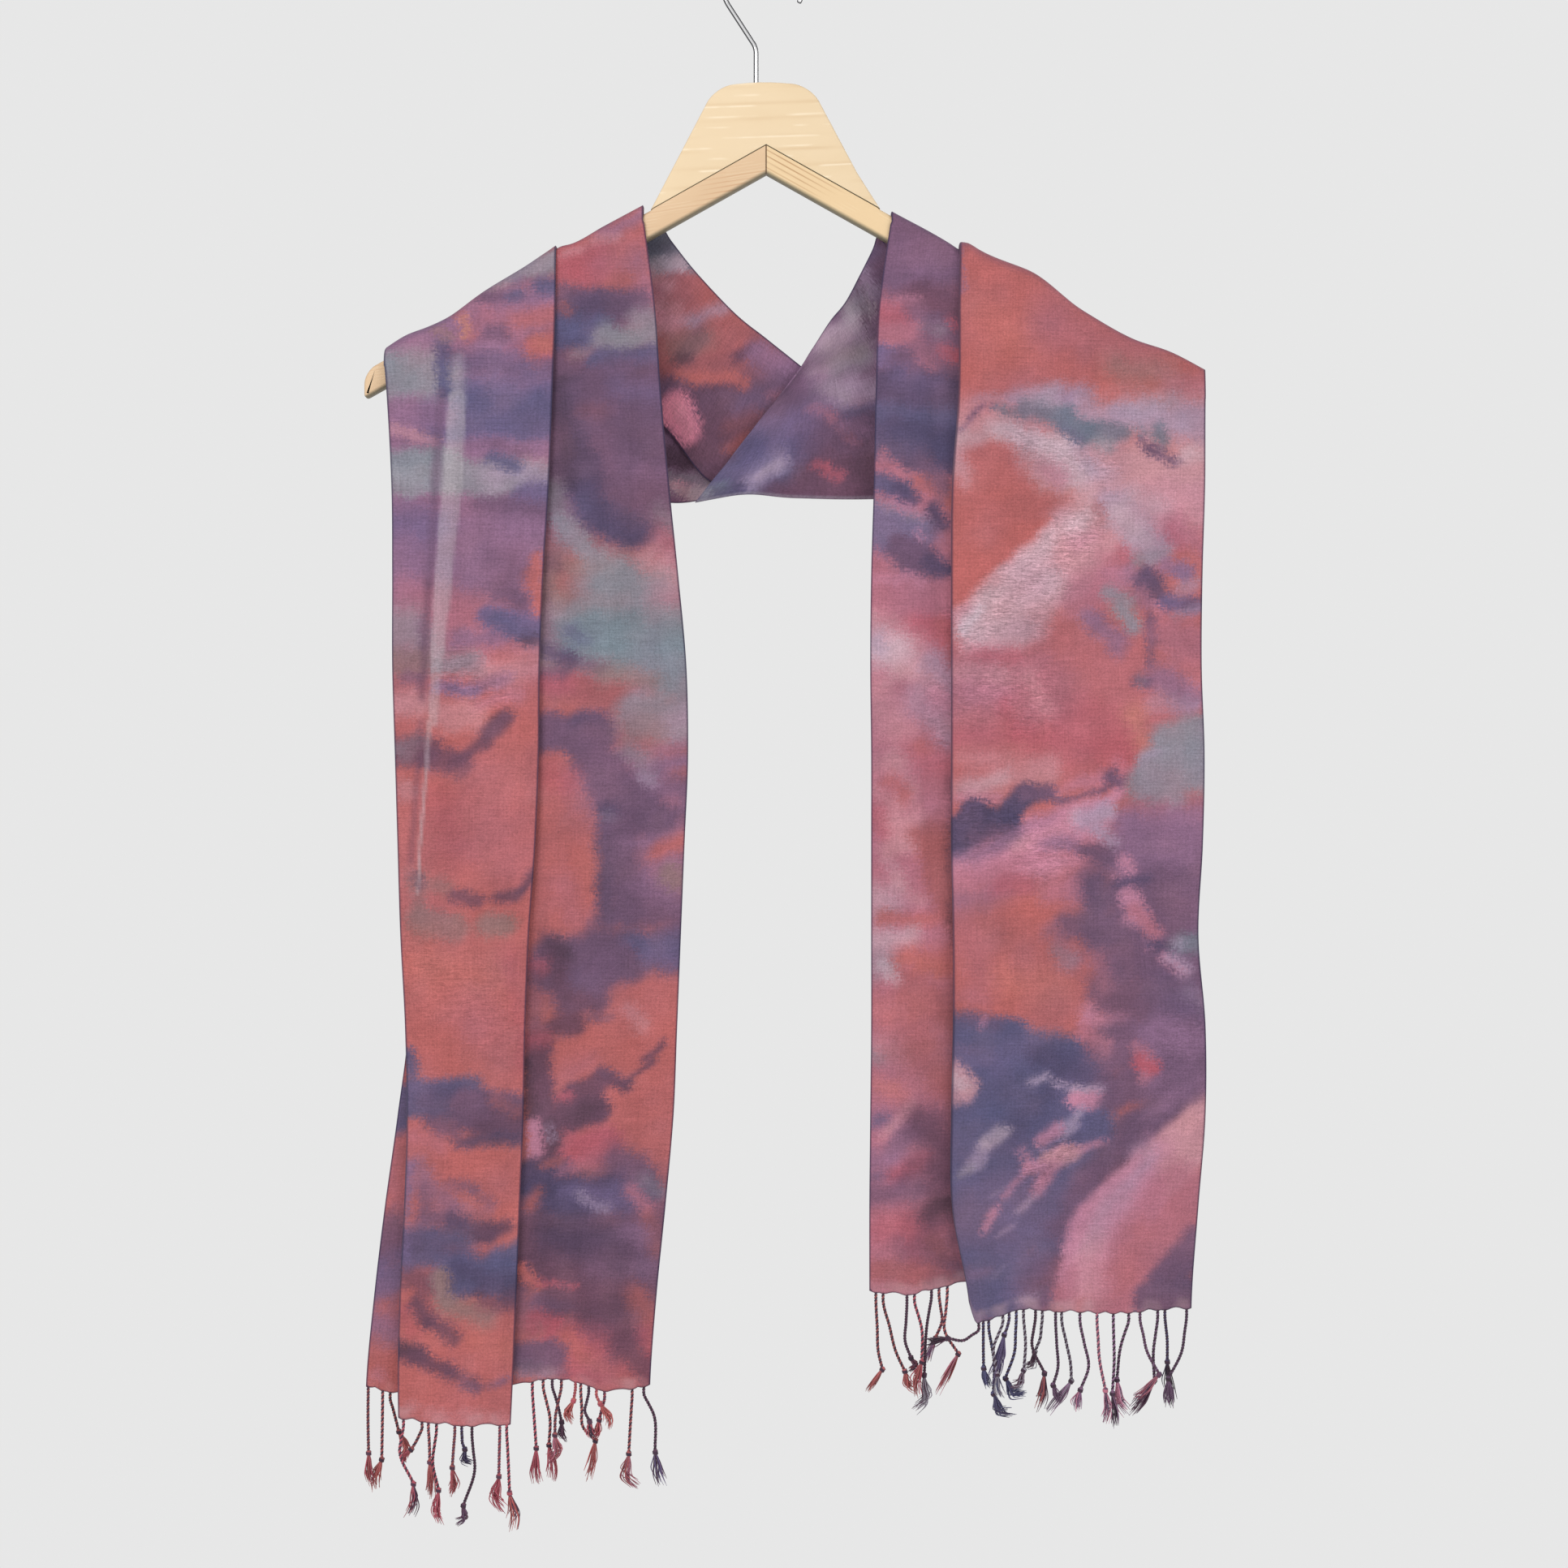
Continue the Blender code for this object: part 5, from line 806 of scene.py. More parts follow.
    ("lilac", 230.4, -358.2, 10.8, 2.7, 3.6, 5.4, 60), ("pink", 191, -350, 9, -2, 3.5, 6.5, 60),
    ("rose", 106, -375.5, 5.5, 5.5, 3, 5.5, 45), ("plum", 127.8, -497.7, 9.9, 2.7, 2.7, 4.5, 60),
    ("rose", 108, -517, 34, 7, 4, 7, 60), ("blush", 180, -343, 7, 2, 3.5, 6.5, 60),
    ("red", 133, -524, 12, 1, 4.5, 8, 55), ("pale", 232, -283.5, 11, 1, 3.5, 6.5, 50),
)
NECK_LEFT_DYES_AND_SHADE = (
    ("rust", -63, -193.5, 54, 0, 18, 13.5, 90), ("coral", -36, -189, 18, -23, 10, 18, 40),
    ("grey", -57.5, -212.5, 17, 3, 4.5, 7, 60), ("lilac", -40.5, -207.9, 18.9, 8.1, 3.6, 5.4, 60),
    ("rust", -63, -225, 58.5, 0, 14.5, 11.5, 85), ("plum", -63, -256, 81, 0, 14, 8, 95),
    ("wine", -63, -274, 54, -3, 16, 14, 95), ("wine", -36, -250, 14, -6, 7, 12, 60),
    ("violet", -13, -256, 9, 6, 4.5, 10, 40), ("rust", -17, -265.5, 12.5, 3.5, 3.5, 9, 40),
    ("rose", 5.5, -248.5, 4.5, 2, 2.7, 4.5, 60), ("rust", -18, -278, 10, 3.5, 4, 6.5, 75),
    # The dark stroke that starts the next line is painted shade along the strip's rolled lower edge.
    ("dark", -63, -277, 32, -20, 4, 6, 60), ("wine", -36, -302, 18, 14, 5, 9, 70),
    ("steel", -72, -166.5, 27, 1, 11.2, 5.4, 95), ("dark", -63, -164.5, 9, -2, 4.5, 8, 30),
    ("grey", -63, -178, 27, 1.5, 2.2, 4.5, 70), ("coral", -27, -217, 14, 3, 7.2, 9, 70),
    ("dark", -42.3, -222.3, 8.1, 5.4, 4.5, 4.5, 60), ("olive", -50, -223, 17, 6, 6, 6, 50),
    ("dark", -48.6, -227.7, 7.2, 0.9, 3.1, 4.5, 60), ("wine", -15.3, -226.8, 10.8, 4.5, 4, 4, 85),
    ("mauve", -1.8, -225.9, 24.3, -13.5, 8.1, 7.2, 85), ("plum", -4, -234, 22, -9, 4.5, 8, 50),
    ("coral", -46.8, -236.7, 28.8, -2.7, 4, 4.5, 90), ("coral", -19.8, -238.5, 8.1, -3.6, 3.6, 3.6, 90),
    ("candy", -47.7, -257.4, 4.5, -9, 10.3, 5, 100), ("blush", -47, -256, 5, -10, 6, 9, 40),
    ("blush", -62, -183.5, 9, -4.5, 5, 7.2, 70), ("blush", -61.2, -200.7, 8.1, -9.9, 5, 7.2, 70),
    ("rose", -60, -190, 4, -12, 4, 7, 60), ("grey", -63, -175.5, 18, 2.5, 3, 5.5, 70),
    ("coral", -57, -220, 3, -14, 3, 5, 50), ("pale", -63, -179.1, 18, 1.8, 2.2, 4.5, 60),
    ("candy", -60.5, -204.5, 12, -3.5, 3.5, 7, 40), ("pale", -63, -174.2, 15.3, 1.9, 2.7, 4.5, 50),
    ("blush", -57.5, -197, 9, -3, 3.6, 6.3, 50), ("blush", -55, -206, 9, 0, 2.7, 5.4, 45),
    ("wine", -33.3, -245.2, 18, 1.3, 2.2, 3.6, 60),
)
NECK_RIGHT_DYES_SHADE_AND_HIGHLIGHT = (
    ("slate", 56, -176, 9, 10, 3.5, 6.5, 40), ("grey", 48.6, -200.7, 7.2, -10.8, 5.4, 6.3, 80),
    ("teal", 53, -189, 4, -10, 2.5, 4.5, 40), ("grey", 58.5, -189, 2.7, -13.5, 1.8, 3.6, 60),
    ("mauve", 56, -213, 8, -12, 5.4, 8.1, 70), ("plum", 56, -199, 2.5, -11.5, 1.4, 3, 60),
    ("lilac", 31.5, -225, 13.5, 9, 7, 9, 55), ("grey", 31.5, -234, 22.5, 9, 9, 11, 85),
    ("olive", 36, -228, 18, 6, 5, 11, 30), ("mauve", 20, -240, 10, 5, 7, 8, 70),
    ("lilac", 33.5, -250, 29.5, 3.5, 7.7, 8.1, 80), ("grey", 36, -248, 9, -1, 5, 9, 50),
    ("lilac", 52, -239.5, 8.5, -5.5, 4, 7, 50), ("plum", 14, -256, 13, 4, 8, 11, 60),
    ("violet", 9, -274, 23, 8, 13.5, 13.5, 70), ("slate", 49.5, -259, 15.5, 2.5, 3.5, 6.5, 80),
    ("plum", 32, -274, 36, 0, 11.5, 11.5, 90), ("navy", 40, -264, 23, -3, 4, 9, 50),
    ("rose", 27.9, -256.5, 9.9, -6.3, 1.8, 4.5, 60), ("rose", 37.8, -262.8, 14.4, -11.7, 1.8, 4, 50),
    ("wine", 18, -297, 50, 0, 15, 12, 95), ("dark", 54, -288, 9, -18, 4, 11, 50),
    ("slate", -36, -306, 40, 22, 15.5, 11.5, 90), ("violet", -4, -284, 22, 14, 11, 15, 60),
    ("teal", -32.4, -306, 12.6, 6.3, 2.7, 4.5, 80), ("wine", 0, -302, 27, 0, 4, 9, 40),
    ("lilac", -5.4, -296.1, 14.4, 9.9, 5.9, 6.3, 70), ("pale", -2.5, -293.5, 9, 6.5, 2.2, 5.4, 30),
    ("red", 28.8, -287.1, 7.2, -1.8, 2.7, 3.6, 70), ("red", 35.1, -290.7, 7.2, -4.5, 3.1, 3.6, 80),
    ("pale", 32.4, -216.9, 17.1, 8.1, 5.9, 8.1, 55), ("lilac", 57.6, -180, 8.1, -12.6, 3.1, 5.4, 60),
    # The two dark strokes on the next line are painted shade in creases, and the pale stroke that starts
    # the line after is a painted highlight beside them.
    ("dark", 54, -186.3, 3.6, -12.6, 0.8, 1.8, 50), ("dark", 57.6, -198.9, 2.7, -18, 1, 2.2, 50),
    ("pale", 60.8, -194.4, 1.8, -14.4, 0.7, 1.8, 40), ("navy", -25.2, -303.3, 11.7, 4.5, 2.7, 4.5, 60),
    ("mauve", 45, -264.6, 10.8, -2.7, 3.6, 6.3, 70), ("grey", 54, -199, 4.5, -2.5, 2.7, 5.4, 50),
    ("pale", 27, -234, 6.5, 1, 3, 6.5, 40),
)
NECK_UNDER_DYES_AND_SHADE = (
    # The dark stroke after the plum one on the next line is painted shadow under the rolled edge of the
    # strip above.
    ("plum", -108, -256, 54, -28, 18, 18, 60), ("dark", -63, -280, 36, -9, 4.5, 6.3, 80),
    ("grey", -57.5, -291.5, 30.5, -6.5, 4, 5.5, 80), ("chalk", -50.4, -298.8, 9.9, -5.4, 4.5, 3.6, 80),
    ("candy", -49.5, -298.8, 7.2, -4.5, 3.6, 4.5, 60), ("pale", -38.7, -304.2, 16.2, 0, 4.5, 4, 95),
    ("chalk", -51.3, -301.5, 7.2, -0.9, 2.7, 3.6, 40),
)

# Straight strips on the flap, where its cloth lies in a single layer. The chalk strips are
# painted light through that layer, and the plum and wine strips at their left painted crease shade
FLAP_LIGHT_AND_SHADE_STRIPS = (
    ("plum", -177.8, -249.3, -3.1, -52.2, 2.7, 3.1, 45), ("plum", -180.9, -301.5, -3.6, -54, 2.2, 3.1, 45),
    ("wine", -184.5, -355.5, -3.6, -63, 2, 3.1, 45), ("wine", -188.6, -432, -5.4, -76.5, 1.8, 2.7, 30),
    ("chalk", -168.3, -230.4, -0.5, -19.8, 3.1, 3.6, 30),
    ("chalk", -169.2, -252.9, -2.3, -48.6, 5, 1.4, 50), ("chalk", -171.5, -301.5, -3.1, -27, 5.2, 1.4, 42),
    ("chalk", -174.6, -328.5, -3.2, -40.5, 4.7, 1.4, 42), ("chalk", -177.8, -369, -2.2, -27, 3.8, 1.4, 42),
    ("chalk", -180, -396, -2.2, -36, 2.7, 1.4, 35), ("chalk", -184.1, -432, -1.7, -27, 1.4, 1.1, 40),
    ("chalk", -185.8, -459, -3.2, -40.5, 0.9, 1.1, 50), ("chalk", -189, -499.5, -1.3, -27, 0.6, 1.1, 60),
)

# Where the weft is crinkled, in the same form
CRINKLES = (
    ("crinkle", 117, -377.1, 58.5, 53.1, 15.3, 11.7, 70),
    ("crinkle", 148.5, -378, 13.5, 22.5, 11.7, 13.5, 55), ("crinkle", 117, -414, 31.5, -4.5, 22.5, 27, 50),
    ("crinkle", 112.5, -486, 45, -18, 19.8, 22.5, 50), ("crinkle", 144, -276.8, 45, -13.4, 9, 15.3, 55),
    ("crinkle", 148.5, -684, 18, 18, 9, 11.7, 70), ("crinkle", 94.5, -414, 4.5, -31.5, 7.2, 11.7, 50),
    ("crinkle", -171, -400.5, 18, -18, 15.3, 19.8, 45), ("crinkle", -189, -562.5, 45, -36, 22.5, 31.5, 35),
    ("crinkle", 225, -616.5, 9, 18, 15.3, 19.8, 35),
)


def soft_step(value):
    """0 to 1 with level ends."""
    share = np.clip(value, 0.0, 1.0)
    return share * share * (3 - 2 * share)


def smooth_at(columns, key, name, where):
    """The named column along the key column, on a smooth curve through the rows."""
    keys, values = columns[key], columns[name]
    if keys[0] > keys[-1]:
        keys, values = keys[::-1], values[::-1]
    where = np.clip(where, keys[0], keys[-1])
    slopes = np.gradient(values, keys)
    row = np.clip(np.searchsorted(keys, where, side="right") - 1, 0, len(keys) - 2)
    span = keys[row + 1] - keys[row]
    t = (where - keys[row]) / span
    lead = slopes[row] * span * (t**3 - 2 * t**2 + t)
    trail = slopes[row + 1] * span * (t**3 - t**2)
    start, end = values[row], values[row + 1]
    return start * (2 * t**3 - 3 * t**2 + 1) + end * (3 * t**2 - 2 * t**3) + lead + trail


def ramble(x, z, size, seed):
    """Even noise from -1 to 1 over the cloth, with spots of about that size."""
    cells = 128
    lattice = np.random.RandomState(seed).uniform(-1, 1, (cells, cells))
    u, v = x / size + 1000.5, z / size + 1000.5
    i, j = np.floor(u).astype(int), np.floor(v).astype(int)
    s, t = soft_step(u - i), soft_step(v - j)
    near = lattice[i % cells, j % cells] * (1 - s) + lattice[(i + 1) % cells, j % cells] * s
    far = (lattice[i % cells, (j + 1) % cells] * (1 - s)
           + lattice[(i + 1) % cells, (j + 1) % cells] * s)
    return near * (1 - t) + far * t


def arm_top(x):
    return ARM_APEX_Z - ARM_SLOPE * np.abs(x - MITRE_X)


def folds_at(folds, x, z):
    """Height of all the soft folds of a tail at each place."""
    total = 0.0 * (x + z)
    for x0, z0, x1, z1, width, height in zip(*(folds[name] for name in FOLD_COLUMNS)):
        share = (z0 - z) / (z0 - z1)
        fade = soft_step((share + FOLD_OVERRUN) / FOLD_FADE)
        fade = fade * soft_step((1 + FOLD_OVERRUN - share) / FOLD_FADE)
        offset = (x - (x0 + (x1 - x0) * share)) / width
        total += height * fade * np.exp(-offset * offset)
    return total


def looseness(x, z):
    """0 on the arm, 1 where the layers hang free below it."""
    return soft_step((arm_top(x) - ARM_CORNER - z) / LOOSEN_OVER)


def roll_radius(x, z):
    return ROLL_AT_ARM + (ROLL_LOOSE - ROLL_AT_ARM) * looseness(x, z)


def tail_layer(folds, x, z):
    """Distance of a tail's first layer in front of the wood."""
    return FIRST_LAYER + looseness(x, z) * (HANG_FORWARD + folds_at(folds, x, z))


def even_shares(length):
    return np.linspace(0, 1, max(int(round(length / PITCH)), 4) + 1)


def columns_of(*groups):
    """The columns of a panel, each with its turn in degrees, its reach behind a fold in
    millimetres and its share of the panel's face."""
    rows = [(turn, reach, share) for turns, reaches, shares in groups
            for turn, reach, share in np.broadcast(turns, reaches, shares)]
    turn, reach, share = np.array(rows, float).T[:, :, None]
    return {"turn": np.radians(turn), "reach": reach, "share": share}


ROLL_TURNS = np.arange(15, 180, 15)
HALF_ROLL = 6
FACE_TURN = math.radians(172)
FLAP_HIDDEN = (FLAP_RETURN, 8, 5, 2.5, 0)
FRONT_HIDDEN = (3.2, 1.6, 0)
INNER_FACE = even_shares(78)
BACK_PANEL = columns_of((0, 0, even_shares(150)))
FLAP_PANEL = columns_of((0, FLAP_HIDDEN, 0), (ROLL_TURNS, 0, 0), (180, 0, even_shares(82)))
INNER_PANEL = columns_of((0, 0, INNER_FACE), (ROLL_TURNS, 0, 1), (180, np.linspace(0, 0.8, 12), 1))
FRONT_PANEL = columns_of((0, FRONT_HIDDEN, 0), (ROLL_TURNS, 0, 0), (180, 0, even_shares(138)))


def back_section(z):
    """Left tail's back panel, as x and distance in front of the wood."""
    left = smooth_at(LEFT_TAIL, "z", "back_left", z)
    right = smooth_at(LEFT_TAIL, "z", "back_right", z)
    x = left + (right - left) * BACK_PANEL["share"]
    past_flap = x - smooth_at(LEFT_TAIL, "z", "flap_right", z) - LAYER_ENDS_OVER
    creases = soft_step(past_flap / PANEL_SHOWS_OVER) * looseness(x, z) * folds_at(BACK_CREASES, x, z)
    return x, tail_layer(LEFT_FOLDS, x, z) + creases


def flap_section(z):
    """Left tail's front flap: a short return behind, the rolled fold, then the front."""
    left = smooth_at(LEFT_TAIL, "z", "flap_left", z)
    right = smooth_at(LEFT_TAIL, "z", "flap_right", z)
    turn, share = FLAP_PANEL["turn"], FLAP_PANEL["share"]
    radius = roll_radius(left, z)
    start = left + radius
    x = start - radius * np.sin(turn) + FLAP_PANEL["reach"] + share * (right - start)
    loose = looseness(x, z)
    over = radius * (1 - np.cos(turn)) * (1 - soft_step((x - start - FLAP_RETURN) / ROLL_FLATTENS_OVER))
    own_folds = np.maximum(folds_at(FLAP_FOLDS, x, z), 0) + folds_at(FLAP_CREASES, x, z)
    own_folds = own_folds * loose * soft_step((x - start) / CREASES_START_OVER) * (turn > FACE_TURN)
    return x, tail_layer(LEFT_FOLDS, x, z) + LAYER_STEP + LAYERS_PART * loose + over + own_folds


def inner_section(z):
    """Right tail's inner panel: its face, the pleat's turn and the return behind the fold."""
    left = smooth_at(RIGHT_TAIL, "z", "inner_left", z)
    pleat = smooth_at(RIGHT_TAIL, "z", "fold", z) + PLEAT_DEPTH
    turn = INNER_PANEL["turn"]
    radius = ROLL_AT_ARM + PLEAT_LOOSENS * looseness(pleat, z)
    x = left + (pleat - radius - left) * INNER_PANEL["share"] + radius * np.sin(turn)
    x = x - INNER_PANEL["reach"] * (PLEAT_DEPTH - radius)
    before_fold = pleat - PLEAT_DEPTH + LAYER_ENDS_OVER - x
    creases = looseness(x, z) * soft_step(before_fold / PANEL_SHOWS_OVER) * folds_at(INNER_CREASES, x, z)
    return x, tail_layer(RIGHT_FOLDS, x, z) + radius * (1 - np.cos(turn)) + creases


def front_section(z):
    """Right tail's front panel: a short return, the rolled fold of the pleat, then the front."""
    fold = smooth_at(RIGHT_TAIL, "z", "fold", z)
    right = smooth_at(RIGHT_TAIL, "z", "right", z)
    turn, share = FRONT_PANEL["turn"], FRONT_PANEL["share"]
    radius = roll_radius(fold, z)
    start = fold + radius
    x = start - radius * np.sin(turn) + FRONT_PANEL["reach"] + share * (right - start)
    loose = looseness(x, z)
    past = soft_step((x - start - PLEAT_DEPTH) / ROLL_FLATTENS_OVER)
    stack = LAYER_STEP + LAYERS_PART * loose
    over = stack + radius * (1 - np.cos(turn)) * (1 - past) - SETTLE_SHARE * stack * past
    creases = soft_step((x - start) / CREASES_START_OVER) * (turn > FACE_TURN)
    creases = creases * loose * folds_at(FRONT_CREASES, x, z)
    return x, tail_layer(RIGHT_FOLDS, x, z) + over + creases


def hang_over_arm(section_at, columns, hem, loft, strands):
    """Points of a tail panel, column by column, from its end behind the arm, over the arm and
    down the front to the hem. Also the height at which each point would be if the cloth hung
    straight, which carries the dye over the arm."""
    count = len(columns["share"])
    top_z = np.full((count, 1), -200.0)
    for _ in range(12):
        top_z = arm_top(section_at(top_z)[0])
    x, gap = section_at(top_z)
    rise = smooth_at(loft, "x", "rise", x)
    behind = np.linspace(0, 1, 7)[:-1]
    lap_z = top_z - LAP_BEHIND_ARM * SLOPE_LENGTH
    corner_z = top_z - ARM_CORNER * SLOPE_LENGTH
    parts = [(x + 0 * behind, HALF_WOOD + gap + 0 * behind, lap_z + (corner_z - lap_z) * behind)]
    swing = np.radians(np.linspace(0, 90, 9))
    y = HALF_WOOD - ARM_CORNER + (ARM_CORNER + gap) * np.cos(swing)
    up = (ARM_CORNER + gap) * np.sin(swing) - ARM_CORNER
    z = top_z + up * SLOPE_LENGTH + rise * np.sin(swing) ** 2
    parts.append((x + 0 * y, y, z))
    flat = np.array([[0.33, -0.33]])
    parts.append((x + 0 * flat, flat * (HALF_WOOD - ARM_CORNER) + 0 * x, z[:, -1:] + 0 * flat))
    parts.append((x + 0 * y, -y[:, ::-1], z[:, ::-1]))
    start_z = z[:, :1]
    hem_z = start_z
    for _ in range(3):
        hem_z = smooth_at(hem, "x", "z", section_at(hem_z)[0])
    hem_x = section_at(hem_z)[0]
    nearest = np.abs(hem_x - strands["root_x"][None, :]).min(axis=1, keepdims=True)
    hem_z = hem_z - HEM_DROP - SCALLOP * np.exp(-(nearest / SCALLOP_WIDTH) ** 2)
    rows = np.linspace(0, 1, int(FRONT_LENGTH / PITCH))[1:]
    z = start_z + (hem_z - start_z) * rows
    x, gap = section_at(z)
    parts.append((x, -HALF_WOOD - gap, z))
    points = np.stack([np.concatenate(values, axis=1) for values in zip(*parts)], -1)
    first_front = points.shape[1] - len(rows)
    steps = np.linalg.norm(np.diff(points, axis=1), axis=2)
    unrolled = points[:, :, 2].copy()
    for row in range(first_front - 1, -1, -1):
        unrolled[:, row] = unrolled[:, row + 1] + steps[:, row]
    return points, unrolled


def loop_points(edges, folds, row_length, tail_gap):
    """Points of one stretch of the loop, column by column, from the tails' ends behind the arm."""
    last = len(edges["depth"]) - 1
    steps = dict(edges, step=np.arange(last + 1.0))
    width = math.hypot(*(edges["upper_" + axis][0] - edges["lower_" + axis][0] for axis in "xz"))
    share = even_shares(width)[:, None]
    progress = even_shares(row_length)[None, :]
    step = last * progress
    upper_x, upper_z, lower_x, lower_z, depth = (
        smooth_at(steps, "step", name, step) for name in LOOP_COLUMNS
    )
    depth = depth + 0 * share
    gathered = soft_step(progress * 1.6)
    for centre, height, half_width in zip(*(folds[name] for name in LOOP_FOLD_COLUMNS)):
        depth = depth - height * gathered * np.exp(-(((share - centre) / half_width) ** 2))
    x = upper_x + (lower_x - upper_x) * share
    z = upper_z + (lower_z - upper_z) * share
    settled = soft_step(step / 0.5)
    top_z = arm_top(x) - LAP_BEHIND_ARM * SLOPE_LENGTH
    y = HALF_WOOD + tail_gap(x)
    points = np.stack([x, y + (depth - y) * settled, top_z + (z - top_z) * settled], -1)
    ripple = ramble(x, z, 14, 31) * 0.5 + ramble(x, z, 7, 32) * 0.22
    points[:, :, 1] += ripple * settled
    return points


def layer_behind_left(x):
    """Distance behind the wood of the outer layer where the left tail ends."""
    past = soft_step((x - FLAP_BEHIND_LEFT - FLAP_RETURN) / ROLL_FLATTENS_OVER)
    over = LAYER_STEP + 2 * ROLL_AT_ARM * (1 - past)
    return FIRST_LAYER + over * soft_step((FLAP_BEHIND_RIGHT - x) / LAYER_ENDS_OVER)


def layer_behind_right(x):
    """The same for the right tail."""
    past = soft_step((x - PLEAT_BEHIND - PLEAT_DEPTH) / ROLL_FLATTENS_OVER)
    over = LAYER_STEP * (1 - SETTLE_SHARE * past) + 2 * ROLL_AT_ARM * (1 - past)
    return FIRST_LAYER + over * soft_step((x - PLEAT_BEHIND + FIRST_STEP) / LAYER_ENDS_OVER)


# Materials

def linear(colour):
    """A display colour from 0 to 255 as linear light."""
    share = np.asarray(colour, float) / 255
    return np.where(share <= 0.04045, share / 12.92, ((share + 0.055) / 1.055) ** 2.4)


def patch_masks(patches, x, z, wander=1.0):
    """Each patch with its strength at each place. Patches wander and have ragged edges."""
    at_x = x + wander * (1.8 * ramble(x, z, 14, 1) + 1.0 * ramble(x, z, 5, 2))
    at_z = z + wander * (1.8 * ramble(x, z, 14, 3) + 1.0 * ramble(x, z, 5, 4))
    ragged = 0.45 * ramble(x, z, 3.0, 5) + 0.4 * ramble(x * 1.6, z * 0.7, 2.4, 6)
    ragged = wander * (ragged + 0.8 * ramble(x, z, 8, 7))
    for dye, x0, z0, run_x, run_z, half_width, soft, strength in patches:
        along = ((at_x - x0) * run_x + (at_z - z0) * run_z) / max(run_x**2 + run_z**2, 0.01)
        along = np.clip(along, 0, 1)
        away = np.hypot(at_x - x0 - along * run_x, at_z - z0 - along * run_z)
        edge = (half_width - away + ragged * min(soft, 12) * 0.24) / (1.35 * soft)
        yield dye, soft_step(edge + 0.5) * strength / 100


def lay_over(colour, masks):
    for dye, mask in masks:
        colour += (np.array(DYE_COLOURS[dye]) - colour) * mask[..., None]


def dye_cloth(base, patches, x, z):
    """Display colour of the dyed cloth at each place, one patch laid over the other; some patches are
    painted shade and highlight.
    """
    colour = np.empty(x.shape + (3,))
    colour[:] = DYE_COLOURS[base]
    lay_over(colour, patch_masks(patches, x, z))
    for dye, size, seed, strength in CLOUDS:
        cloud = np.clip(ramble(x, z, size, seed) + 0.25 * ramble(x, z, size / 3, seed + 1), 0, 1)
        lay_over(colour, [(dye, cloud * strength)])
    mottle = 1 + 0.03 * ramble(x, z, 16, 8) + 0.025 * ramble(x, z, 6, 9) + 0.02 * ramble(x, z, 3, 10)
    return colour * mottle[..., None]


def dye_both_ways(base, patches, strips, x, z):
    """The dye a little to one side of each place and to the other, for its feathered edges. The
    strips are straight and even, where the cloth lies in a single layer: painted light through
    that layer and painted shade beside it."""
    both = [dye_cloth(base, patches, x + way * FEATHER[0], z + way * FEATHER[1]) for way in (1, -1)]
    covers = {}
    for dye, mask in patch_masks(strips, x, z, 0.0):
        covers[dye] = np.maximum(covers.get(dye, 0), mask)
    for colour in both:
        lay_over(colour, covers.items())
    return both


def new_material(name, values):
    """A material, its node tree and its shader with these values."""
    material = bpy.data.materials.new(name)
    material.use_nodes = True
    shader = material.node_tree.nodes["Principled BSDF"]
    for socket, value in values.items():
        shader.inputs[socket].default_value = value
    return material, material.node_tree, shader


def add_node(tree, kind, values=None, **settings):
    node = tree.nodes.new(kind)
    for name, value in settings.items():
        setattr(node, name, value)
    for name, value in (values or {}).items():
        node.inputs[name].default_value = value
    return node


def add_math(tree, operation, *sources, clamp=False):
    """A Math node on sockets or plain numbers. Returns its output."""
    node = add_node(tree, "ShaderNodeMath", operation=operation, use_clamp=clamp)
    for socket, source in zip(node.inputs, sources):
        if isinstance(source, (int, float)):
            socket.default_value = source
        else:
            tree.links.new(source, socket)
    return node.outputs[0]


def add_ramp(tree, source, start, slope):
    """How far the source is past the start, times the slope, held between 0 and 1."""
    return add_math(tree, "MULTIPLY_ADD", source, slope, -start * slope, clamp=True)


def add_mix(tree, factor, first, second, blend="MIX"):
    """A colour Mix node on sockets, plain numbers or display colours. Returns its output."""
    node = add_node(tree, "ShaderNodeMix", data_type="RGBA", blend_type=blend)
    for name, source in (("Factor", factor), ("A", first), ("B", second)):
        if isinstance(source, (int, float)):
            node.inputs[name].default_value = source
        elif isinstance(source, tuple):
            node.inputs[name].default_value = (*linear(source), 1.0)
        else:
            tree.links.new(source, node.inputs[name])
    return node.outputs["Result"]


def add_tone(tree, colour, mask, share, tone):
    """Lays a share of a tone over the colour where the mask is. Returns its output."""
    return add_mix(tree, add_math(tree, "MULTIPLY", mask, share), colour, tone)


def add_shade(tree, colour, shade):
    """The colour times a plain value. Returns its output."""
    grey = add_node(tree, "ShaderNodeCombineColor")
    for channel in range(3):
        tree.links.new(shade, grey.inputs[channel])
    return add_mix(tree, 1.0, colour, grey.outputs[0], "MULTIPLY")


def add_attribute(tree, name, output="Color"):
    return add_node(tree, "ShaderNodeAttribute", attribute_name=name).outputs[output]


def add_split(tree, vector):
    """The X, Y and Z of a vector, by name."""
    split = add_node(tree, "ShaderNodeSeparateXYZ")
    tree.links.new(vector, split.inputs[0])
    return split.outputs


def add_mapping(tree, vector, values):
    """A vector that is stretched or turned. Returns its output."""
    place = add_node(tree, "ShaderNodeMapping", values)
    tree.links.new(vector, place.inputs["Vector"])
    return place.outputs["Vector"]


def add_noise(tree, vector, stretch, detail=2.0, distortion=0.0):
    """Noise on a vector that is stretched first. Returns its value."""
    noise = add_node(tree, "ShaderNodeTexNoise", {"Scale": 1.0, "Detail": detail, "Distortion": distortion})
    tree.links.new(add_mapping(tree, vector, {"Scale": stretch}), noise.inputs["Vector"])
    return noise.outputs[0]


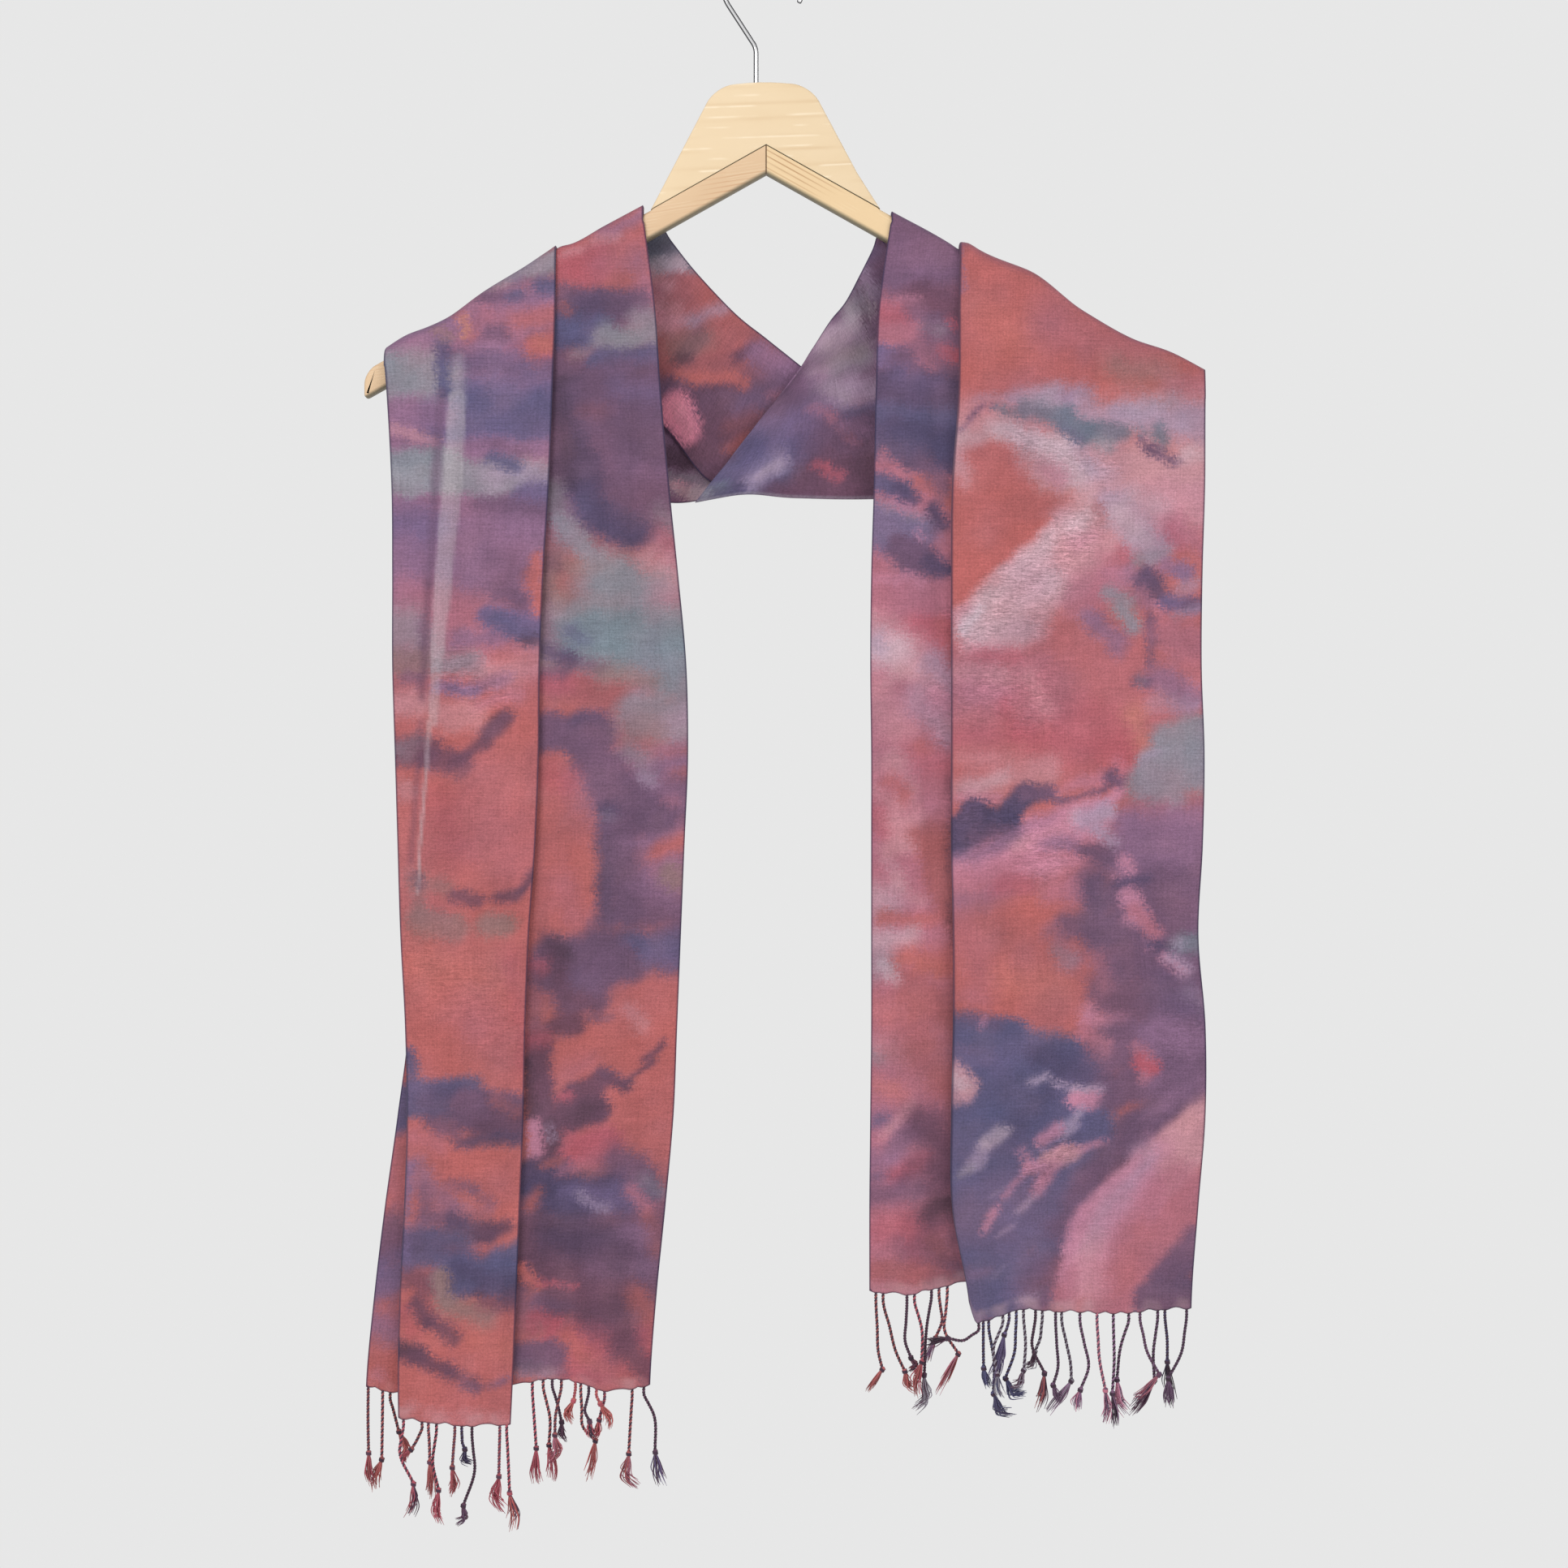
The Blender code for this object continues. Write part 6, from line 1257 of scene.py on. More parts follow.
def new_group(name, values):
    """A shader group that takes a vector and named values, and what is given to it."""
    group = bpy.data.node_groups.new(name, "ShaderNodeTree")
    group.interface.new_socket("Vector", in_out="INPUT", socket_type="NodeSocketVector")
    for socket_name, value in values.items():
        socket = group.interface.new_socket(socket_name, in_out="INPUT", socket_type="NodeSocketFloat")
        socket.default_value = value
    return group, group.nodes.new("NodeGroupInput").outputs


def finish_group(group, results):
    """Gives the group its named results."""
    for name in results:
        group.interface.new_socket(name, in_out="OUTPUT", socket_type="NodeSocketFloat")
    output = group.nodes.new("NodeGroupOutput")
    for name, source in results.items():
        group.links.new(source, output.inputs[name])
    return group


def make_weave_group():
    """Plain weave of uneven threads on a vector in metres of cloth: a tint about 1 and a height."""
    group, given = new_group("plain_weave", {"Thread Pitch": 0.00055, "Unevenness": 1.0})
    place = add_split(group, given["Vector"])
    waves = []
    for axis in ("X", "Y"):
        turns = add_math(group, "DIVIDE", place[axis], given["Thread Pitch"])
        waves.append(add_math(group, "SINE", add_math(group, "MULTIPLY", turns, math.pi)))
    weave = add_math(group, "MULTIPLY", *waves)
    warp = add_noise(group, given["Vector"], (1300, 45, 1), detail=1.5)
    weft = add_noise(group, given["Vector"], (40, 1100, 1), detail=1.5)
    slubs = add_noise(group, given["Vector"], (900, 900, 1), detail=1.5)
    threads = add_math(group, "MULTIPLY_ADD", add_math(group, "ADD", warp, weft), 0.75, -0.75)
    threads = add_math(group, "ADD", threads, add_math(group, "MULTIPLY_ADD", slubs, 1.5, -0.75))
    threads = add_math(group, "MULTIPLY", threads, given["Unevenness"])
    tint = add_math(group, "MULTIPLY_ADD", threads, 0.42, 1.0)
    tint = add_math(group, "MULTIPLY_ADD", weave, 0.03, tint)
    height = add_math(group, "MULTIPLY_ADD", weave, 0.25, threads)
    return finish_group(group, {"Tint": tint, "Height": height})


def make_crinkle_group():
    """Broken crinkles along the weft of a vector in metres: each a dark and a light side, as painted shade
    and highlight and as relief.
    """
    group, given = new_group("weft_crinkles", {"Depth": 1.0})
    sides = []
    for stretch in ((95, 520, 1), (150, 780, 1)):
        lines = add_noise(group, given["Vector"], stretch, distortion=0.2)
        side = add_math(group, "MULTIPLY_ADD", lines, 10.0, -5.0)
        side = add_math(group, "MINIMUM", add_math(group, "MAXIMUM", side, -1.0), 1.0)
        fade = add_math(group, "SUBTRACT", 1.0, add_math(group, "ABSOLUTE", side))
        sides.append(add_math(group, "MULTIPLY", side, fade))
    relief_and_shade = add_math(group, "MULTIPLY", add_math(group, "ADD", *sides), given["Depth"])
    return finish_group(group, {"Relief": relief_and_shade})


def make_grain_group():
    """Wood grain along the vector's X, in metres: brown lines, pale streaks and a height."""
    group, given = new_group("wood_grain", {"Ring Scale": 60.0, "Wander": 2.0})
    vector = given["Vector"]
    bands = []
    for stretch, sharpness in (((0.12, 0.3, 1.0), 7.0), ((0.2, 0.3, 1.6), 14.0)):
        wave = add_node(group, "ShaderNodeTexWave", {"Detail": 2.0, "Detail Scale": 0.6},
                        wave_type="BANDS", bands_direction="Z")
        group.links.new(add_mapping(group, vector, {"Scale": stretch}), wave.inputs["Vector"])
        group.links.new(given["Ring Scale"], wave.inputs["Scale"])
        group.links.new(given["Wander"], wave.inputs["Distortion"])
        bands.append(add_math(group, "POWER", wave.outputs["Fac"], sharpness))
    fade = add_ramp(group, add_noise(group, vector, (20, 20, 60), detail=1.0), 0.36, 3.5)
    breaks = add_ramp(group, add_noise(group, vector, (45, 60, 120), detail=1.0), 0.46, 8.0)
    pores = add_noise(group, vector, (40, 300, 1100))
    lines = add_math(group, "MULTIPLY", bands[0], fade)
    streaks = add_math(group, "MULTIPLY", bands[1], breaks)
    height = add_math(group, "MULTIPLY_ADD", streaks, 0.5, add_math(group, "MULTIPLY", pores, 0.7))
    return finish_group(group, {"Lines": lines, "Streaks": streaks, "Height": height})


def place_group(tree, group, vector, values=None):
    """The results of a group on a vector, by name."""
    node = add_node(tree, "ShaderNodeGroup", values, node_tree=group)
    tree.links.new(vector, node.inputs["Vector"])
    return node.outputs


def add_bump(tree, shader, height, distance, strength):
    bump = add_node(tree, "ShaderNodeBump", {"Strength": strength, "Distance": distance})
    tree.links.new(height, bump.inputs["Height"])
    tree.links.new(bump.outputs["Normal"], shader.inputs["Normal"])


def make_dyed_cloth(weave, crinkles):
    """Dyed viscose: the dye attribute, with painted shade along edges, over the arms and in the crinkles,
    painted light at the hem, and the weave.
    """
    material, tree, shader = new_material("dyed_cloth", {
        "Roughness": 0.82, "Sheen Weight": 0.12, "Sheen Roughness": 0.5, "Specular IOR Level": 0.25,
    })
    cloth = add_node(tree, "ShaderNodeUVMap", uv_map="cloth").outputs["UV"]
    across = add_noise(tree, cloth, (300, 1000, 1), detail=3.0, distortion=0.3)
    upright = add_noise(tree, cloth, (1000, 400, 1), detail=3.0, distortion=0.3)
    feathers = add_math(tree, "ADD", across, upright)
    feathers = add_math(tree, "MULTIPLY_ADD", feathers, 3.5, -3.0, clamp=True)
    colour = add_mix(tree, feathers, add_attribute(tree, "dye"), add_attribute(tree, "dye_beside"))
    woven = place_group(tree, weave, cloth)
    relief_and_shade = place_group(tree, crinkles, cloth)["Relief"]
    relief_and_shade = add_math(tree, "MULTIPLY", relief_and_shade, add_attribute(tree, "crinkle", "Fac"))
    blotches = add_noise(tree, cloth, (240, 240, 1), detail=3.0)
    blotches = add_math(tree, "MULTIPLY_ADD", blotches, 0.14, 0.93)
    tint = add_math(tree, "MULTIPLY", woven["Tint"], blotches)
    # Painted shade and highlight: the crinkles darken and lighten the colour on their two sides.
    tint = add_math(tree, "MULTIPLY_ADD", tint, relief_and_shade, tint)
    colour = add_shade(tree, colour, tint)
    # Painted light: a patchy paler band along the hem, as light showing through its single layer.
    thin = add_ramp(tree, add_noise(tree, cloth, (70, 50, 1), detail=1.0), 0.42, 4.0)
    hem_light = add_ramp(tree, add_attribute(tree, "from_hem", "Fac"), 8.0, -1 / 3)
    hem_light = add_math(tree, "MULTIPLY", hem_light, thin)
    colour = add_tone(tree, colour, hem_light, 0.28, (206, 170, 176))
    # Painted shade: a dark line along folds and edges, where the cloth turns edge-on.
    edge_shade = add_ramp(tree, add_attribute(tree, "from_edge", "Fac"), 1.1, -1 / 0.7)
    colour = add_tone(tree, colour, edge_shade, 0.75, (48, 40, 72))
    # Painted shade: darker where the cloth faces upward, as over the tops of the arms.
    facing = add_split(tree, add_node(tree, "ShaderNodeNewGeometry").outputs["True Normal"])
    crest_shade = add_math(tree, "MULTIPLY_ADD", facing["Z"], 2.2, -0.9, clamp=True)
    colour = add_tone(tree, colour, crest_shade, 0.5, (70, 58, 92))
    tree.links.new(colour, shader.inputs["Base Color"])
    height = add_math(tree, "MULTIPLY_ADD", relief_and_shade, 2.5, woven["Height"])
    add_bump(tree, shader, height, 0.00022, 0.6)
    return material


def make_fringe_thread():
    """Twisted threads in the colours of their own attribute, with fine fibres."""
    material, tree, shader = new_material("fringe_thread", {
        "Roughness": 0.85, "Sheen Weight": 0.15, "Specular IOR Level": 0.25,
    })
    place = add_node(tree, "ShaderNodeTexCoord").outputs["Object"]
    fibres = add_noise(tree, place, (3000, 3000, 900))
    shade = add_math(tree, "MULTIPLY_ADD", fibres, 0.5, 0.75)
    colour = add_shade(tree, add_attribute(tree, "dye"), shade)
    tree.links.new(colour, shader.inputs["Base Color"])
    add_bump(tree, shader, fibres, 0.00015, 0.5)
    return material


def make_pale_wood(name, grain, turn, colours, ring_scale, wander, line_share, mitred=False):
    """Pale wood: its grain runs along X after a turn about Y, in degrees. Its sides and underside take
    painted shade. Mitred wood has the dark joint line at the middle."""
    body, streak, line = colours
    material, tree, shader = new_material(name, {"Specular IOR Level": 0.3})
    place = add_node(tree, "ShaderNodeTexCoord").outputs["Object"]
    turned = add_mapping(tree, place, {"Rotation": (0, math.radians(turn), 0)})
    grained = place_group(tree, grain, turned, {"Ring Scale": ring_scale, "Wander": wander})
    clouds = add_noise(tree, turned, (14, 14, 50), detail=3.0)
    colour = add_tone(tree, body, clouds, 0.4, streak)
    colour = add_tone(tree, colour, grained["Lines"], line_share, line)
    colour = add_tone(tree, colour, grained["Streaks"], 0.8, streak)
    # Painted shade: the sides, which face neither front nor back, take a darker brown.
    facing = add_split(tree, add_node(tree, "ShaderNodeNewGeometry").outputs["Normal"])
    level = add_math(tree, "ABSOLUTE", facing["Y"])
    side = add_math(tree, "MULTIPLY_ADD", level, -1.4, 1.0, clamp=True)
    colour = add_tone(tree, colour, side, 0.55, (150, 112, 76))
    # Painted shade: faces that turn downward take a dark grey-green.
    below = add_math(tree, "MULTIPLY_ADD", facing["Z"], -1.8, -0.2, clamp=True)
    colour = add_tone(tree, colour, below, 0.75, (96, 100, 84))
    if mitred:
        aside = add_math(tree, "SUBTRACT", add_split(tree, place)["X"], MITRE_X * MM)
        joint = add_math(tree, "LESS_THAN", add_math(tree, "ABSOLUTE", aside), JOINT_HALF_WIDTH * MM)
        colour = add_tone(tree, colour, joint, 0.75, (112, 84, 58))
    tree.links.new(colour, shader.inputs["Base Color"])
    gloss = add_math(tree, "MULTIPLY_ADD", clouds, 0.2, 0.42)
    tree.links.new(gloss, shader.inputs["Roughness"])
    add_bump(tree, shader, grained["Height"], 0.0002, 0.3)
    return material


def make_plated_wire():
    """Polished steel wire with a painted reflection: bright along its middle and dark along its edges."""
    material, tree, shader = new_material("plated_wire", {"Metallic": 1.0})
    place = add_node(tree, "ShaderNodeTexCoord").outputs["Object"]
    lines = add_noise(tree, place, (900, 900, 60))
    # Painted reflection: the colour darkens where the surface turns away from view.
    painted_reflection = add_node(tree, "ShaderNodeLayerWeight", {"Blend": 0.5}).outputs["Facing"]
    dark = add_ramp(tree, painted_reflection, 0.05, 5.0)
    tree.links.new(add_mix(tree, dark, (236, 236, 236), (66, 66, 70)), shader.inputs["Base Color"])
    gloss = add_math(tree, "MULTIPLY_ADD", lines, 0.12, 0.2)
    tree.links.new(gloss, shader.inputs["Roughness"])
    add_bump(tree, shader, lines, 0.00002, 0.15)
    return material


# Cloth pieces

def finish_mesh(name, points, faces, material):
    mesh = bpy.data.meshes.new(name)
    mesh.from_pydata((points * MM).tolist(), [], faces)
    mesh.materials.append(material)
    mesh.polygons.foreach_set("use_smooth", np.ones(len(faces), bool))
    piece = bpy.data.objects.new(name, mesh)
    bpy.context.scene.collection.objects.link(piece)
    return piece


def set_colours(mesh, name, display):
    """A colour attribute: one display colour for each vertex."""
    attribute = mesh.attributes.new(name, "FLOAT_COLOR", "POINT")
    rgba = np.ones((len(display), 4), np.float32)
    rgba[:, :3] = linear(np.clip(display, 0, 255))
    attribute.data.foreach_set("color", rgba.ravel())


def set_values(mesh, name, values):
    attribute = mesh.attributes.new(name, "FLOAT", "POINT")
    attribute.data.foreach_set("value", values.astype(np.float32).ravel())


def cloth_piece(name, points, colours, along, from_edge, from_hem, material):
    """A thin shell of cloth about a grid of points, with its dye, which also holds painted shade and light,
    and its own cloth coordinates.
    Along is each point's place along the warp."""
    columns, rows = points.shape[:2]
    corner = np.arange(columns * rows).reshape(columns, rows)
    faces = np.stack([corner[:-1, :-1], corner[:-1, 1:], corner[1:, 1:], corner[1:, :-1]], -1)
    piece = finish_mesh(name, points.reshape(-1, 3), faces.reshape(-1, 4).tolist(), material)
    mesh = piece.data
    for way, shades in zip(("dye", "dye_beside"), colours):
        set_colours(mesh, way, shades.reshape(-1, 3))
    set_values(mesh, "from_edge", from_edge + 0 * points[..., 0])
    set_values(mesh, "from_hem", from_hem + 0 * points[..., 0])
    crinkle = CRINKLE_EVERYWHERE + 0 * points[..., 0]
    for _, mask in patch_masks(CRINKLES, points[..., 0], points[..., 2]):
        crinkle = np.maximum(crinkle, mask)
    set_values(mesh, "crinkle", crinkle)
    across = np.linalg.norm(np.diff(points, axis=0), axis=2)
    middle = across[:, rows // 2:].mean(axis=1)
    u = np.concatenate([[0], np.cumsum(middle)])[:, None] + np.zeros((1, rows))
    place = np.stack([u, along + 0 * u], -1).reshape(-1, 2) * MM
    layer = mesh.uv_layers.new(name="cloth")
    at = np.zeros(len(mesh.loops), int)
    mesh.loops.foreach_get("vertex_index", at)
    layer.data.foreach_set("uv", place[at].astype(np.float32).ravel())
    shell = piece.modifiers.new("thickness", "SOLIDIFY")
    shell.thickness = CLOTH_THICKNESS * MM
    shell.offset = 0
    apply_modifiers(piece)
    return piece


def apply_modifiers(piece):
    bpy.ops.object.select_all(action="DESELECT")
    bpy.context.view_layer.objects.active = piece
    piece.select_set(True)
    for modifier in list(piece.modifiers):
        bpy.ops.object.modifier_apply(modifier=modifier.name)
    piece.select_set(False)


def edge_distance(points, left_column, right_free):
    """Distance of each point from the panel's left edge or fold, and from a free right edge."""
    x = points[..., 0]
    from_left = np.abs(x - x[left_column])
    return np.minimum(from_left, np.abs(x - x[-1])) if right_free else from_left


def cloth_area(points):
    """Mean width and length of a grid of points along the cloth, in metres."""
    across = np.linalg.norm(np.diff(points, axis=0), axis=2).sum(axis=0)
    down = np.linalg.norm(np.diff(points, axis=1), axis=2).sum(axis=1)
    return across.mean() * MM, down.mean() * MM


# Fringe pieces

PLY_RADIUS = 0.54
PLY_FROM_MIDDLE = 0.46
TWIST_LENGTH = 3.1
WRAP_RADIUS = 0.66
WRAP_TURNS = 2
WRAP_POINTS = 26
KNOT_RADII = (0.6, 1.1, 1.4, 1.5, 1.4, 1.2, 0.8)
FIBRE_COUNT = 24
FIBRE_RADII = (0.34, 0.3, 0.12)
FRAYED_SHARE = 0.62


def smooth_line(through, spacing):
    """Points at an even spacing on a smooth line through the given ones."""
    through = np.array(through, float)
    reach = np.concatenate([[0], np.cumsum(np.linalg.norm(np.diff(through, axis=0), axis=1))])
    columns = {"s": reach, "x": through[:, 0], "y": through[:, 1], "z": through[:, 2]}
    s = np.linspace(0, reach[-1], max(int(reach[-1] / spacing), 3) + 1)
    return np.stack([smooth_at(columns, "s", axis, s) for axis in "xyz"], -1), s


def frames_along(line):
    """Two directions across a line at each of its points."""
    heading = np.gradient(line, axis=0)
    heading /= np.linalg.norm(heading, axis=1, keepdims=True) + 1e-9
    first = np.cross(heading, (0.13, 0.98, 0.11))
    first /= np.linalg.norm(first, axis=1, keepdims=True) + 1e-9
    return first, np.cross(heading, first)


def tube(line, radii, sides, start_turn=0.0):
    """Vertices and faces of a closed tube about a line."""
    first, second = frames_along(line)
    angle = np.linspace(0, 2 * math.pi, sides, endpoint=False) + start_turn
    radii = np.broadcast_to(radii, len(line))[:, None, None]
    ring = first[:, None] * np.cos(angle)[None, :, None] + second[:, None] * np.sin(angle)[None, :, None]
    vertices = (line[:, None] + ring * radii).reshape(-1, 3)
    faces = []
    for row in range(len(line) - 1):
        for side in range(sides):
            after = (side + 1) % sides
            faces.append((row * sides + side, row * sides + after,
                          (row + 1) * sides + after, (row + 1) * sides + side))
    faces.append(tuple(reversed(range(sides))))
    faces.append(tuple(range(len(vertices) - sides, len(vertices))))
    return vertices, faces


def strand_parts(root, row, depth, threads, dice):
    """One strand of the fringe: two twisted plies, a knot and a frayed end. Yields tubes as
    (vertices, faces, dye)."""
    _, mid_x, mid_drop, knot_x, knot_drop, end_x, end_drop = row
    ply_one, ply_two, frayed = threads.split()
    at = [root + np.array(step) for step in (
        (0, 0, 4.2),
        (0, 0, 0.2),
        (mid_x * 0.5, depth * 0.7, -mid_drop * 0.5),
        (mid_x, depth, -mid_drop),
        (knot_x, depth, -knot_drop),
    )]
    line, s = smooth_line(at, 0.5)
    side, front = frames_along(line)
    twist = s / TWIST_LENGTH * 2 * math.pi
    for ply, dye in ((0.0, ply_one), (math.pi, ply_two)):
        turn = (twist + ply)[:, None]
        aside = (side * np.cos(turn) + front * np.sin(turn)) * PLY_FROM_MIDDLE
        yield (*tube(line + aside, PLY_RADIUS, 5), dye)
    knot = at[4]
    to_end = np.array((end_x - knot_x, 0.0, knot_drop - end_drop))
    length = np.linalg.norm(to_end)
    to_end /= length
    toward_back = np.array((0, 1, 0))
    across = np.cross(to_end, toward_back)
    swing = np.linspace(0, 2 * math.pi * WRAP_TURNS, WRAP_POINTS)[:, None]
    wrap = (knot + across * np.cos(swing) + toward_back * np.sin(swing)
            + to_end * np.linspace(-0.6, 1.0, WRAP_POINTS)[:, None])
    yield (*tube(wrap, WRAP_RADIUS, 6), ply_one)
    centre = knot + to_end * np.linspace(-1.6, 1.9, len(KNOT_RADII))[:, None]
    yield (*tube(centre, KNOT_RADII, 8), ply_two)
    lean = across * dice.normal(0, 1.4)
    for _ in range(FIBRE_COUNT):
        angle = dice.uniform(0, 2 * math.pi)
        spread = dice.uniform(0.15, 1.0) * min(length * 0.2, 3.2)
        reach = length * dice.uniform(0.62, 1.08)
        bend = dice.normal(0, 0.8, 3) + lean
        aim = across * math.cos(angle) + toward_back * math.sin(angle)
        through = [
            knot + to_end * 0.6 + aim * 0.3,
            knot + to_end * reach * 0.35 + aim * (0.5 + spread * 0.35) + bend * 0.4,
            knot + to_end * reach * 0.7 + aim * spread * 0.8 + bend,
            knot + to_end * reach + aim * spread + bend * 0.6 - lean * 1.3,
        ]
        fibre, along = smooth_line(through, 1.5)
        radii = np.interp(along / along[-1], (0, 0.7, 1), FIBRE_RADII)
        yield (*tube(fibre, radii, 4, angle), frayed if dice.uniform() < FRAYED_SHARE else ply_two)


def fringe_piece(name, hem, strands, threads, material, seed):
    """All strands of one hem as one mesh. The hem is the panel's last row of points."""
    dice = np.random.RandomState(seed)
    vertices, faces, colours, count = [], [], [], 0
    for number, row in enumerate(zip(*(strands[column] for column in STRAND_COLUMNS))):
        root = np.array((row[0], np.interp(row[0], hem[:, 0], hem[:, 1]),
                         np.interp(row[0], hem[:, 0], hem[:, 2]) + HEM_DROP - STRIP_DROP))
        depth = STRAND_DEPTHS[number % len(STRAND_DEPTHS)]
        for part_vertices, part_faces, dye in strand_parts(root, row, depth, threads[number], dice):
            vertices.append(part_vertices)
            faces += [tuple(index + count for index in face) for face in part_faces]
            shade = np.array(DYE_COLOURS[dye]) * dice.uniform(0.86, 1.12)
            colours.append(np.tile(shade, (len(part_vertices), 1)))
            count += len(part_vertices)
    piece = finish_mesh(name, np.concatenate(vertices), faces, material)
    set_colours(piece.data, "dye", np.concatenate(colours))
    return piece


# Hanger

PLATE_FEET = (-62.2, 65.0)
PLATE_FOOT_Z = -147.3
PLATE_TOP_X = -2.0
PLATE_TOP_Z = -76.0
PLATE_CORNERS = ((-26.4, -78.9), (26.1, -78.1))
PLATE_WAIST_Z = -127.0
PLATE_WAIST_STEP = -1.4
ARM_DROP = 15.6
NEAR_FACE = HALF_WOOD - 0.1
ARM_TIPS = (-221.4, 221.4)
HALF_MITRE_GAP = 0.03
FOOT_CLEARANCE = 0.5
PLATE_FOOT_RISE = 0.6
SHOULDER_RADIUS = 10.0
PEAK_RADIUS = 11.0
TIP_TOP_RADIUS = 7.0
TIP_FOOT_RADIUS = 3.0
PLATE_EDGE = 1.1
ARM_EDGE = 2.4
CRISP_EDGE = 0.25
WIRE_END_EDGE = 0.9
STEM_TURN = math.radians(33)
STEM_TURN_RADIUS = 10.0
CROWN_START = math.radians(213)
CROWN_TURN = math.radians(241)


def start_block(name, low, high, material):
    """A box between two corners in millimetres, left in edit mode."""
    bpy.ops.object.select_all(action="DESELECT")
    bpy.ops.mesh.primitive_cube_add(size=1)
    block = bpy.context.object
    block.name = name
    block.data.materials.append(material)
    bpy.ops.object.mode_set(mode="EDIT")
    bpy.ops.mesh.select_all(action="SELECT")
    bpy.ops.transform.resize(value=[(b - a) * MM for a, b in zip(low, high)], center_override=(0, 0, 0))
    bpy.ops.transform.translate(value=[(a + b) / 2 * MM for a, b in zip(low, high)])
    return block


def cut_along(start, end, keep_both=False):
    """Cuts the block along a line seen from the front and clears what is left of it."""
    bpy.ops.mesh.select_all(action="SELECT")
    outward = Vector((start[1] - end[1], 0, end[0] - start[0])).normalized()
    bpy.ops.mesh.bisect(plane_co=(start[0] * MM, 0, start[1] * MM), plane_no=outward,
                        use_fill=not keep_both, clear_outer=not keep_both)


def choose(block, kind, wanted):
    """Selects the vertices or edges whose middle, in millimetres, passes the test."""
    bpy.ops.mesh.select_mode(type=kind)
    bpy.ops.mesh.select_all(action="DESELECT")
    edit = bmesh.from_edit_mesh(block.data)
    for part in edit.verts if kind == "VERT" else edit.edges:
        ends = [part] if kind == "VERT" else list(part.verts)
        middle = sum((vertex.co for vertex in ends), Vector()) / len(ends) / MM
        part.select_set(bool(wanted(middle, part)))
    bmesh.update_edit_mesh(block.data)


def is_corner(edge):
    return len(edge.link_faces) == 2 and edge.calc_face_angle() > 0.5


def runs_across(edge):
    """True for an edge that runs through the wood from front to back."""
    return abs(edge.verts[0].co.y - edge.verts[1].co.y) > 0.001


def bevel(offset, segments):
    bpy.ops.mesh.bevel(offset=offset * MM, segments=segments, profile=0.5, affect="EDGES")


def finish_block():
    bpy.ops.mesh.select_all(action="SELECT")
    bpy.ops.mesh.remove_doubles(threshold=0.00001)
    bpy.ops.mesh.normals_make_consistent(inside=False)
    bpy.ops.object.mode_set(mode="OBJECT")
    bpy.ops.object.shade_smooth_by_angle(angle=math.radians(35))


def make_neck_plate(material):
    """The plate: sloped sides, rounded shoulders, a notch over both arms and a hole for the stem."""
    left, right = PLATE_CORNERS
    plate = start_block("neck_plate", (-80, -HALF_WOOD, PLATE_FOOT_Z), (84, HALF_WOOD, -70), material)
    cut_along((PLATE_FEET[0], PLATE_FOOT_Z), left)
    cut_along(left, (PLATE_TOP_X, PLATE_TOP_Z))
    cut_along((PLATE_TOP_X, PLATE_TOP_Z), right)
    cut_along(right, (PLATE_FEET[1], PLATE_FOOT_Z))
    for offset, segments, wanted in (
        (SHOULDER_RADIUS, 8, lambda place: place.z > -85 and abs(place.x - PLATE_TOP_X) > 5),
        (PEAK_RADIUS, 4, lambda place: abs(place.x - PLATE_TOP_X) < 1),
    ):
        choose(plate, "EDGE", lambda place, edge: wanted(place) and runs_across(edge))
        bevel(offset, segments)
    cut_along((MITRE_X, -160), (MITRE_X, -60), keep_both=True)
    seam_z = arm_top(MITRE_X) + SEAM_GAP * SLOPE_LENGTH
    choose(plate, "VERT", lambda place, _: abs(place.x - MITRE_X) < 0.1 and place.z < -140)
    bpy.ops.transform.translate(value=(0, 0, (seam_z - PLATE_FOOT_Z) * MM))
    choose(plate, "VERT", lambda place, _: place.x > 60 and place.z < -140)
    bpy.ops.transform.translate(value=(0, 0, PLATE_FOOT_RISE * MM))
    bpy.ops.mesh.select_all(action="SELECT")
    bpy.ops.mesh.bisect(plane_co=(0, 0, PLATE_WAIST_Z * MM), plane_no=(0, 0, 1))
    choose(plate, "VERT", lambda place, _: place.x > 30 and abs(place.z - PLATE_WAIST_Z) < 0.1)
    bpy.ops.transform.translate(value=(PLATE_WAIST_STEP * MM, 0, 0))
    choose(plate, "EDGE", lambda place, edge: is_corner(edge) and abs(place.y) > NEAR_FACE
           and place.z > arm_top(place.x) + 2)
    bevel(PLATE_EDGE, 3)
    choose(plate, "EDGE", lambda place, edge: is_corner(edge) and abs(place.y) > NEAR_FACE
           and place.z < arm_top(place.x) + 1)
    bevel(CRISP_EDGE, 1)
    finish_block()
    bpy.ops.mesh.primitive_cylinder_add(vertices=32, radius=(WIRE_RADIUS + SEAM_GAP) * MM, depth=0.04,
                                        location=(STEM_X * MM, 0, PLATE_TOP_Z * MM))
    drill = bpy.context.object
    hole = plate.modifiers.new("stem_hole", "BOOLEAN")
    hole.operation = "DIFFERENCE"
    hole.object = drill
    apply_modifiers(plate)
    bpy.data.objects.remove(drill)
    return plate


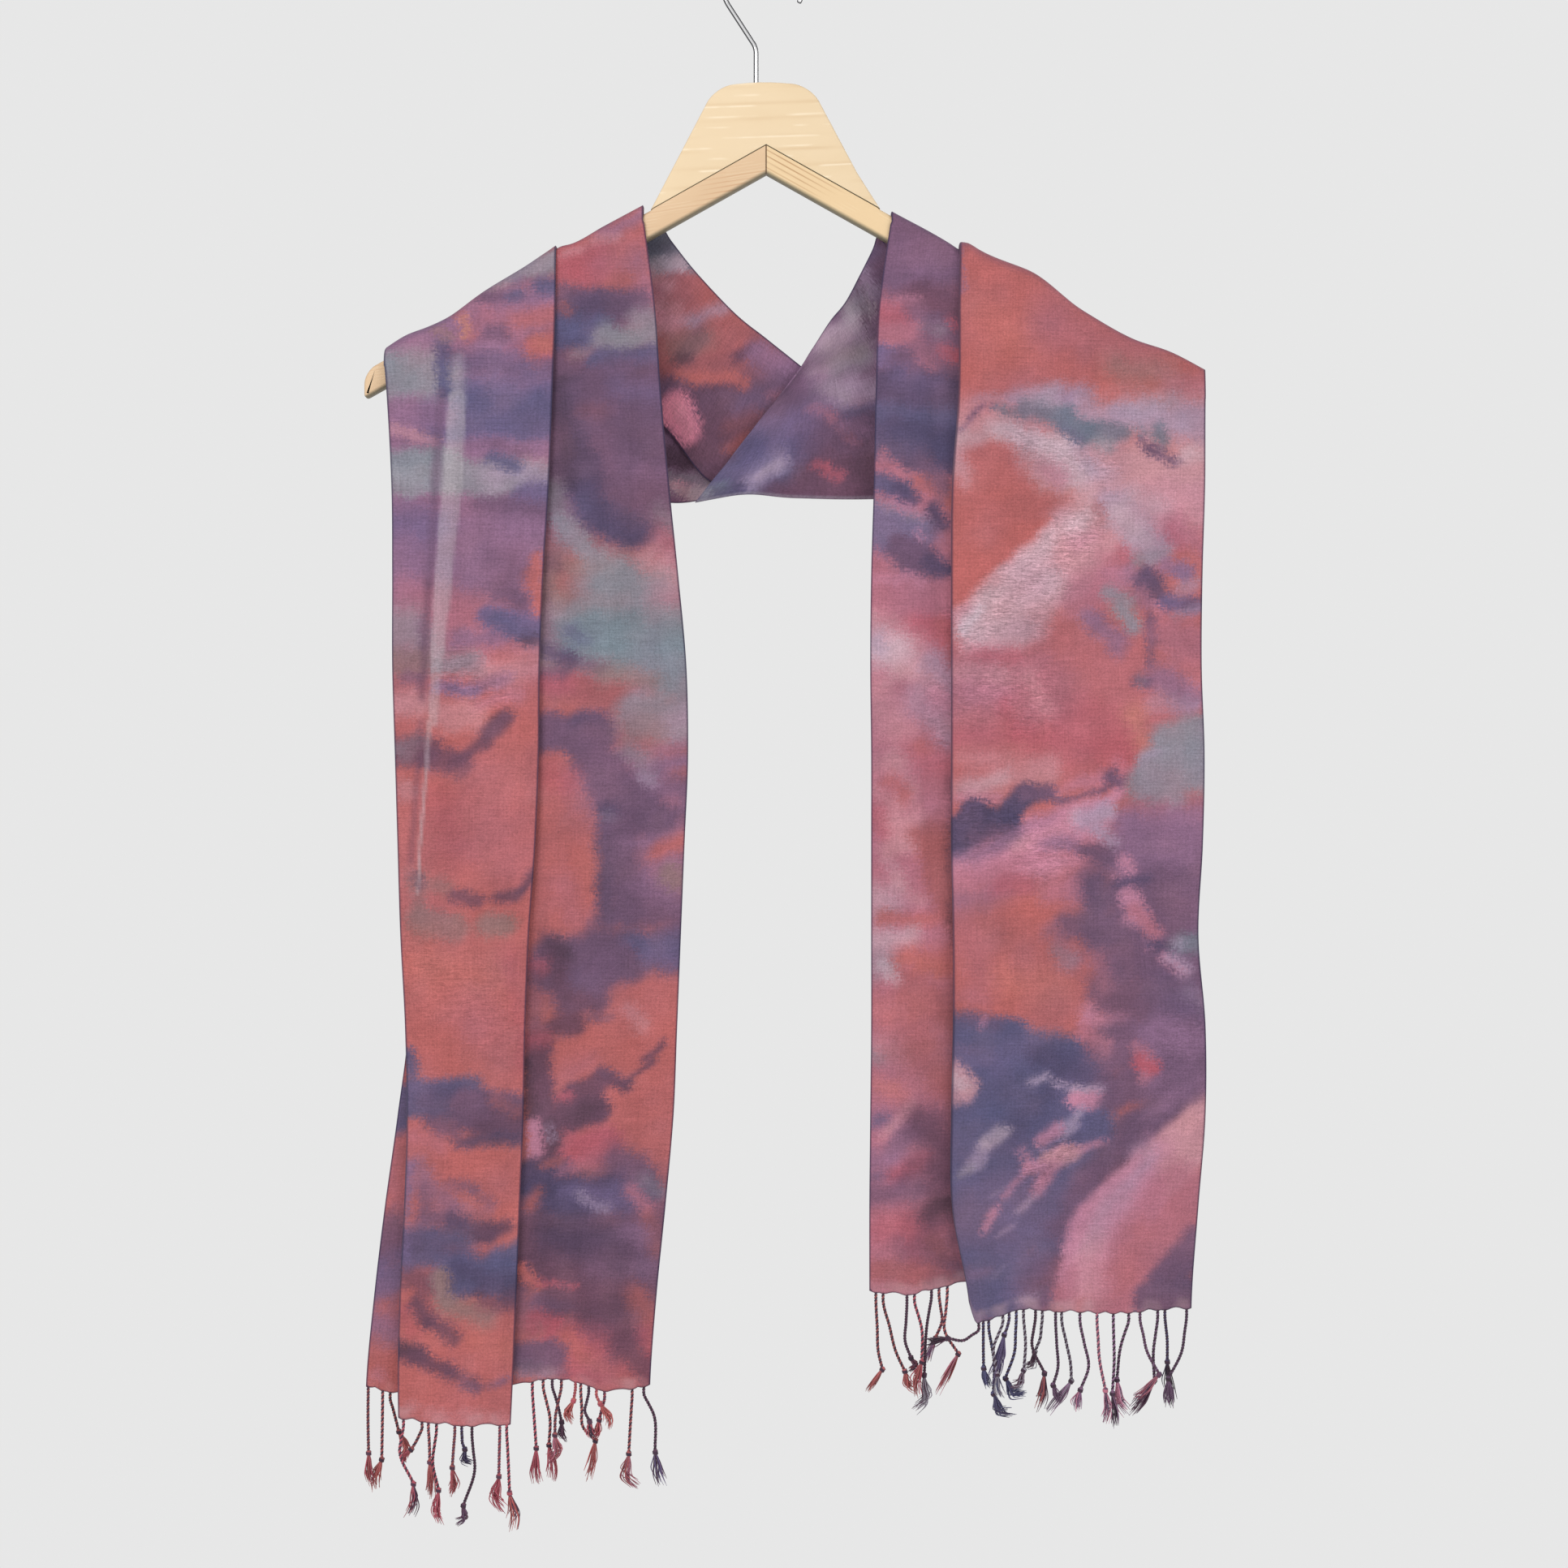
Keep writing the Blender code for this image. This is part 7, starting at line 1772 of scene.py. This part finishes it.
def make_arm(name, side, foot_x, material):
    """One arm: mitred at the middle, rounded at the tip, its top edge sharp only below the plate."""
    inner = MITRE_X + side * HALF_MITRE_GAP
    tip = ARM_TIPS[0] if side < 0 else ARM_TIPS[1]
    ends = sorted((inner, tip))
    arm = start_block(name, (ends[0], -HALF_WOOD, -270), (ends[1], HALF_WOOD, -100), material)
    cut_along(*((x, arm_top(x)) for x in ends))
    cut_along(*((x, arm_top(x) - ARM_DROP) for x in reversed(ends)))
    choose(arm, "EDGE", lambda place, edge: runs_across(edge) and abs(place.x - tip) < 1
           and place.z > arm_top(tip) - 5)
    bevel(TIP_TOP_RADIUS, 6)
    choose(arm, "EDGE", lambda place, edge: runs_across(edge) and abs(place.x - tip) < 1
           and place.z < arm_top(tip) - 14)
    bevel(TIP_FOOT_RADIUS, 4)
    cut_along((foot_x, -300), (foot_x, -60), keep_both=True)

    def on_face(place, edge):
        return is_corner(edge) and abs(place.y) > NEAR_FACE

    choose(arm, "EDGE", lambda place, edge: on_face(place, edge) and abs(place.x - inner) > 1
           and (place.z < arm_top(place.x) - 5 or abs(place.x) > abs(foot_x)))
    bevel(ARM_EDGE, 4)
    choose(arm, "EDGE", lambda place, edge: on_face(place, edge) and (
        abs(place.x - inner) < 0.5 or place.z > arm_top(place.x) - 0.5 and abs(place.x) < abs(foot_x)))
    bevel(CRISP_EDGE, 1)
    finish_block()
    return arm


def make_hook(material):
    """The wire: a stem, a turn to the left, then round over the crown."""
    bpy.ops.object.select_all(action="DESELECT")
    bpy.ops.mesh.primitive_circle_add(vertices=16, radius=WIRE_RADIUS * MM, fill_type="NGON",
                                      location=(0, 0, 0))
    hook = bpy.context.object
    hook.name = "wire_hook"
    hook.data.materials.append(material)
    turn_x = STEM_TURN_RADIUS * (1 - math.cos(STEM_TURN))
    start_x = HOOK_RADIUS * math.cos(CROWN_START)
    start_z = HOOK_CENTRE_Z + HOOK_RADIUS * math.sin(CROWN_START)
    straight = (STEM_X - turn_x - start_x) / math.sin(STEM_TURN)
    turn_z = start_z - straight * math.cos(STEM_TURN) - STEM_TURN_RADIUS * math.sin(STEM_TURN)
    bpy.ops.object.mode_set(mode="EDIT")
    bpy.ops.mesh.select_all(action="SELECT")
    bpy.ops.transform.translate(value=(STEM_X * MM, 0, STEM_LOW_Z * MM))
    bpy.ops.mesh.extrude_region_move(TRANSFORM_OT_translate={"value": (0, 0, (turn_z - STEM_LOW_Z) * MM)})
    bpy.ops.mesh.spin(steps=8, angle=STEM_TURN, axis=(0, 1, 0),
                      center=((STEM_X - STEM_TURN_RADIUS) * MM, 0, turn_z * MM))
    reach = Vector((-math.sin(STEM_TURN), 0, math.cos(STEM_TURN))) * straight * MM
    bpy.ops.mesh.extrude_region_move(TRANSFORM_OT_translate={"value": reach})
    bpy.ops.mesh.spin(steps=56, angle=CROWN_TURN, axis=(0, -1, 0), center=(0, 0, HOOK_CENTRE_Z * MM))
    bpy.ops.mesh.region_to_loop()
    bevel(WIRE_END_EDGE, 4)
    finish_block()
    return hook


# Build

weave = make_weave_group()
grain = make_grain_group()
dyed_cloth = make_dyed_cloth(weave, make_crinkle_group())
fringe_thread = make_fringe_thread()
PLATE_COLOURS = ((229, 203, 164), (248, 230, 200), (206, 170, 126))
LEFT_ARM_COLOURS = ((220, 186, 148), (236, 210, 176), (196, 146, 108))
RIGHT_ARM_COLOURS = ((231, 200, 156), (242, 218, 178), (172, 126, 84))
HANGER = (
    (make_neck_plate, (make_pale_wood("plate_wood", grain, 2, PLATE_COLOURS, 34, 3.2, 0.35),),
     "hanger_neck_plate", "hanger_wood"),
    (make_arm, ("arm_left", -1, PLATE_FEET[0] - FOOT_CLEARANCE,
                make_pale_wood("left_arm_wood", grain, 9, LEFT_ARM_COLOURS, 120, 1.6, 0.75, True)),
     "hanger_arm_left", "hanger_wood"),
    (make_arm, ("arm_right", 1, PLATE_FEET[1] + FOOT_CLEARANCE,
                make_pale_wood("right_arm_wood", grain, -29.3, RIGHT_ARM_COLOURS, 110, 0.8, 0.8, True)),
     "hanger_arm_right", "hanger_wood"),
    (make_hook, (make_plated_wire(),), "hanger_hook", "hook_steel"),
)
for make_piece, settings, node, slot in HANGER:
    piece = make_piece(*settings)
    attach(piece, "root")
    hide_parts(node)

TAILS = (
    ("tail_left_back", back_section, BACK_PANEL, BACK_HEM, LEFT_LOFT, 0, None, "coral", BACK_DYES_AND_SHADE, (),
     "fringe_left_back", LEFT_BACK_STRANDS, LEFT_BACK_THREADS, 11, "hanger_arm_left"),
    ("tail_left_flap", flap_section, FLAP_PANEL, FLAP_HEM, LEFT_LOFT,
     len(FLAP_HIDDEN) + len(ROLL_TURNS), None, "coral", FLAP_DYES_AND_SHADE, FLAP_LIGHT_AND_SHADE_STRIPS,
     "fringe_left_flap", LEFT_FLAP_STRANDS, LEFT_FLAP_THREADS, 12, "hanger_arm_left"),
    ("tail_right_inner", inner_section, INNER_PANEL, INNER_HEM, RIGHT_LOFT,
     0, len(INNER_FACE), "rose", INNER_DYES_AND_SHADE, (),
     "fringe_right_inner", RIGHT_INNER_STRANDS, RIGHT_INNER_THREADS, 13, "hanger_arm_right"),
    ("tail_right_front", front_section, FRONT_PANEL, FRONT_HEM, RIGHT_LOFT,
     len(FRONT_HIDDEN) + len(ROLL_TURNS), None, "coral", FRONT_DYES, (),
     "fringe_right_front", RIGHT_FRONT_STRANDS, RIGHT_FRONT_THREADS, 14, "hanger_arm_right"),
)
for (node, section, columns, hem, loft, face_from, face_to, base, dyes_and_shading, strips,
     fringe_node, strands, threads, seed, arm) in TAILS:
    points, unrolled = hang_over_arm(section, columns, hem, loft, strands)
    colours = dye_both_ways(base, dyes_and_shading, strips, points[..., 0], unrolled)
    from_hem = unrolled - points[:, -1:, 2]
    from_edge = edge_distance(points, max(face_from - HALF_ROLL, 0), node != "tail_right_inner")
    from_edge = np.minimum(from_edge, from_hem + 0.3)
    panel = cloth_piece(node.replace("tail", "dyed"), points, colours, unrolled, from_edge, from_hem,
                        dyed_cloth)
    fringe = fringe_piece(fringe_node.replace("fringe", "knotted_fringe"), points[face_from:face_to, -1],
                          strands, threads, fringe_thread, seed)
    for piece, replaced, slot in ((panel, node, "dyed_cloth"), (fringe, fringe_node, "fringe_thread")):
        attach(piece, "root")
        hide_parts(replaced)
    cloth_area(points)

LOOPS = (
    ("loop_right", LOOP_RIGHT, LOOP_RIGHT_FOLDS, 300, layer_behind_right, "plum", NECK_RIGHT_DYES_SHADE_AND_HIGHLIGHT,
     "hanger_arm_right"),
    ("loop_left", LOOP_LEFT, LOOP_LEFT_FOLDS, 150, layer_behind_left, "plum", NECK_LEFT_DYES_AND_SHADE,
     "hanger_arm_left"),
    ("loop_under", LOOP_UNDER, LOOP_UNDER_FOLDS, 170, lambda x: layer_behind_left(x) + 1.2, "mauve",
     NECK_UNDER_DYES_AND_SHADE, "hanger_arm_left"),
)
for node, edges, folds, length, tail_gap, base, dyes_and_shading, arm in LOOPS:
    points = loop_points(edges, folds, length, tail_gap)
    colours = dye_both_ways(base, dyes_and_shading, (), points[..., 0], points[..., 2])
    share = np.linspace(0, 1, points.shape[0])[:, None]
    width = np.linalg.norm(points[0] - points[-1], axis=1)[None, :]
    from_edge = share * width
    from_fold = width - from_edge
    if node == "loop_right":
        lay = soft_step((2.4 - from_fold) / 1.2) * 0.55
        for shades in colours:
            lay_over(shades, [("grey", lay)])
    else:
        from_edge = np.minimum(from_edge, from_fold)
    steps = np.linalg.norm(np.diff(points, axis=1), axis=2).mean(axis=0)
    along = np.concatenate([[0], np.cumsum(steps)])[None, :]
    panel = cloth_piece(node.replace("loop", "neck"), points, colours, along, from_edge, 99.0, dyed_cloth)
    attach(panel, "root")
    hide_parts(node)
    cloth_area(points)

# Stage, light and camera

CAMERA_X = 11.7 * MM
CAMERA_Z = -466.2 * MM
CAMERA_DISTANCE = 2.2
CLOTH_PLANE = 8 * MM
FRAME_WIDTH = 869.4 * MM
SENSOR = 36.0
FLOOR_GREY = (0.78, 0.78, 0.78, 1)
camera_data = bpy.data.cameras.new("camera")
camera_data.sensor_width = SENSOR
camera_data.lens = SENSOR * CAMERA_DISTANCE / FRAME_WIDTH
camera = bpy.data.objects.new("camera", camera_data)
camera.location = (CAMERA_X, -CAMERA_DISTANCE - CLOTH_PLANE, CAMERA_Z)
camera.rotation_euler = (math.radians(90), 0, 0)
bpy.context.scene.collection.objects.link(camera)
bpy.context.scene.camera = camera


def add_area_light(name, place, aim, size, power):
    data = bpy.data.lights.new(name, "AREA")
    data.shape = "DISK"
    data.size = size
    data.energy = power
    light = bpy.data.objects.new(name, data)
    light.location = place
    light.rotation_euler = (Vector(aim) - Vector(place)).to_track_quat("-Z", "Y").to_euler()
    bpy.context.scene.collection.objects.link(light)


add_area_light("key_light", (-1.5, -2.2, 0.9), (0, 0, -0.4), 1.6, 38)
add_area_light("fill_light", (1.9, -1.8, -0.1), (0, 0, -0.45), 1.8, 14)
add_area_light("back_light", (0.8, 2.4, 0.6), (0, 0, -0.4), 1.8, 26)

world = bpy.data.worlds.new("studio")
bpy.context.scene.world = world
world.use_nodes = True
air = world.node_tree
background = air.nodes["Background"]
background.inputs["Color"].default_value = (0.86, 0.86, 0.87, 1)
background.inputs["Strength"].default_value = 0.72
seen = add_node(air, "ShaderNodeBackground", {"Color": (0.80, 0.80, 0.80, 1), "Strength": 1.0})
blend = add_node(air, "ShaderNodeMixShader")
air.links.new(add_node(air, "ShaderNodeLightPath").outputs["Is Camera Ray"], blend.inputs[0])
air.links.new(background.outputs[0], blend.inputs[1])
air.links.new(seen.outputs[0], blend.inputs[2])
air.links.new(blend.outputs[0], air.nodes["World Output"].inputs["Surface"])
bpy.context.scene.view_settings.view_transform = "Standard"

bpy.ops.object.select_all(action="DESELECT")
bpy.ops.mesh.primitive_plane_add(size=2.6, location=(0, 0, -1.5))
floor = bpy.context.object
floor.name = "floor"
floor.data.materials.append(new_material("floor_paint", {"Roughness": 0.8, "Base Color": FLOOR_GREY})[0])
